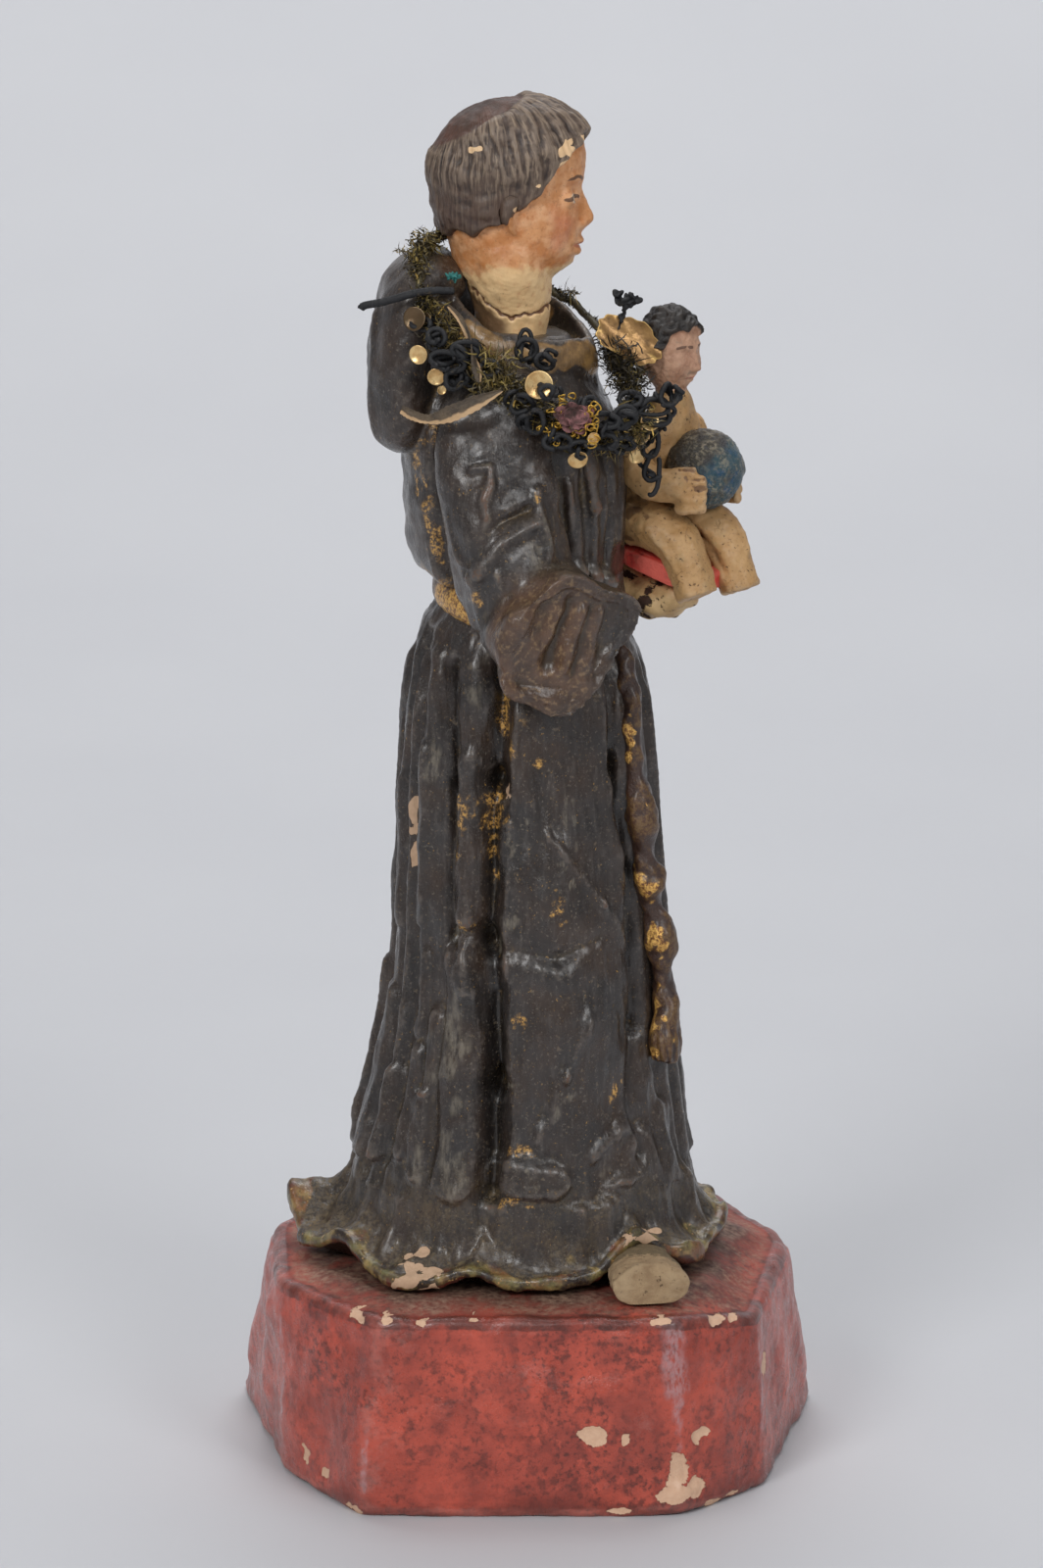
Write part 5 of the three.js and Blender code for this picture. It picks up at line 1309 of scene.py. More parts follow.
head = joined_skins("head", [
    skull_rings(200, 110),
    limb_rings(NECK, 120, 70, (1, 0, 0)),
    *(
        ball_rings((7.9, side * EYE_SPACING, EYE_HEIGHT), (EYEBALL, EYEBALL, EYEBALL), 40, 24)
        for side in (-1, 1)
    ),
    *(limb_rings([[x, y * side, z, a, b] for x, y, z, a, b in EAR], 24, 24, (1, 0, 0)) for side in (-1, 1)),
])
grow_together(head, 0.32, 2)
place = corners_of(head)
swell = np.zeros(len(place))
for x, y, z, wide, across, high, rise in FACE_SWELLS:
    for side in ((-1, 1) if y else (1,)):
        offset = (place - [x, y * side, z]) / [wide, across, high]
        swell += rise * np.exp(-((offset**2).sum(1)))
press(head, swell)
lids = [
    [[[x, y * side, z] for x, y, z in lid], wide, rise]
    for side in (-1, 1) for lid, wide, rise in ((UPPER_LID, 0.6, 0.55), (LOWER_LID, 0.5, 0.3))
]
carve(head, lids)
place = corners_of(head)
above = hair_above(place) + 0.5 * unevenness(place, 5, 61)
bald = crown_share(place)
strand_turn = np.arctan2(place[:, 1], place[:, 0] - CROWN_X)
lean = 0.05 * np.sin(3 * strand_turn) + 0.035 * unevenness(place, 9, 62)
comb = 0.6 * np.sin(58 * (strand_turn + lean) + 0.1 * place[:, 2]) + 0.5 * np.sin(31 * (strand_turn + lean) + 1)
comb = (comb + 0.35 * np.sin(17 * (strand_turn + lean) + 2)) * mix(
    0.35, 1.1, ease(258, 268, place[:, 2] + 2 * unevenness(place, 7, 67))
)
lock = unevenness(place, 8, 63) * 0.2 + unevenness(place, 3.4, 68) * 0.1 * (1 - ease(262, 272, place[:, 2]))
ear_gap = 1 - bell(np.linalg.norm((place * [1, 0, 1]) - [-2.8, 0, 258.5], axis=1), 2.6)
hair = ease(-0.45, 0.75, above) * (1 - 0.55 * bald)
grow = hair * (HAIR_THICKNESS - 0.4 + 0.17 * comb * (1 - bald) + lock)
press(head, grow * (0.3 + 0.7 * ear_gap))
place = corners_of(head)
crack_height = between(NECK_CRACK, place[:, 0])[:, 0] + 0.3 * unevenness(place, 2.5, 64)
crack = bell(place[:, 2] - crack_height, 0.4) * (np.hypot(place[:, 0] + 2, place[:, 1]) < 13)
soaked = ease(0.3, 1.4, crack_height - place[:, 2]) * (1 - ease(-5, -2, place[:, 0]))
press(head, 0.05 * unevenness(place, 3, 65) + 0.02 * unevenness(place, 1.2, 66) - 0.8 * crack)
place = corners_of(head)
mark_relief(head, 0.7)
mark(head, "hair", ease(-0.4, 0.1, above))
mark(head, "crown", bald)
mark(head, "crack", crack)
mark(head, "soaked", soaked)
mark_strokes(head, "bare", HEAD_CHIPS, 300)
brows = [
    [*a[:1], a[1] * s, a[2], *b[:1], b[1] * s, b[2], 0.42] for s in (-1, 1) for a, b in zip(BROW, BROW[1:])
]
whites = [[10.4, s * 3.5, 261.1, 9.8, s * 5.7, 261, 0.9] for s in (-1, 1)]
mark_strokes(head, "whites", whites, 330, 0.1, FLAT_ON_FACE)
lines = [
    [a[0], a[1] * s, a[2] + drop, b[0], b[1] * s, b[2] + drop, wide]
    for s in (-1, 1) for lid, drop, wide in ((UPPER_LID, -0.35, 0.34), (LOWER_LID, 0.2, 0.16)) for a,
    b in zip(lid, lid[1:])
]
irises = [[10.4, s * 4.6, 261.4, 10.4, s * 4.6, 260.9, 0.95] for s in (-1, 1)]
mark_strokes(head, "dark lines", brows + lines + irises, 320, 0.12, FLAT_ON_FACE)
lips = [[12.6, s * 0.2, z, 12, s * 2.4, 251, 0.6] for s in (-1, 1) for z in (251.6, 250.4)]
mark_strokes(head, "lips", lips, 340, 0.15, FLAT_ON_FACE)
cheeks = [[9, s * 7, 256, 9.4, s * 6.6, 255, 4.2] for s in (-1, 1)]
mark_strokes(head, "cheeks", cheeks, 360, 0.2)

flesh_paint, tree, shader = new_paint("flesh and hair paint of the head")
high_up = node(tree, "SeparateXYZ", {0: node(tree, "TexCoord").outputs["Object"]}).outputs[2]
cream = coat(tree, patchy(tree, 4.0, 0.4, 0.2), colour(248, 210, 156), colour(230, 188, 134))
cream = coat(tree, patchy(tree, 2.0, 0.14, 0.1), cream, colour(196, 130, 96), 0.5)
warm = coat(tree, patchy(tree, 5.0, 0.45, 0.18), colour(222, 160, 108), colour(196, 128, 74))
warm = coat(tree, patchy(tree, 3.6, 0.42, 0.14), warm, colour(240, 190, 146), 0.6)
warm = coat(tree, patchy(tree, 2.2, 0.24, 0.1), warm, colour(198, 118, 58), 0.6)
warm = coat(tree, patchy(tree, 6.5, 0.34, 0.1), warm, colour(184, 116, 58), 0.5)
warm = coat(tree, patchy(tree, 1.2, 0.22, 0.1), warm, colour(160, 94, 52), 0.45)
ground = uneven(tree, high_up, 5, 0.009)
base = coat(tree, band(tree, ground, 0.2505, 0.2525), cream, warm)
blush = band(tree, calc(tree, "ADD", read_mark(tree, "cheeks"), grain(tree, 4)), 1.7, 0.7)
base = coat(tree, blush, base, colour(200, 112, 88), 0.45)
red = band(tree, uneven(tree, read_mark(tree, "lips"), 1, 0.5), 1.35, 1.0)
base = coat(tree, red, base, colour(172, 84, 66), 0.6)
base = coat(tree, band(tree, read_mark(tree, "whites"), 1.1, 0.9), base, colour(226, 206, 178), 0.7)
line = band(tree, uneven(tree, read_mark(tree, "dark lines"), 0.7, 0.6), 1.4, 1.1)
base = coat(tree, line, base, colour(74, 52, 40), 0.85)
grimy = patchy(tree, 0.9, 0.07, 0.04)
base = coat(tree, grimy, base, colour(96, 62, 40), 0.5)
crown = coat(tree, patchy(tree, 4.0, 0.5, 0.2), colour(96, 64, 50), colour(70, 52, 43))
strands = coat(tree, grain(tree, 3), colour(58, 45, 38), colour(112, 92, 77))
reddish = band(tree, uneven(tree, high_up, 4, 0.012), 0.272, 0.262)
strands = coat(tree, reddish, strands, colour(80, 56, 46), 0.7)
stained = patchy(tree, 3.0, 0.36, 0.12)
strands = coat(tree, stained, strands, colour(54, 44, 42), 0.55)
from_crown = node(
    tree, "VectorMath", {0: node(tree, "TexCoord").outputs["Object"], 1: (-CROWN_X * MM, 0, 0)}, operation="ADD"
)
ray = node(tree, "VectorMath", {0: from_crown.outputs[0], 1: (1, 1, 0)}, operation="MULTIPLY").outputs[0]
ray = node(tree, "VectorMath", {0: ray}, operation="NORMALIZE").outputs[0]
along = node(tree, "CombineXYZ", {"Z": times(tree, high_up, 9.0)}).outputs[0]
ray = node(tree, "VectorMath", {0: ray, 1: along}, operation="ADD").outputs[0]
combed = node(tree, "TexNoise", {"Vector": ray, "Scale": 26.0, "Detail": 4.0, "Roughness": 0.6}).outputs[0]
clear = level(tree, band(tree, high_up, 0.26, 0.27), 0.3, 1.25)
light, dark = band(tree, combed, 0.48, 0.66), band(tree, combed, 0.46, 0.34)
strands = coat(tree, times(tree, light, clear), strands, colour(166, 146, 124), 0.6)
strands = coat(tree, times(tree, dark, clear), strands, colour(38, 29, 25), 0.65)
lit = use(tree, rubbed, start=0.0, soft=0.14, size=1.0, broken=0.2)
strands = coat(tree, times(tree, lit, clear), strands, colour(140, 122, 105), 0.5)
# The hollows between the strands are painted darker: painted shade.
sunk = use(tree, shade_and_grime, start=0.02, soft=0.14, size=1.0, broken=0.15)
strands = coat(tree, sunk, strands, colour(44, 34, 30), 0.7)
on_hair = band(tree, uneven(tree, read_mark(tree, "hair"), 1.4, 0.5), 0.55, 0.9)
on_crown = band(tree, read_mark(tree, "crown"), 0.4, 0.7)
base = coat(tree, on_hair, base, coat(tree, on_crown, strands, crown))
glue = band(tree, uneven(tree, read_mark(tree, "crack"), 1.6, 0.5), 0.5, 0.75)
umber = coat(tree, grain(tree, 1.6), colour(72, 48, 34), colour(126, 92, 62))
base = coat(tree, read_mark(tree, "soaked"), base, umber, 0.9)
base = coat(tree, glue, base, colour(96, 50, 34), 0.85)
chip = use(tree, chipped, wander=0.5, size=0.8)
base = coat(tree, chip, base, colour(236, 198, 152))
rough = level(tree, patchy(tree, 2.5, 0.5, 0.2), 0.36, 0.55)
height = level(tree, on_hair, grain(tree, 1.5, 5.0), times(tree, combed, 2.5))
fill_in(tree, shader, base, rough, height, 0.12)
head.data.materials.append(flesh_paint)
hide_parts("saint")
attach(head, "root")

# Christ child
# A small seated child carved in wood, painted cream over a ground that has crackled and rubbed brown.
# It sits on the saint's left hand on a red book and holds a blue globe, and is turned to the saint's right.
CHILD_TURN = -38
CHILD_SEAT = np.array([24.5, 9, 190])
CHILD_TORSO = [  # forward, to the child's left, up, radius across, radius deep
    [1, 0, -1, 8, 7], [1.5, 0, 6, 8.4, 7], [4, 0, 15, 7.4, 5.8], [5.6, 0, 22, 8.2, 5.4], [6.2, 0, 27, 5.4, 4],
    [6.6, 0, 32, 3.4, 3.4],
]
CHILD_ARM = [
    [5.4, 7.4, 24, 3.8, 3.8], [4, 9.6, 17, 3.6, 3.6], [7.6, 10, 13.4, 3.6, 3.6], [12, 8.8, 12.8, 3.2, 3.4],
    [16, 6.4, 12.8, 3, 4]
]
CHILD_LEG = [
    [0, 4.6, 4, 6, 5.6], [6.4, 5, 3.2, 5.5, 5.1], [12, 5.2, 0.2, 4.8, 4.9], [15, 5.2, -5, 4.3, 4.3],
    [17.2, 5.3, -10.2, 4.2, 4.2]
]
FAR_LEG_AHEAD = 3
GLOBE_PLACE, GLOBE_RADIUS = [13.8, 1, 14.8], 8.3
GLOBE_BROWN = 0.1735  # height less distance ahead, in metres, above which the ball is worn brown
CHILD_HEAD_PLACE, CHILD_HEAD = [6, 0, 38.2], [6.2, 5.6, 8.4]
CHILD_HAIRLINE = [[-9, -5], [-6, -4.6], [-2.5, -3.4], [0.6, 0], [3, 3.4], [5, 4.8], [8, 5]]
CHILD_FACE = [  # forward, to both sides, up from the head's middle; spreads; rise
    [6, 0, -1.4, 2, 0.8, 2.1, 0.8], [6.3, 0, -2.6, 2, 0.9, 0.9, 1.1], [6, 2.2, 0.2, 2, 1.4, 1, -0.6],
    [6, 2.3, 1.7, 2, 1.8, 0.6, 0.35], [5.6, 3, -3, 2.4, 1.8, 1.9, 0.55], [5.8, 0, -4.6, 2, 1.5, 0.4, 0.45],
    [5.8, 0, -5.5, 2, 1.3, 0.4, 0.4], [5.8, 0, -5.05, 2, 1.6, 0.2, -0.35], [5.4, 0, -7, 2, 1.5, 1.2, 0.5],
    [-0.5, 6, -1.8, 1.1, 1.4, 1.7, 0.8],
]
BOOK_SIZE, BOOK_PLACE, BOOK_TILT = [20, 17, 4.2], [8, 0.5, -5.4], 14
LEFT_HAND = [
    [17, 13, 183, 5, 4.5], [23, 8, 178.4, 5.6, 4.6], [28.5, 4, 177.4, 5.4, 4], [34.5, 1.8, 179.6, 3.8, 2.2]
]


def on_child(places):
    """Places given as forward, to the child's left and up from its seat, in the figure's frame."""
    places = np.asarray(places, float)
    c, s = np.cos(np.radians(CHILD_TURN)), np.sin(np.radians(CHILD_TURN))
    forward, left, up = np.moveaxis(places[..., :3], -1, 0)
    return np.stack([forward * c - left * s, forward * s + left * c, up], -1) + CHILD_SEAT


def child_limb(stations, side=1, ahead=0, **shape):
    """A limb of the child from stations on its own axes, on one side or the other."""
    rows = np.array(stations, float)
    rows[:, 1] *= side
    rows[1:, 0] += ahead
    return limb_rings(np.column_stack([on_child(rows), rows[:, 3:]]), 60, 60, **shape)


def fingers(side):
    """Four fingers laid side by side over the globe's flank, and a thumb above them."""
    for number in range(5):
        up = 17 - 1.9 * number if number else 16.6
        start = [13.4, 8.1 * side, up - 1.4]
        for_globe = np.array([[0, 0], [2.4, -0.3], [4.4, -1.4], [5.8, -3]]) * ([1, 1] if number else [0.7, 0.7])
        rows = [
            [start[0] + a, start[1] + b * side, start[2] + 0.2 * i, 1.15, 1.2] for i,
            (a, b) in enumerate(for_globe)
        ]
        yield child_limb(rows, ref=(0, 0, 1))


forward_way = on_child([1, 0, 0]) - CHILD_SEAT
child_body = joined_skins("child_body", [
    child_limb(CHILD_TORSO, ref=forward_way),
    *(child_limb(CHILD_ARM, side, ref=(0, 0, 1), ends=(2, 2.4)) for side in (-1, 1)),
    child_limb(CHILD_LEG, -1, ref=(0, 0, 1), ends=(2, 9), share=0.08),
    child_limb(CHILD_LEG, 1, FAR_LEG_AHEAD, ref=(0, 0, 1), ends=(2, 9), share=0.08),
    *fingers(-1), *fingers(1),
])
grow_together(child_body, 0.37, 2)
gap = lambda *points: on_child(points).tolist()
carve(child_body, [
    [gap([14.5, -8.6, 16.3], [18.6, -7.4, 16.4], [20.4, -5, 16.6]), 0.35, -0.6],
    [gap([14.5, -8.8, 14.2], [18.8, -7.6, 14.4], [20.6, -5, 14.6]), 0.35, -0.6],
    [gap([14.5, -8.6, 12], [18.6, -7.4, 12.3], [20.4, -5, 12.6]), 0.35, -0.6],
    [gap([1, 0, 8], [8, 0, 4.5], [14, 0, 0], [19, 0, -6]), 1.2, -1.2],
    [gap([8, -9.6, 3.5], [12, -10.6, 0], [15.5, -10.6, -6]), 1, 0.6],
    [gap([9, -5, 6.6], [14, -6, 2.6], [18.5, -6.5, -3.5]), 0.9, 0.5],
    [gap([9, 5, 7], [16, 6, 4], [21, 6, -2]), 1, 0.5],
    [gap([2, -8, 9], [6, -8.6, 9], [10, -8, 9.4]), 1, -0.7],
])
place = corners_of(child_body)
press(
    child_body,
    0.12 * unevenness(place, 6, 71) + 0.05 * unevenness(place, 2.4, 72) + 0.025 * unevenness(place, 1.1, 73)
)
mark_relief(child_body, 0.8)
scraped = [
    [*on_child([15, -8.8, up]), *on_child([20.6, -5.4, up]), 0.5] for up in (16.3, 14.4, 12.6)
] + [
    [*on_child([3, -11, 7]), *on_child([9, -10, 6.6]), 1.4],
    [*on_child([3, -10.4, 1]), *on_child([4.4, -10.6, 0.4]), 1.1],
]
mark_strokes(child_body, "dark lines", scraped, 440, 0.5)

skull = ball_rings(on_child(CHILD_HEAD_PLACE), CHILD_HEAD, 120, 90, CHILD_TURN)
neck = [[6.4, 0, 27, 3.6, 3.6], [6.2, 0, 31, 3.2, 3.2], [5.6, 0, 36, 3.6, 3.6]]
child_head = joined_skins("child_head", [skull, child_limb(neck, ref=forward_way)])
grow_together(child_head, 0.26, 2)


def from_child_head(points):
    """Points as forward, left and up from the middle of the child's head."""
    away = points - on_child(CHILD_HEAD_PLACE)
    c, s = np.cos(np.radians(CHILD_TURN)), np.sin(np.radians(CHILD_TURN))
    return np.stack([away[:, 0] * c + away[:, 1] * s, away[:, 1] * c - away[:, 0] * s, away[:, 2]], -1)


local = from_child_head(corners_of(child_head))
swell = np.zeros(len(local))
for ahead, aside, up, deep, wide, high, rise in CHILD_FACE:
    for side in ((-1, 1) if aside else (1,)):
        swell += rise * np.exp(-(((local - [ahead, aside * side, up]) / [deep, wide, high]) ** 2).sum(1))
above = local[:, 2] - between(CHILD_HAIRLINE, local[:, 0])[:, 0] + 0.5 * unevenness(local, 2.6, 81)
hair = ease(-0.3, 0.5, above)
locks = 0.2 * unevenness(local * [0.6, 1, 1], 2.2, 82) + 0.1 * unevenness(local, 1.2, 83)
press(child_head, swell * (1 - hair) + hair * (1.2 + locks) + 0.05 * unevenness(local, 1.2, 84))
mark_relief(child_head, 0.6)
mark(child_head, "hair", hair)
head_middle = np.array(CHILD_HEAD_PLACE)
lines = []
for side in (-1, 1):
    brow = [
        head_middle + [6.2, 0.9 * side, 1.5], head_middle + [5.9, 2.4 * side, 1.9],
        head_middle + [4.6, 3.8 * side, 1.5]
    ]
    lid = [
        head_middle + [6, 1.2 * side, 0.3], head_middle + [5.7, 2.2 * side, 0.6],
        head_middle + [5, 3.3 * side, 0.3]
    ]
    for run, radius in ((brow, 0.3), (lid, 0.24)):
        lines += [[*on_child(a), *on_child(b), radius] for a, b in zip(run, run[1:])]
    lines.append(
        [
            *on_child(head_middle + [5.7, 2.3 * side, 0.1]), *on_child(head_middle + [5.7, 2.3 * side, -0.1]),
            0.45
        ]
    )
mark_strokes(child_head, "dark lines", lines, 400, 0.12)
mouth = [
    [*on_child(head_middle + [6, 0, -5]), *on_child(head_middle + [5.4, 1.4 * s, -5]), 0.5] for s in (-1, 1)
]
mark_strokes(child_head, "lips", mouth, 420, 0.15)

# Fine cracks: the edges between cells of paint, broken up by noise.
cracks, given, result = new_group("fine cracks", "Mask", size=2.4, width=0.03, share=0.6)
place_in = node(cracks, "TexCoord").outputs["Object"]
bent = node(
    cracks, "VectorMath",
    {0: node(cracks, "TexNoise", {"Vector": place_in, "Scale": 600.0}).outputs[1], 1: (0.0012,) * 3},
    operation="MULTIPLY"
)
bent = node(cracks, "VectorMath", {0: place_in, 1: bent.outputs[0]}, operation="ADD").outputs[0]
cells = node(
    cracks, "TexVoronoi", {"Vector": bent, "Scale": calc(cracks, "DIVIDE", 1 / MM, given["size"])},
    feature="DISTANCE_TO_EDGE"
)
edge = band(cracks, cells.outputs["Distance"], given["width"], 0.0)
there = use(cracks, patches, size=6.0, share=given["share"], soft=0.1)
cracks.links.new(calc(cracks, "MULTIPLY", edge, there), result)

cream_paint, tree, shader = new_paint("crackled cream paint")
base = coat(tree, patchy(tree, 5.0, 0.5, 0.2), colour(202, 162, 112), colour(178, 136, 86))
base = coat(tree, patchy(tree, 2.4, 0.3, 0.14), base, colour(184, 144, 98), 0.5)
green = patchy(tree, 3.4, 0.2, 0.14)
base = coat(tree, green, base, colour(152, 140, 104), 0.35)
# The hollows of the body are painted dark brown: painted shade.
sunk = use(tree, shade_and_grime, start=0.06, soft=0.4, size=1.4, broken=0.5)
base = coat(tree, sunk, base, colour(84, 56, 34), 0.85)
soil = times(tree, patchy(tree, 0.6, 0.2, 0.06), patchy(tree, 5.0, 0.5, 0.2))
base = coat(tree, soil, base, colour(100, 70, 42), 0.8)
pits = calc(tree, "MAXIMUM", patchy(tree, 0.8, 0.08, 0.03), patchy(tree, 1.7, 0.05, 0.02))
base = coat(tree, pits, base, colour(62, 42, 30), 0.8)
wood = band(tree, calc(tree, "ADD", read_mark(tree, "dark lines"), grain(tree, 0.8)), 1.7, 1.2)
base = coat(tree, wood, base, colour(92, 60, 42), 0.7)
split = use(tree, cracks, size=3.4, width=0.02, share=0.25)
base = coat(tree, split, base, colour(96, 66, 42), 0.4)
ridge = use(tree, rubbed, start=0.12, soft=0.25, size=1.0, broken=0.6)
base = coat(tree, ridge, base, colour(204, 174, 138), 0.4)
height = calc(tree, "SUBTRACT", times(tree, grain(tree, 1.6, 5.0), 0.6), calc(tree, "ADD", split, pits))
rough = level(tree, patchy(tree, 3.0, 0.5, 0.2), 0.42, 0.62)
fill_in(tree, shader, base, rough, height, 0.12)
child_body.data.materials.append(cream_paint)

child_face, tree, shader = new_paint("child's face and hair paint")
base = coat(tree, patchy(tree, 3.0, 0.45, 0.2), colour(198, 156, 128), colour(166, 122, 96))
base = coat(tree, patchy(tree, 1.6, 0.2, 0.1), base, colour(132, 122, 104), 0.5)
red = band(tree, uneven(tree, read_mark(tree, "lips"), 1, 0.5), 1.35, 0.95)
base = coat(tree, red, base, colour(166, 84, 72), 0.6)
line = band(tree, uneven(tree, read_mark(tree, "dark lines"), 0.7, 0.6), 1.4, 1.05)
base = coat(tree, line, base, colour(84, 58, 44), 0.8)
split = use(tree, cracks, size=2.0, width=0.035, share=0.4)
base = coat(tree, split, base, colour(104, 70, 54), 0.6)
brown = coat(tree, grain(tree, 1.8), colour(17, 13, 11), colour(34, 26, 21))
lit = use(tree, rubbed, start=0.03, soft=0.2, size=0.8, broken=0.3)
brown = coat(tree, lit, brown, colour(72, 60, 48), 0.2)
on_hair = band(tree, uneven(tree, read_mark(tree, "hair"), 1.0, 0.5), 0.55, 0.9)
base = coat(tree, on_hair, base, brown)
fill_in(
    tree, shader, base, level(tree, on_hair, 0.5, 0.42),
    calc(tree, "ADD", grain(tree, 1.0, 6.0), grain(tree, 0.4)), 0.14
)
child_head.data.materials.append(child_face)

# The globe: a turned ball, blue-green over brown, worn on the side towards the child.
globe = closed_skin("child_globe", ball_rings(on_child(GLOBE_PLACE), [GLOBE_RADIUS - 0.1] * 3, 110, 66))
place = corners_of(globe)
press(globe, 0.13 * unevenness(place, 5, 91) + 0.05 * unevenness(place, 1.6, 92))
mark_relief(globe, 0.8)
blue_paint, tree, shader = new_paint("worn blue-green paint")
base = coat(tree, patchy(tree, 4.0, 0.5, 0.2), colour(38, 76, 92), colour(66, 86, 86))
spot = patchy(tree, 3.0, 0.22, 0.1)
base = coat(tree, spot, base, colour(26, 78, 120), 0.8)
worn = patchy(tree, 3.4, 0.3, 0.1)
base = coat(tree, worn, base, colour(84, 68, 46), 0.7)
towards = node(tree, "SeparateXYZ", {0: node(tree, "TexCoord").outputs["Object"]})
near_child = calc(tree, "SUBTRACT", towards.outputs[2], towards.outputs[0])
near_child = uneven(tree, near_child, 3.0, 0.01)
near_child = band(tree, near_child, GLOBE_BROWN, GLOBE_BROWN + 0.004)
base = coat(tree, near_child, base, colour(66, 54, 40), 0.8)
pale = times(tree, patchy(tree, 0.8, 0.46, 0.08), patchy(tree, 4.0, 0.5, 0.14))
base = coat(tree, pale, base, colour(168, 156, 132), 0.7)
rough = level(tree, worn, 0.2, 0.45)
fill_in(tree, shader, base, rough, calc(tree, "ADD", grain(tree, 1.6, 6.0), grain(tree, 0.4)), 0.4)
globe.data.materials.append(blue_paint)

# The book: a closed block with rounded edges under the child's thighs, red with darker spots and paler rubbed
# ridges.
def book_rings(around, levels):
    """Rings of a rounded block: a super-ellipse in the flat and in the height, |x|^8 + |y|^8 + |z|^8 = 1."""
    rise = (np.arange(levels) + 0.5)[:, None] * np.pi / levels - np.pi / 2
    angle = np.arange(around)[None, :] * 2 * np.pi / around
    signed = lambda value: np.sign(value) * np.abs(value) ** 0.25
    flat = [signed(np.cos(rise)) * signed(np.cos(angle)), signed(np.cos(rise)) * signed(np.sin(angle))]
    x, y, z = (half / 2 * part for half, part in zip(BOOK_SIZE, [*flat, signed(np.sin(rise)) + 0 * angle]))
    c, s = np.cos(np.radians(BOOK_TILT)), np.sin(np.radians(BOOK_TILT))
    return on_child(np.stack([x * c + z * s, y, z * c - x * s], -1) + BOOK_PLACE)


book = closed_skin("child_book", book_rings(140, 60))
place = corners_of(book)
press(book, 0.15 * unevenness(place, 5, 94) + 0.06 * unevenness(place, 1.4, 95))
mark_relief(book, 0.8)
red_paint, tree, shader = new_paint("chalky red paint")
base = coat(tree, patchy(tree, 3.0, 0.5, 0.2), colour(240, 94, 80), colour(216, 68, 58))
base = coat(tree, patchy(tree, 1.5, 0.2, 0.08), base, colour(104, 38, 30), 0.7)
ridge = use(tree, rubbed, start=0.05, soft=0.2, size=1.0, broken=0.4)
base = coat(tree, ridge, base, colour(220, 112, 96), 0.6)
fill_in(
    tree, shader, base, level(tree, grain(tree, 2), 0.5, 0.75),
    calc(tree, "ADD", grain(tree, 1.2, 6.0), grain(tree, 0.4)), 0.2
)
book.data.materials.append(red_paint)

for piece in (child_body, child_head, globe, book):
    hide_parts("christ_child")
    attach(piece, "root")

# The saint's left hand: a plain cream block that comes out of the sleeve under the book, with its paint flaked
# away below.
left_hand = joined_skins("left_hand", [limb_rings(LEFT_HAND, 90, 70, (0, 0, 1), (2, 5))])
grow_together(left_hand, 0.4, 2)
place = corners_of(left_hand)
press(left_hand, 0.2 * unevenness(place, 6, 96) + 0.06 * unevenness(place, 2, 97))
mark_relief(left_hand, 0.8)
flaked, tree, shader = new_paint("flaked cream paint over dark wood")
base = coat(tree, patchy(tree, 4.0, 0.5, 0.2), colour(222, 188, 136), colour(190, 154, 104))
lost = patchy(tree, 4.2, 0.34, 0.02)
base = coat(tree, lost, base, coat(tree, grain(tree, 1.2), colour(38, 26, 20), colour(78, 50, 34)))
height = calc(tree, "SUBTRACT", grain(tree, 1.0, 6.0), times(tree, lost, 1.4))
fill_in(tree, shader, base, level(tree, lost, 0.45, 0.8), height, 0.3)
left_hand.data.materials.append(flaked)
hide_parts("saint")
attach(left_hand, "root")

# Garland
# A twist of moss-like metal chenille that hangs loose round the neck over the hood, the right shoulder and
# the breast. Tied into it are curls of silk-covered wire, gold wire, sequins, a gilt leaf, ribbon and a flower.
GARLAND = np.array([
    [-16.5, 1, 252.6], [-21, -7, 250.2], [-20.5, -15, 243.5], [-16, -20.5, 235.5], [-9, -24.5, 231],
    [-2, -29, 226.5], [6.5, -29.5, 220.5], [14, -25, 216], [20.5, -17.5, 216], [22, -10, 221.5],
    [18.6, -3, 228.6], [17.5, 4, 229.8], [15, 11, 231.8], [9, 17, 236.4], [-1, 19, 242.4], [-11, 12.4, 249.6],
])
TWIST_RADIUS, TUFTS = 0.7, 19000
FULLNESS = [  # by point of the ring: how long the moss is, how far its roots stray, in mm, and how blackened it is
    [0, 1.2, 1.0, 0.3], [1, 1.5, 2.6, 0], [2, 1.5, 1.6, 0.5], [3, 2.4, 2.8, 0.1], [4.5, 2.6, 3.4, 0],
    [6, 2.2, 3, 0.5],
    [7.5, 2.4, 3, 0.2], [8.6, 2.6, 3, 0.1], [9.4, 2.6, 3, 0.8], [10.5, 2.4, 2.6, 0.9], [11.4, 1.6, 1.2, 0.9],
    [12.5, 1, 0.6, 0.9], [14, 0.9, 0.5, 0.8], [16, 1.6, 0.8, 0.3],
]
LOOSE_ENDS = [[[7.6, 3, 241], [11, 2.4, 240.4]], [[-25.6, -8, 251], [-22.6, -8, 250]]]


def rounded_route(points, t, closed=True):
    """A smooth curve through points (Catmull-Rom): t runs from 0 at the first one to the number of points."""
    count = len(points)
    i = np.floor(t).astype(int)
    f = (t - i)[..., None]
    pick = (lambda k: points[k % count]) if closed else (lambda k: points[np.clip(k, 0, count - 1)])
    a, b, c, d = pick(i - 1), pick(i), pick(i + 1), pick(i + 2)
    return 0.5 * (2 * b + (c - a) * f + (2 * a - 5 * b + 4 * c - d) * f**2 + (3 * b - a - 3 * c + d) * f**3)


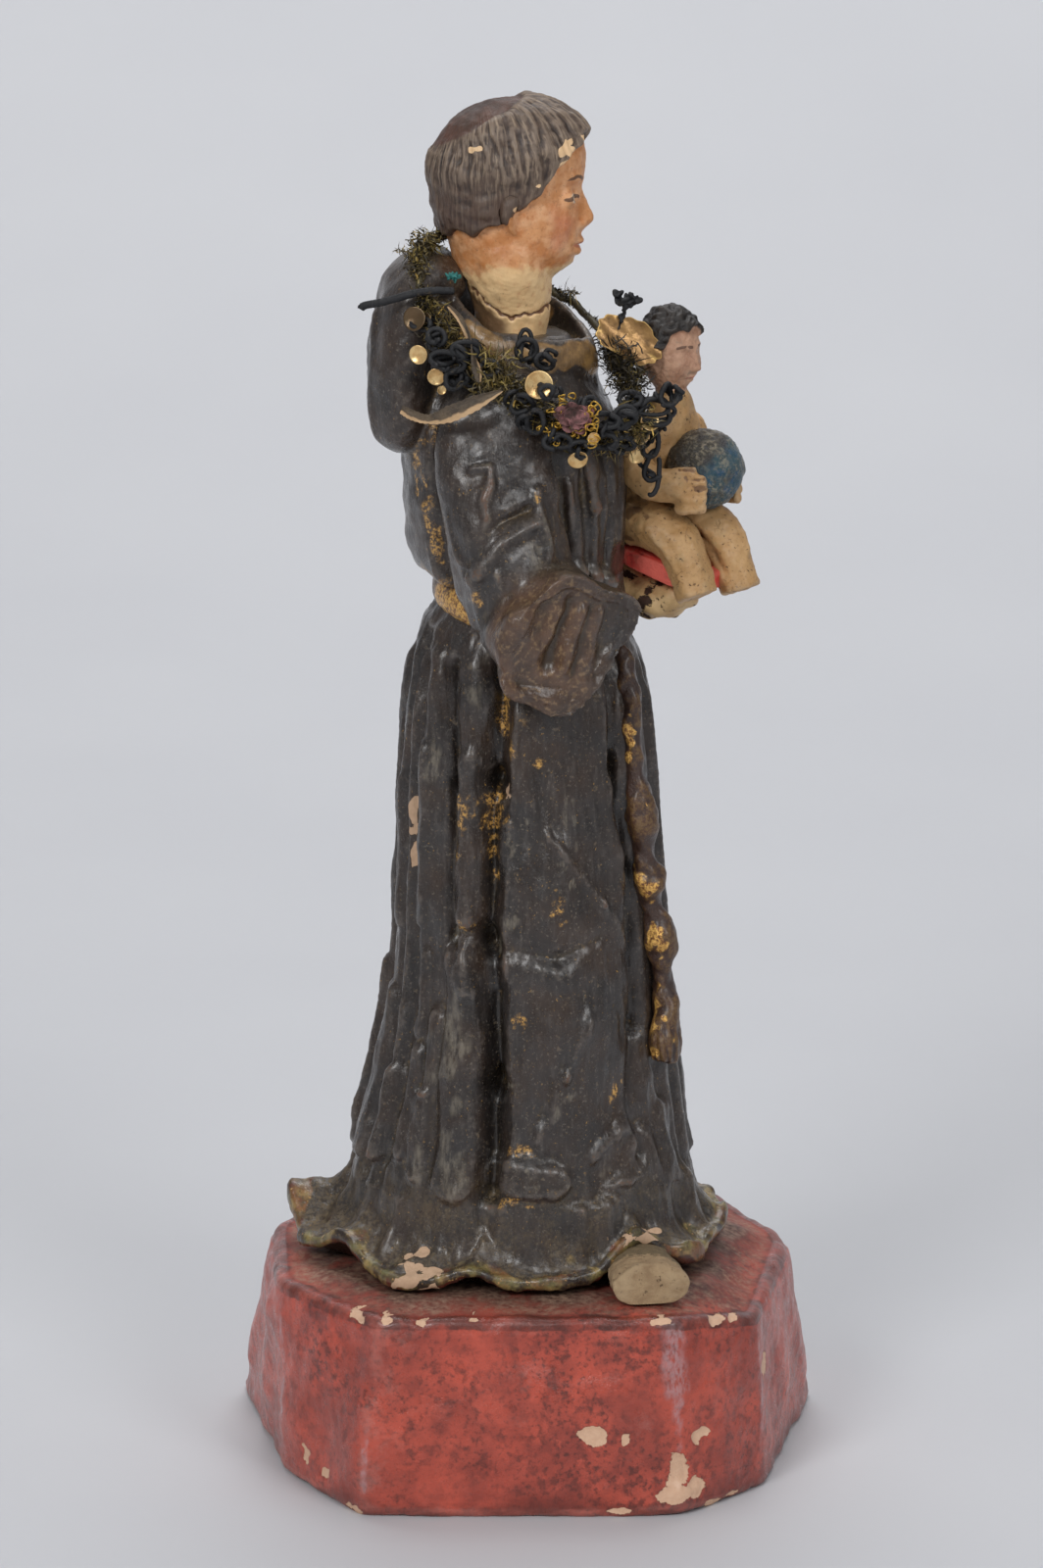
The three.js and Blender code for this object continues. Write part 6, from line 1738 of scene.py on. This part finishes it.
def cord_rings(route, radius, sides, strands=0, wraps=0.0):
    """A round section carried along a route of points, with a ridge wound round it if it has strands."""
    way = np.gradient(route, axis=0)
    way /= np.maximum(np.linalg.norm(way, axis=1, keepdims=True), 1e-9)
    ref = np.where(np.abs(way[:, 2:]) > 0.9, [[1.0, 0, 0]], [[0, 0, 1.0]])
    if np.abs(way[:, 2]).max() > 0.9:
        ref = np.broadcast_to(np.eye(3)[np.abs(way).max(0).argmin()], way.shape)
    side = np.cross(ref, way)
    side /= np.maximum(np.linalg.norm(side, axis=1, keepdims=True), 1e-9)
    up = np.cross(way, side)
    length = np.concatenate([[0], np.cumsum(np.linalg.norm(np.diff(route, axis=0), axis=1))])[:, None]
    angle = np.arange(sides)[None, :] * 2 * np.pi / sides
    ridge = 0.16 * np.abs(np.sin(strands * angle / 2 + wraps * length)) if strands else 0
    ends = np.minimum(np.arange(len(route)), np.arange(len(route))[::-1])[:, None]
    taper = np.minimum(1, 0.45 + 0.4 * ends)
    out = np.broadcast_to(np.reshape(radius, (-1, 1)), (len(route), 1)) * (1 + ridge) * taper
    wide, high = (out * np.cos(angle))[..., None], (out * np.sin(angle))[..., None]
    return route[:, None] + side[:, None] * wide + up[:, None] * high


def tufts(route_at, fullness, count, seed, width=0.15):
    """Thin bent threads that stand out of a route in random directions: two squares and a tip each. The corners,
    faces, one random shade for each thread and how blackened it is."""
    random = np.random.default_rng(seed)
    t = random.uniform(0, 1, count)
    reach, stray, black = np.moveaxis(between(fullness, t * fullness[-1][0]), -1, 0)[..., None]
    clump = 0.75 + 0.5 * np.sin(97 * t + seed)[:, None] * np.sin(41 * t)[:, None]
    root = route_at(t) + random.normal(0, 0.5, (count, 3)) * stray * clump
    way = random.normal(size=(count, 3))
    way /= np.linalg.norm(way, axis=1, keepdims=True)
    length = reach * random.uniform(0.3, 1.0, count)[:, None] * clump
    bend = random.normal(0, 0.8, (count, 3))
    across = np.cross(way, random.normal(size=(count, 3)))
    across *= width / np.linalg.norm(across, axis=1, keepdims=True)
    first_joint = root + (way + 0.2 * bend) * length * 0.4
    second_joint = root + (way + 0.7 * bend) * length * 0.7
    tip = root + (0.8 * way + 1.3 * bend) * length * 0.8
    corners = np.stack([
        root - across, root + across, first_joint + across, first_joint - across, second_joint + across,
        second_joint - across, tip,
    ], 1).reshape(-1, 3)
    first = np.arange(count)[:, None] * 7
    quads = np.concatenate([first + [0, 1, 2, 3], first + [3, 2, 4, 5]])
    shade = random.uniform(0, 1, count)
    blackened = (random.uniform(0, 1, count) < black[:, 0]) * 1.0
    return corners, quads, first + [5, 4, 6], np.repeat(shade, 7), np.repeat(blackened, 7)


t = np.linspace(0, len(GARLAND), int(420 * FINE))
route = rounded_route(GARLAND, t)
route += 0.25 * np.stack([unevenness(route, 5, 101), unevenness(route, 5, 102), unevenness(route, 5, 103)], -1)
twist = closed_skin("garland_twist", cord_rings(route, TWIST_RADIUS, 12, 2, 1.6))
at = lambda share: rounded_route(GARLAND, share * len(GARLAND))
count = int(TUFTS * FINE)
growths = [tufts(at, FULLNESS, count, 104)]
for number, (start, end) in enumerate(np.array(LOOSE_ENDS)):
    growths.append(
        tufts(
            lambda share: mix(start, end, share[:, None]), [[0, 2, 0.5, 0.2], [1, 2, 0.5, 0.2]], 50,
            105 + number, 0.1
        )
    )
corners, quads, triangles, shade, blackened = (list(part) for part in zip(*growths))
first = np.cumsum([0] + [len(part) for part in corners])
quads, triangles = ([part + start for part, start in zip(faces, first)] for faces in (quads, triangles))
chenille = new_piece("garland_chenille", *(np.concatenate(part) for part in (corners, quads, triangles)))
mark(chenille, "shade", np.concatenate(shade))
mark(chenille, "blackened", np.concatenate(blackened))

moss_gold, tree, shader = new_paint("olive and gold metal thread")
shade = read_mark(tree, "shade")
base = coat(tree, band(tree, shade, 0.1, 0.6), colour(54, 46, 28), colour(116, 100, 56))
base = coat(tree, band(tree, shade, 0.7, 0.78), base, colour(158, 138, 76))
base = coat(tree, band(tree, shade, 0.95, 0.97), base, colour(224, 186, 100))
zone = patchy(tree, 6.0, 0.4, 0.08)
base = coat(tree, zone, base, colour(52, 42, 30), 0.6)
base = coat(tree, read_mark(tree, "blackened"), base, colour(26, 22, 19), 0.92)
bright = times(tree, band(tree, shade, 0.93, 0.97), 0.6)
fill_in(tree, shader, base, level(tree, grain(tree, 1), 0.35, 0.6))
tree.links.new(bright, shader.inputs["Metallic"])
chenille.data.materials.append(moss_gold)

dark_core, tree, shader = new_paint("dark twisted wire")
base = coat(tree, grain(tree, 1.2), colour(30, 28, 22), colour(84, 74, 40))
fill_in(tree, shader, base, level(tree, grain(tree, 1), 0.4, 0.7), grain(tree, 0.3), 0.1)
twist.data.materials.append(dark_core)
for piece in (chenille, twist):
    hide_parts("garland_ring")
    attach(piece, "root")

# Curls of black silk-covered wire
# A thin wire wound with black floss and bent into loops, rings and coils by hand.
BLACK_CURLS = [  # middle, the way its hole looks, radius across, radius high, turns, pitch, start turn
    [[-15.5, -25.8, 231.5], [-0.2, -1, 0.25], 3.0, 1.7, 2.6, 0.9, 20],
    [[-17.6, -24.4, 236.4], [-0.5, -1, 0.3], 1.7, 1.3, 1.7, 0.8, 90],
    [[-13.6, -26, 228], [0.1, -1, -0.3], 2.4, 1.5, 1.6, 0.7, 200],
    [[-20.4, -20.5, 238.2], [-0.6, -1, 0.2], 1.6, 1.2, 1.8, 0.9, 0],
    [[-11.5, -28, 234.5], [0.2, -1, 0.2], 2.3, 1.4, 1.6, 0.6, 40],
    [[-7.6, -27.6, 230.6], [0.3, -1, 0.5], 1.8, 1.2, 1.5, 0.8, 300],
    [[0.2, -24.4, 233.4], [0.4, -1, 0.1], 1.6, 2.3, 1.25, 0.5, 70],
    [[3.9, -25.2, 231.8], [0.2, -1, 0], 1.5, 1.4, 1.3, 0.4, 10],
    [[4.2, -34, 227], [0.1, -1, 0.1], 1.4, 1.2, 1.2, 0.5, 100],
    [[-1, -31, 224.4], [-0.3, -1, -0.2], 2.3, 1.7, 1.5, 0.8, 150],
    [[1.4, -32, 221], [0.2, -1, -0.3], 1.8, 2.1, 1.6, 0.7, 250],
    [[6, -32.4, 217], [0, -1, -0.2], 2.2, 1.6, 1.8, 0.8, 330],
    [[11, -31.4, 215.6], [0.3, -1, -0.4], 2.2, 1.6, 1.6, 0.8, 60],
    [[13, -30.4, 223.6], [0.4, -1, 0.3], 2, 1.6, 1.5, 0.7, 120],
    [[15.5, -29.5, 221], [0.5, -1, 0.1], 2.3, 1.5, 1.6, 0.7, 200],
    [[15.4, -28.6, 216], [0.3, -1, -0.2], 2.0, 1.6, 1.5, 0.8, 20],
    [[19.5, -24, 219.8], [0.2, -1, 0], 2.4, 1.8, 1.4, 0.6, 320],
    [[19.6, -22, 214.6], [0.2, -1, -0.3], 2.3, 1.3, 1.5, 0.8, 90],
    [[26.2, -15.5, 219.5], [0.2, -1, 0.5], 3.9, 2.5, 1.35, 0.8, 30],
    [[28.2, -15.4, 223.6], [0.6, -1, 0.2], 1.7, 1.9, 1.5, 0.7, 170],
    [[24.4, -15, 213.6], [0.5, -1, 0.1], 1.4, 3.2, 1.15, 0.6, 75],
    [[25.5, -14.4, 207.8], [0.4, -1, 0.1], 1.9, 2.9, 0.75, 0.5, 60],
    [[21, -16, 222.6], [0.1, -1, 0.3], 1.7, 1.5, 1.6, 0.7, 260],
]
CURL_NODES = [1, 1, 1, 1, 2, 2, 3, 3, 3, 3, 3, 4, 4, 4, 4, 4, 5, 5, 6, 6, 7, 7, 5]
CURL_WIRE, CURL_STEPS = 0.5, 56
CURL_COPIES = 3  # wires wound together at each curl
WIRE_TAIL = np.array(
    [
        [-14, -19, 244.7], [-18.6, -19.5, 244.8], [-22.5, -19, 244.1], [-28.3, -18, 242.3], [-31.9, -17, 241.4],
        [-32.6, -17, 240.6]
    ]
)


def curl_route(middle, facing, wide, high, turns, pitch, start, seed):
    """A hand-bent helix: an oval whose radii wander, with its axis along the facing, a pitch for each turn."""
    s = np.linspace(0, 1, int(CURL_STEPS * turns * (0.5 + FINE / 2)))
    angle = np.radians(start) + 2 * np.pi * turns * s
    axis = np.array(facing, float) / np.linalg.norm(facing)
    side = np.cross([0, 0, 1], axis)
    side /= np.linalg.norm(side)
    up = np.cross(axis, side)
    random = np.random.default_rng(seed)
    a, b, c = random.uniform(0, 6, 3)
    grow = 1 + 0.26 * np.sin(angle * 0.8 + a) + 0.16 * np.sin(2.3 * angle + b)
    depth = pitch * turns * (s - 0.5) * 2 + 0.5 * np.sin(1.7 * angle + c)
    flat = side * (wide * grow * np.cos(angle))[:, None] + up * (high * grow * np.sin(angle))[:, None]
    return np.array(middle) + flat + axis * depth[:, None]


black_silk, tree, shader = new_paint("black silk over wire")
base = coat(tree, grain(tree, 1.5), colour(12, 13, 16), colour(32, 32, 35))
base = coat(tree, patchy(tree, 1.6, 0.14, 0.05), base, colour(84, 72, 54), 0.5)
fill_in(tree, shader, base, level(tree, grain(tree, 1), 0.5, 0.75), grain(tree, 0.25), 0.08)
random = np.random.default_rng(700)
for number in range(1, 8):
    parts = []
    for i, (curl, owner) in enumerate(zip(BLACK_CURLS, CURL_NODES)):
        for copy in range(CURL_COPIES if owner == number else 0):
            middle, facing, wide, high, turns, pitch, start = curl
            if copy:
                middle = np.array(middle) + random.normal(0, 0.9, 3) + [0, 0.8, 0]
                facing = np.array(facing) + random.normal(0, 0.7, 3)
                wide, high = wide * random.uniform(0.5, 0.95), high * random.uniform(0.6, 1.1)
                turns, start = turns * random.uniform(0.5, 0.8), random.uniform(0, 360)
            route = curl_route(middle, facing, wide, high, turns, pitch, start, 500 + 3 * i + copy)
            parts.append(cord_rings(route, CURL_WIRE * (1 - 0.08 * copy), 8, 1, 9.0))
    if number == 1:
        parts.append(cord_rings(rounded_route(WIRE_TAIL, np.linspace(0, 4.99, 90), False), 0.72, 9, 1, 9.0))
    wire = joined_skins(f"silk_wire_curls_{number}", parts)
    wire.data.materials.append(black_silk)
    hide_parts(f"garland_wire_loop_{number}")
    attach(wire, "root")

# Sequins
# Small cupped discs of gilt metal, each sewn on through its middle.
SEQUINS = [  # middle, the way it faces, radius
    [[2.5, -33.2, 228.6], [0.15, -1, 0.1], 2.8], [[-21, -24.5, 233], [-0.4, -1, 0], 1.9],
    [[-17.6, -24.6, 228.6], [-0.2, -1, -0.1], 1.7],
    [[10.2, -31.8, 213.6], [0.2, -1, -0.5], 2.0], [[22, -15.5, 211], [0.4, -1, -0.2], 1.7],
]
DULL_DISC = [[-21.7, -21.2, 239.5], [-0.5, -1, 0.2], 2.4]
SMALL_SEQUINS = [
    [[-19.6, -21, 239.6], [-0.5, -1, 0.3], 1.1], [[-16.6, -24.2, 225.8], [0.2, -1, 0], 0.9],
    [[22.6, -17, 214.4], [0.1, -1, 0.4], 1.2],
    [[24.6, -16.6, 217.8], [0.3, -1, 0.5], 1.9], [[13.2, -32, 217.6], [0.5, -1, -0.1], 1.3],
]


def cupped_disc(middle, facing, radius, cup=0.28, thick=0.16, around=40):
    """A shallow bowl with a wall: rings out along its hollow side, over the rim and back in along its back."""
    share = np.concatenate([np.linspace(0.02, 1, 9), np.linspace(1, 0.02, 9)])[:, None]
    lift = np.concatenate([np.full(9, thick / 2), np.full(9, -thick / 2)])[:, None]
    angle = np.arange(around)[None, :] * 2 * np.pi / around
    axis = np.array(facing, float) / np.linalg.norm(facing)
    side = np.cross([0, 0, 1], axis)
    side /= np.linalg.norm(side)
    up = np.cross(axis, side)
    depth = lift + cup * radius * share**2 * (1 + 0.25 * np.sin(2 * angle + middle[0]))
    wide, high = radius * share * np.cos(angle), radius * share * np.sin(angle)
    return np.array(middle) + side * wide[..., None] + up * high[..., None] + axis * depth[..., None]


gilt_metal, tree, shader = new_paint("tarnished gilt metal")
base = coat(tree, patchy(tree, 2.0, 0.5, 0.15), colour(236, 204, 146), colour(206, 164, 106))
spots = patchy(tree, 0.9, 0.14, 0.1)
base = coat(tree, spots, base, colour(112, 82, 50), 0.6)
base = coat(
    tree, read_mark(tree, "dull"), base, coat(tree, grain(tree, 2.0), colour(52, 42, 34), colour(92, 72, 52)),
    0.9
)
fill_in(tree, shader, base, level(tree, spots, 0.32, 0.6), grain(tree, 1.4), 0.08, Metallic=0.55)
for number, (middle, facing, radius) in enumerate(SEQUINS, 1):
    extra = SMALL_SEQUINS[number - 1]
    discs = [
        cupped_disc(middle, facing, radius), cupped_disc(*extra)
    ] + [cupped_disc(*DULL_DISC)] * (number == 2)
    disc = joined_skins(f"sequin_{number}", discs)
    mark(disc, "dull", np.linalg.norm(corners_of(disc) - DULL_DISC[0], axis=1) < DULL_DISC[2] + 0.6)
    disc.data.materials.append(gilt_metal)
    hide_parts(f"garland_sequin_{number}")
    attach(disc, "root")

# Gilt leaf
# A crumpled leaf of gilded paper, cupped like a shell, with a ragged rim.
LEAF_MIDDLE, LEAF_FACING, LEAF_LONG, LEAF_WIDE = [20.6, -1.8, 231.6], [0.3, -0.95, 0.4], 7.2, 4.3


def leaf_rings(around, levels):
    """An oval bowl whose rim wanders, with creases that run along it, and a thin wall."""
    share = np.concatenate([np.linspace(0.02, 1, levels), np.linspace(1, 0.02, levels)])[:, None]
    lift = np.concatenate([np.full(levels, 0.12), np.full(levels, -0.12)])[:, None]
    angle = np.arange(around)[None, :] * 2 * np.pi / around
    axis = np.array(LEAF_FACING) / np.linalg.norm(LEAF_FACING)
    side = np.cross([0, 0, 1], axis)
    side /= np.linalg.norm(side)
    up = np.cross(axis, side)
    lean = np.radians(-32)
    side, up = side * np.cos(lean) + up * np.sin(lean), up * np.cos(lean) - side * np.sin(lean)
    rim = 1 + 0.04 * np.sin(5 * angle + 1) + 0.025 * np.sin(11 * angle) + 0.02 * np.sin(17 * angle + 2)
    long, wide = LEAF_LONG * share * rim * np.cos(angle), LEAF_WIDE * share * rim * np.sin(angle)
    depth = lift + 1.3 * share**2 * np.sin(angle) ** 2 + 0.22 * np.sin(1.5 * wide + 0.5 * long) * share
    depth = depth + 0.3 * share**3 * np.sin(4 * angle + 2)
    return np.array(LEAF_MIDDLE) + side * long[..., None] + up * wide[..., None] + axis * depth[..., None]


leaf = closed_skin("gilt_leaf", leaf_rings(140, 30))
mark_relief(leaf, 0.8)
gilt_paper, tree, shader = new_paint("gilded paper")
base = coat(tree, patchy(tree, 3.0, 0.5, 0.2), colour(188, 146, 92), colour(140, 106, 66))
ridge = use(tree, rubbed, start=0.03, soft=0.15, size=1.0, broken=0.3)
base = coat(tree, ridge, base, colour(232, 192, 116), 0.7)
spots = patchy(tree, 1.4, 0.2, 0.08)
base = coat(tree, spots, base, colour(84, 64, 42), 0.5)
fill_in(tree, shader, base, level(tree, spots, 0.34, 0.6), grain(tree, 1.2), 0.12, Metallic=0.45)
leaf.data.materials.append(gilt_paper)
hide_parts("garland_gilt_leaf")
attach(leaf, "root")

# The black bud over the leaf: scraps of the same silk on a stem of wire.
BUD_STEM = np.array([[18.8, -1, 233], [19.2, -1.6, 236], [20, -2, 238.4], [20.4, -2, 239.4]])
BUD_SCRAPS = [
    [[20.4, -2, 239.7], [1.7, 0.9, 1.2]], [[18.7, -2.3, 240.5], [0.9, 0.5, 1.3]],
    [[22, -2.2, 240.3], [1.2, 0.6, 0.7]]
]
bud = joined_skins("black_bud", [
    cord_rings(rounded_route(BUD_STEM, np.linspace(0, 2.99, 40), False), 0.4, 9, 1, 9.0),
    *(ball_rings(middle, radii, 40, 24) for middle, radii in BUD_SCRAPS),
])
press(bud, 0.3 * unevenness(corners_of(bud), 1.3, 111))
bud.data.materials.append(black_silk)
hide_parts("garland_gilt_leaf")
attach(bud, "root")

# A scrap of turquoise floss caught in the twist at the nape.
FLOSS_PLACE, FLOSS_SIZE = (-14.4, -11.8, 246.4), (1.5, 0.7, 0.6)
floss = closed_skin("turquoise_floss", ball_rings(FLOSS_PLACE, FLOSS_SIZE, 40, 24))
press(floss, 0.3 * unevenness(corners_of(floss), 0.8, 112))
turquoise, tree, shader = new_paint("turquoise floss")
fill_in(
    tree, shader, coat(tree, grain(tree, 0.6), colour(22, 92, 92), colour(74, 150, 142)),
    level(tree, grain(tree, 1), 0.6, 0.8)
)
floss.data.materials.append(turquoise)
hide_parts("garland_ring")
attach(floss, "root")

# Ribbon leaf
# A strip of brown ribbon with a frayed pale edge, laid across the shoulder and twisted at its ends.
RIBBON = np.array(
    [
        [-24.4, -26, 222.4], [-22.1, -27.5, 221.3], [-18.9, -30, 221], [-14.7, -33, 222.7], [-9.8, -34, 225.1],
        [-4.6, -33, 227.4]
    ]
)
RIBBON_LOOP = np.array(
    [
        [-15.1, -24, 242.6], [-12.8, -25.5, 240.3], [-11.2, -27, 237.3], [-10.4, -28, 234.3],
        [-9.5, -29, 231.2], [-9.1, -30, 228.4]
    ]
)

RIBBON_SIDES = 22


def ribbon_rings(route, widths, twist, along):
    """A thin flat section carried along a route, turned by a twist."""
    s = np.linspace(0, len(route) - 1.01, along)
    line = rounded_route(route, s, False)
    way = np.gradient(line, axis=0)
    way /= np.linalg.norm(way, axis=1, keepdims=True)
    out = np.cross(np.cross(way, [0, -1, 0.3]), way)
    out /= np.linalg.norm(out, axis=1, keepdims=True)
    across = np.cross(out, way)
    lean = np.radians(np.interp(s, np.arange(len(route)), twist))[:, None]
    across, out = across * np.cos(lean) + out * np.sin(lean), out * np.cos(lean) - across * np.sin(lean)
    half = np.interp(s, np.arange(len(route)), widths)[:, None]
    u = np.linspace(-1, 1, RIBBON_SIDES)
    flat = np.concatenate([u, u[::-1]])[None, :]
    lift = np.repeat([0.11, -0.11], RIBBON_SIDES)[None, :]
    curve = 0.3 * flat**2 + 0.06 * np.sin(5 * flat + 2 * s[:, None])
    fray = 1 + 0.05 * np.abs(flat) * np.sin(23 * s[:, None] + 3 * flat)
    wide, high = (half * flat * fray)[..., None], (lift + curve)[..., None]
    return line[:, None] + across[:, None] * wide + out[:, None] * high


RIBBON_STEPS = 120
ribbon = joined_skins("ribbon_leaf", [
    ribbon_rings(RIBBON, [0.9, 1, 0.9, 1.7, 1.5, 0.2], [40, 10, 0, 0, 10, 20], RIBBON_STEPS),
    ribbon_rings(RIBBON_LOOP, [0.3, 0.7, 0.8, 1.1, 1.3, 0.3], [20, 30, 50, 90, 140, 170], RIBBON_STEPS),
])
u = np.linspace(-1, 1, RIBBON_SIDES)
sideways = np.append(np.tile(np.append(u, u[::-1]), RIBBON_STEPS), [0, 0])
mark(ribbon, "sideways", np.tile(sideways, 2))
brown_ribbon, tree, shader = new_paint("brown ribbon")
base = coat(tree, patchy(tree, 3.0, 0.5, 0.2), colour(70, 60, 50), colour(112, 96, 76))
weave = band(tree, grain(tree, 0.5, 2.0, 0.5, (1, 1, 3)), 0.45, 0.6)
base = coat(tree, weave, base, colour(60, 50, 40), 0.3)
edge = band(tree, uneven(tree, read_mark(tree, "sideways"), 3.0, 1.2), 0.4, 0.1)
base = coat(tree, edge, base, coat(tree, grain(tree, 2.0), colour(176, 142, 104), colour(222, 186, 142)), 0.9)
fill_in(tree, shader, base, level(tree, weave, 0.55, 0.8), grain(tree, 0.4), 0.08)
ribbon.data.materials.append(brown_ribbon)
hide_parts("garland_ribbon_leaf")
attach(ribbon, "root")

# Flower
# A crumpled rosette of faded pink cloth on the breast, ringed by loops of gold purl wire.
FLOWER_MIDDLE, FLOWER_FACING = np.array([9.6, -32.8, 222]), [0.25, -1, 0.15]
PURL_LOOPS = 28


def petal_rings(number, around=40, levels=12):
    """A cupped petal whose rim curls: an oval bowl that stands out from the flower's middle at its own turn."""
    share = np.concatenate([np.linspace(0.03, 1, levels), np.linspace(1, 0.03, levels)])[:, None]
    lift = np.concatenate([np.full(levels, 0.14), np.full(levels, -0.14)])[:, None]
    angle = np.arange(around)[None, :] * 2 * np.pi / around
    axis = np.array(FLOWER_FACING) / np.linalg.norm(FLOWER_FACING)
    side = np.cross([0, 0, 1], axis)
    side /= np.linalg.norm(side)
    up = np.cross(axis, side)
    turn = number * 2.4
    away = side * np.cos(turn) * 1.25 + up * np.sin(turn)
    beside = up * np.cos(turn) - side * np.sin(turn)
    off = 0.5 + 0.16 * number
    long, wide = 1.6 * share * np.cos(angle), 1.5 * share * np.sin(angle)
    depth = lift + (1.1 - 0.09 * number) * share**2 * (
        0.5 + 0.5 * np.cos(angle)
    ) + 0.3 * np.sin(4 * angle + number) * share**2
    middle = FLOWER_MIDDLE + away * off - axis * 0.12 * number
    return middle + away * long[..., None] + beside * wide[..., None] + axis * (depth + 0.5)[..., None]


flower = joined_skins("pink_flower", [petal_rings(number) for number in range(11)])
mark_relief(flower, 0.5)
faded_pink, tree, shader = new_paint("faded pink cloth")
base = coat(tree, patchy(tree, 1.8, 0.5, 0.2), colour(164, 112, 112), colour(108, 74, 72))
base = coat(tree, patchy(tree, 3.4, 0.4, 0.1), base, colour(56, 40, 34))
# The folds of the cloth are painted darker: painted shade.
sunk = use(tree, shade_and_grime, start=0.0, soft=0.2, size=0.8, broken=0.3)
base = coat(tree, sunk, base, colour(44, 32, 26), 0.7)
fill_in(tree, shader, base, level(tree, grain(tree, 1), 0.7, 0.9), grain(tree, 0.5), 0.1)
flower.data.materials.append(faded_pink)

random = np.random.default_rng(601)
purls = []
for number in range(PURL_LOOPS):
    turn = random.uniform(0, 2 * np.pi)
    off = random.uniform(2.4, 5.4)
    middle = FLOWER_MIDDLE + [1.25 * off * np.cos(turn), random.uniform(-0.4, 1.2), off * np.sin(turn) - 1]
    facing = random.normal(0, 0.5, 3) + [0, -1, 0]
    radius = random.uniform(0.5, 1.05)
    purls.append(
        cord_rings(
            curl_route(
                middle, facing, radius, radius * 0.8, 1.2, 0.4, random.uniform(0, 360), 610 + number
            )[::3],
            0.16, 6
        )
    )
purl = joined_skins("gold_purl_loops", purls)
bright_gold, tree, shader = new_paint("gold purl wire")
base = coat(tree, grain(tree, 1.0), colour(176, 134, 52), colour(228, 186, 84))
fill_in(tree, shader, base, level(tree, grain(tree, 2), 0.28, 0.45), grain(tree, 0.4), 0.05, Metallic=0.65)
purl.data.materials.append(bright_gold)
for piece in (flower, purl):
    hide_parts("garland_flower")
    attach(piece, "root")

# Studio
# A pale paper sweep under and behind the figure, a soft light on each side of the camera, one above the
# figure and one for the paper.
CAMERA_PLACE = (-0.0008, -1.3584, 0.4782)
CAMERA_LENS, CAMERA_TILT = 157.5, 76
SWEEP_WIDTH, SWEEP_FRONT, SWEEP_BACK, SWEEP_BEND, SWEEP_HEIGHT = 4.4, 1.8, 0.5, 1.5, 2.4
SOFT_LIGHTS = [  # name, place, what it looks at, size, power
    ["left light", (-0.7, -1.25, 1.05), (0, 0, 0.14), 0.6, 10.8],
    ["right light", (0.8, -1.15, 0.95), (0, 0, 0.14), 0.6, 6.2],
    ["top light", (0.1, 0.25, 1.5), (0, 0, 0.14), 0.8, 3.6],
    ["paper light", (0, 0.9, 2.1), (0, 2.0, 0.6), 1.6, 25.0],
]


def paper_sweep(along, across):
    """A sheet that runs flat on the floor and turns up behind in a quarter circle."""
    bend = np.linspace(0, np.pi / 2, along)
    y = np.concatenate([[-SWEEP_FRONT], SWEEP_BACK + SWEEP_BEND * np.sin(bend), [SWEEP_BACK + SWEEP_BEND]])
    z = np.concatenate([[0], SWEEP_BEND * (1 - np.cos(bend)), [SWEEP_HEIGHT]])
    x = np.linspace(-SWEEP_WIDTH / 2, SWEEP_WIDTH / 2, across)
    corners = np.stack(np.broadcast_arrays(x[None, :], y[:, None], z[:, None]), -1).reshape(-1, 3)
    low = (np.arange(len(y) - 1)[:, None] * across + np.arange(across - 1)).ravel()
    return corners, np.stack([low, low + 1, low + across + 1, low + across], -1)


corners, quads = paper_sweep(40, 9)
mesh = bpy.data.meshes.new("paper_sweep")
mesh.from_pydata(corners.tolist(), [], quads.tolist())
mesh.shade_smooth()
sweep = bpy.data.objects.new("paper_sweep", mesh)
bpy.context.scene.collection.objects.link(sweep)
paper, tree, shader = new_paint("pale paper")
base = coat(tree, grain(tree, 160.0, 2.0), colour(196, 197, 201), colour(204, 205, 208))
fill_in(tree, shader, base, level(tree, grain(tree, 3.0), 0.6, 0.7))
sweep.data.materials.append(paper)
sweep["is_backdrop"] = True

camera = bpy.data.objects.new("camera", bpy.data.cameras.new("camera"))
camera.location = CAMERA_PLACE
camera.rotation_euler = (np.radians(CAMERA_TILT), 0, 0)
camera.data.lens = CAMERA_LENS
camera.data.sensor_width = 36
bpy.context.scene.collection.objects.link(camera)
bpy.context.scene.camera = camera

for name, place, target, size, power in SOFT_LIGHTS:
    lamp = bpy.data.lights.new(name, "AREA")
    lamp.shape, lamp.size, lamp.energy = "DISK", size, power
    light = bpy.data.objects.new(name, lamp)
    light.location = place
    way = camera.location.__class__(target) - light.location
    light.rotation_euler = way.to_track_quat("-Z", "Y").to_euler()
    bpy.context.scene.collection.objects.link(light)

world = bpy.data.worlds.new("studio")
world.use_nodes = True
world.node_tree.nodes["Background"].inputs["Color"].default_value = (0.86, 0.88, 0.93, 1)
world.node_tree.nodes["Background"].inputs["Strength"].default_value = 0.28
bpy.context.scene.world = world
bpy.context.scene.view_settings.view_transform = "Standard"

[[list(map(float, corner)) for corner in box] for box in ((cad_low, cad_high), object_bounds())]
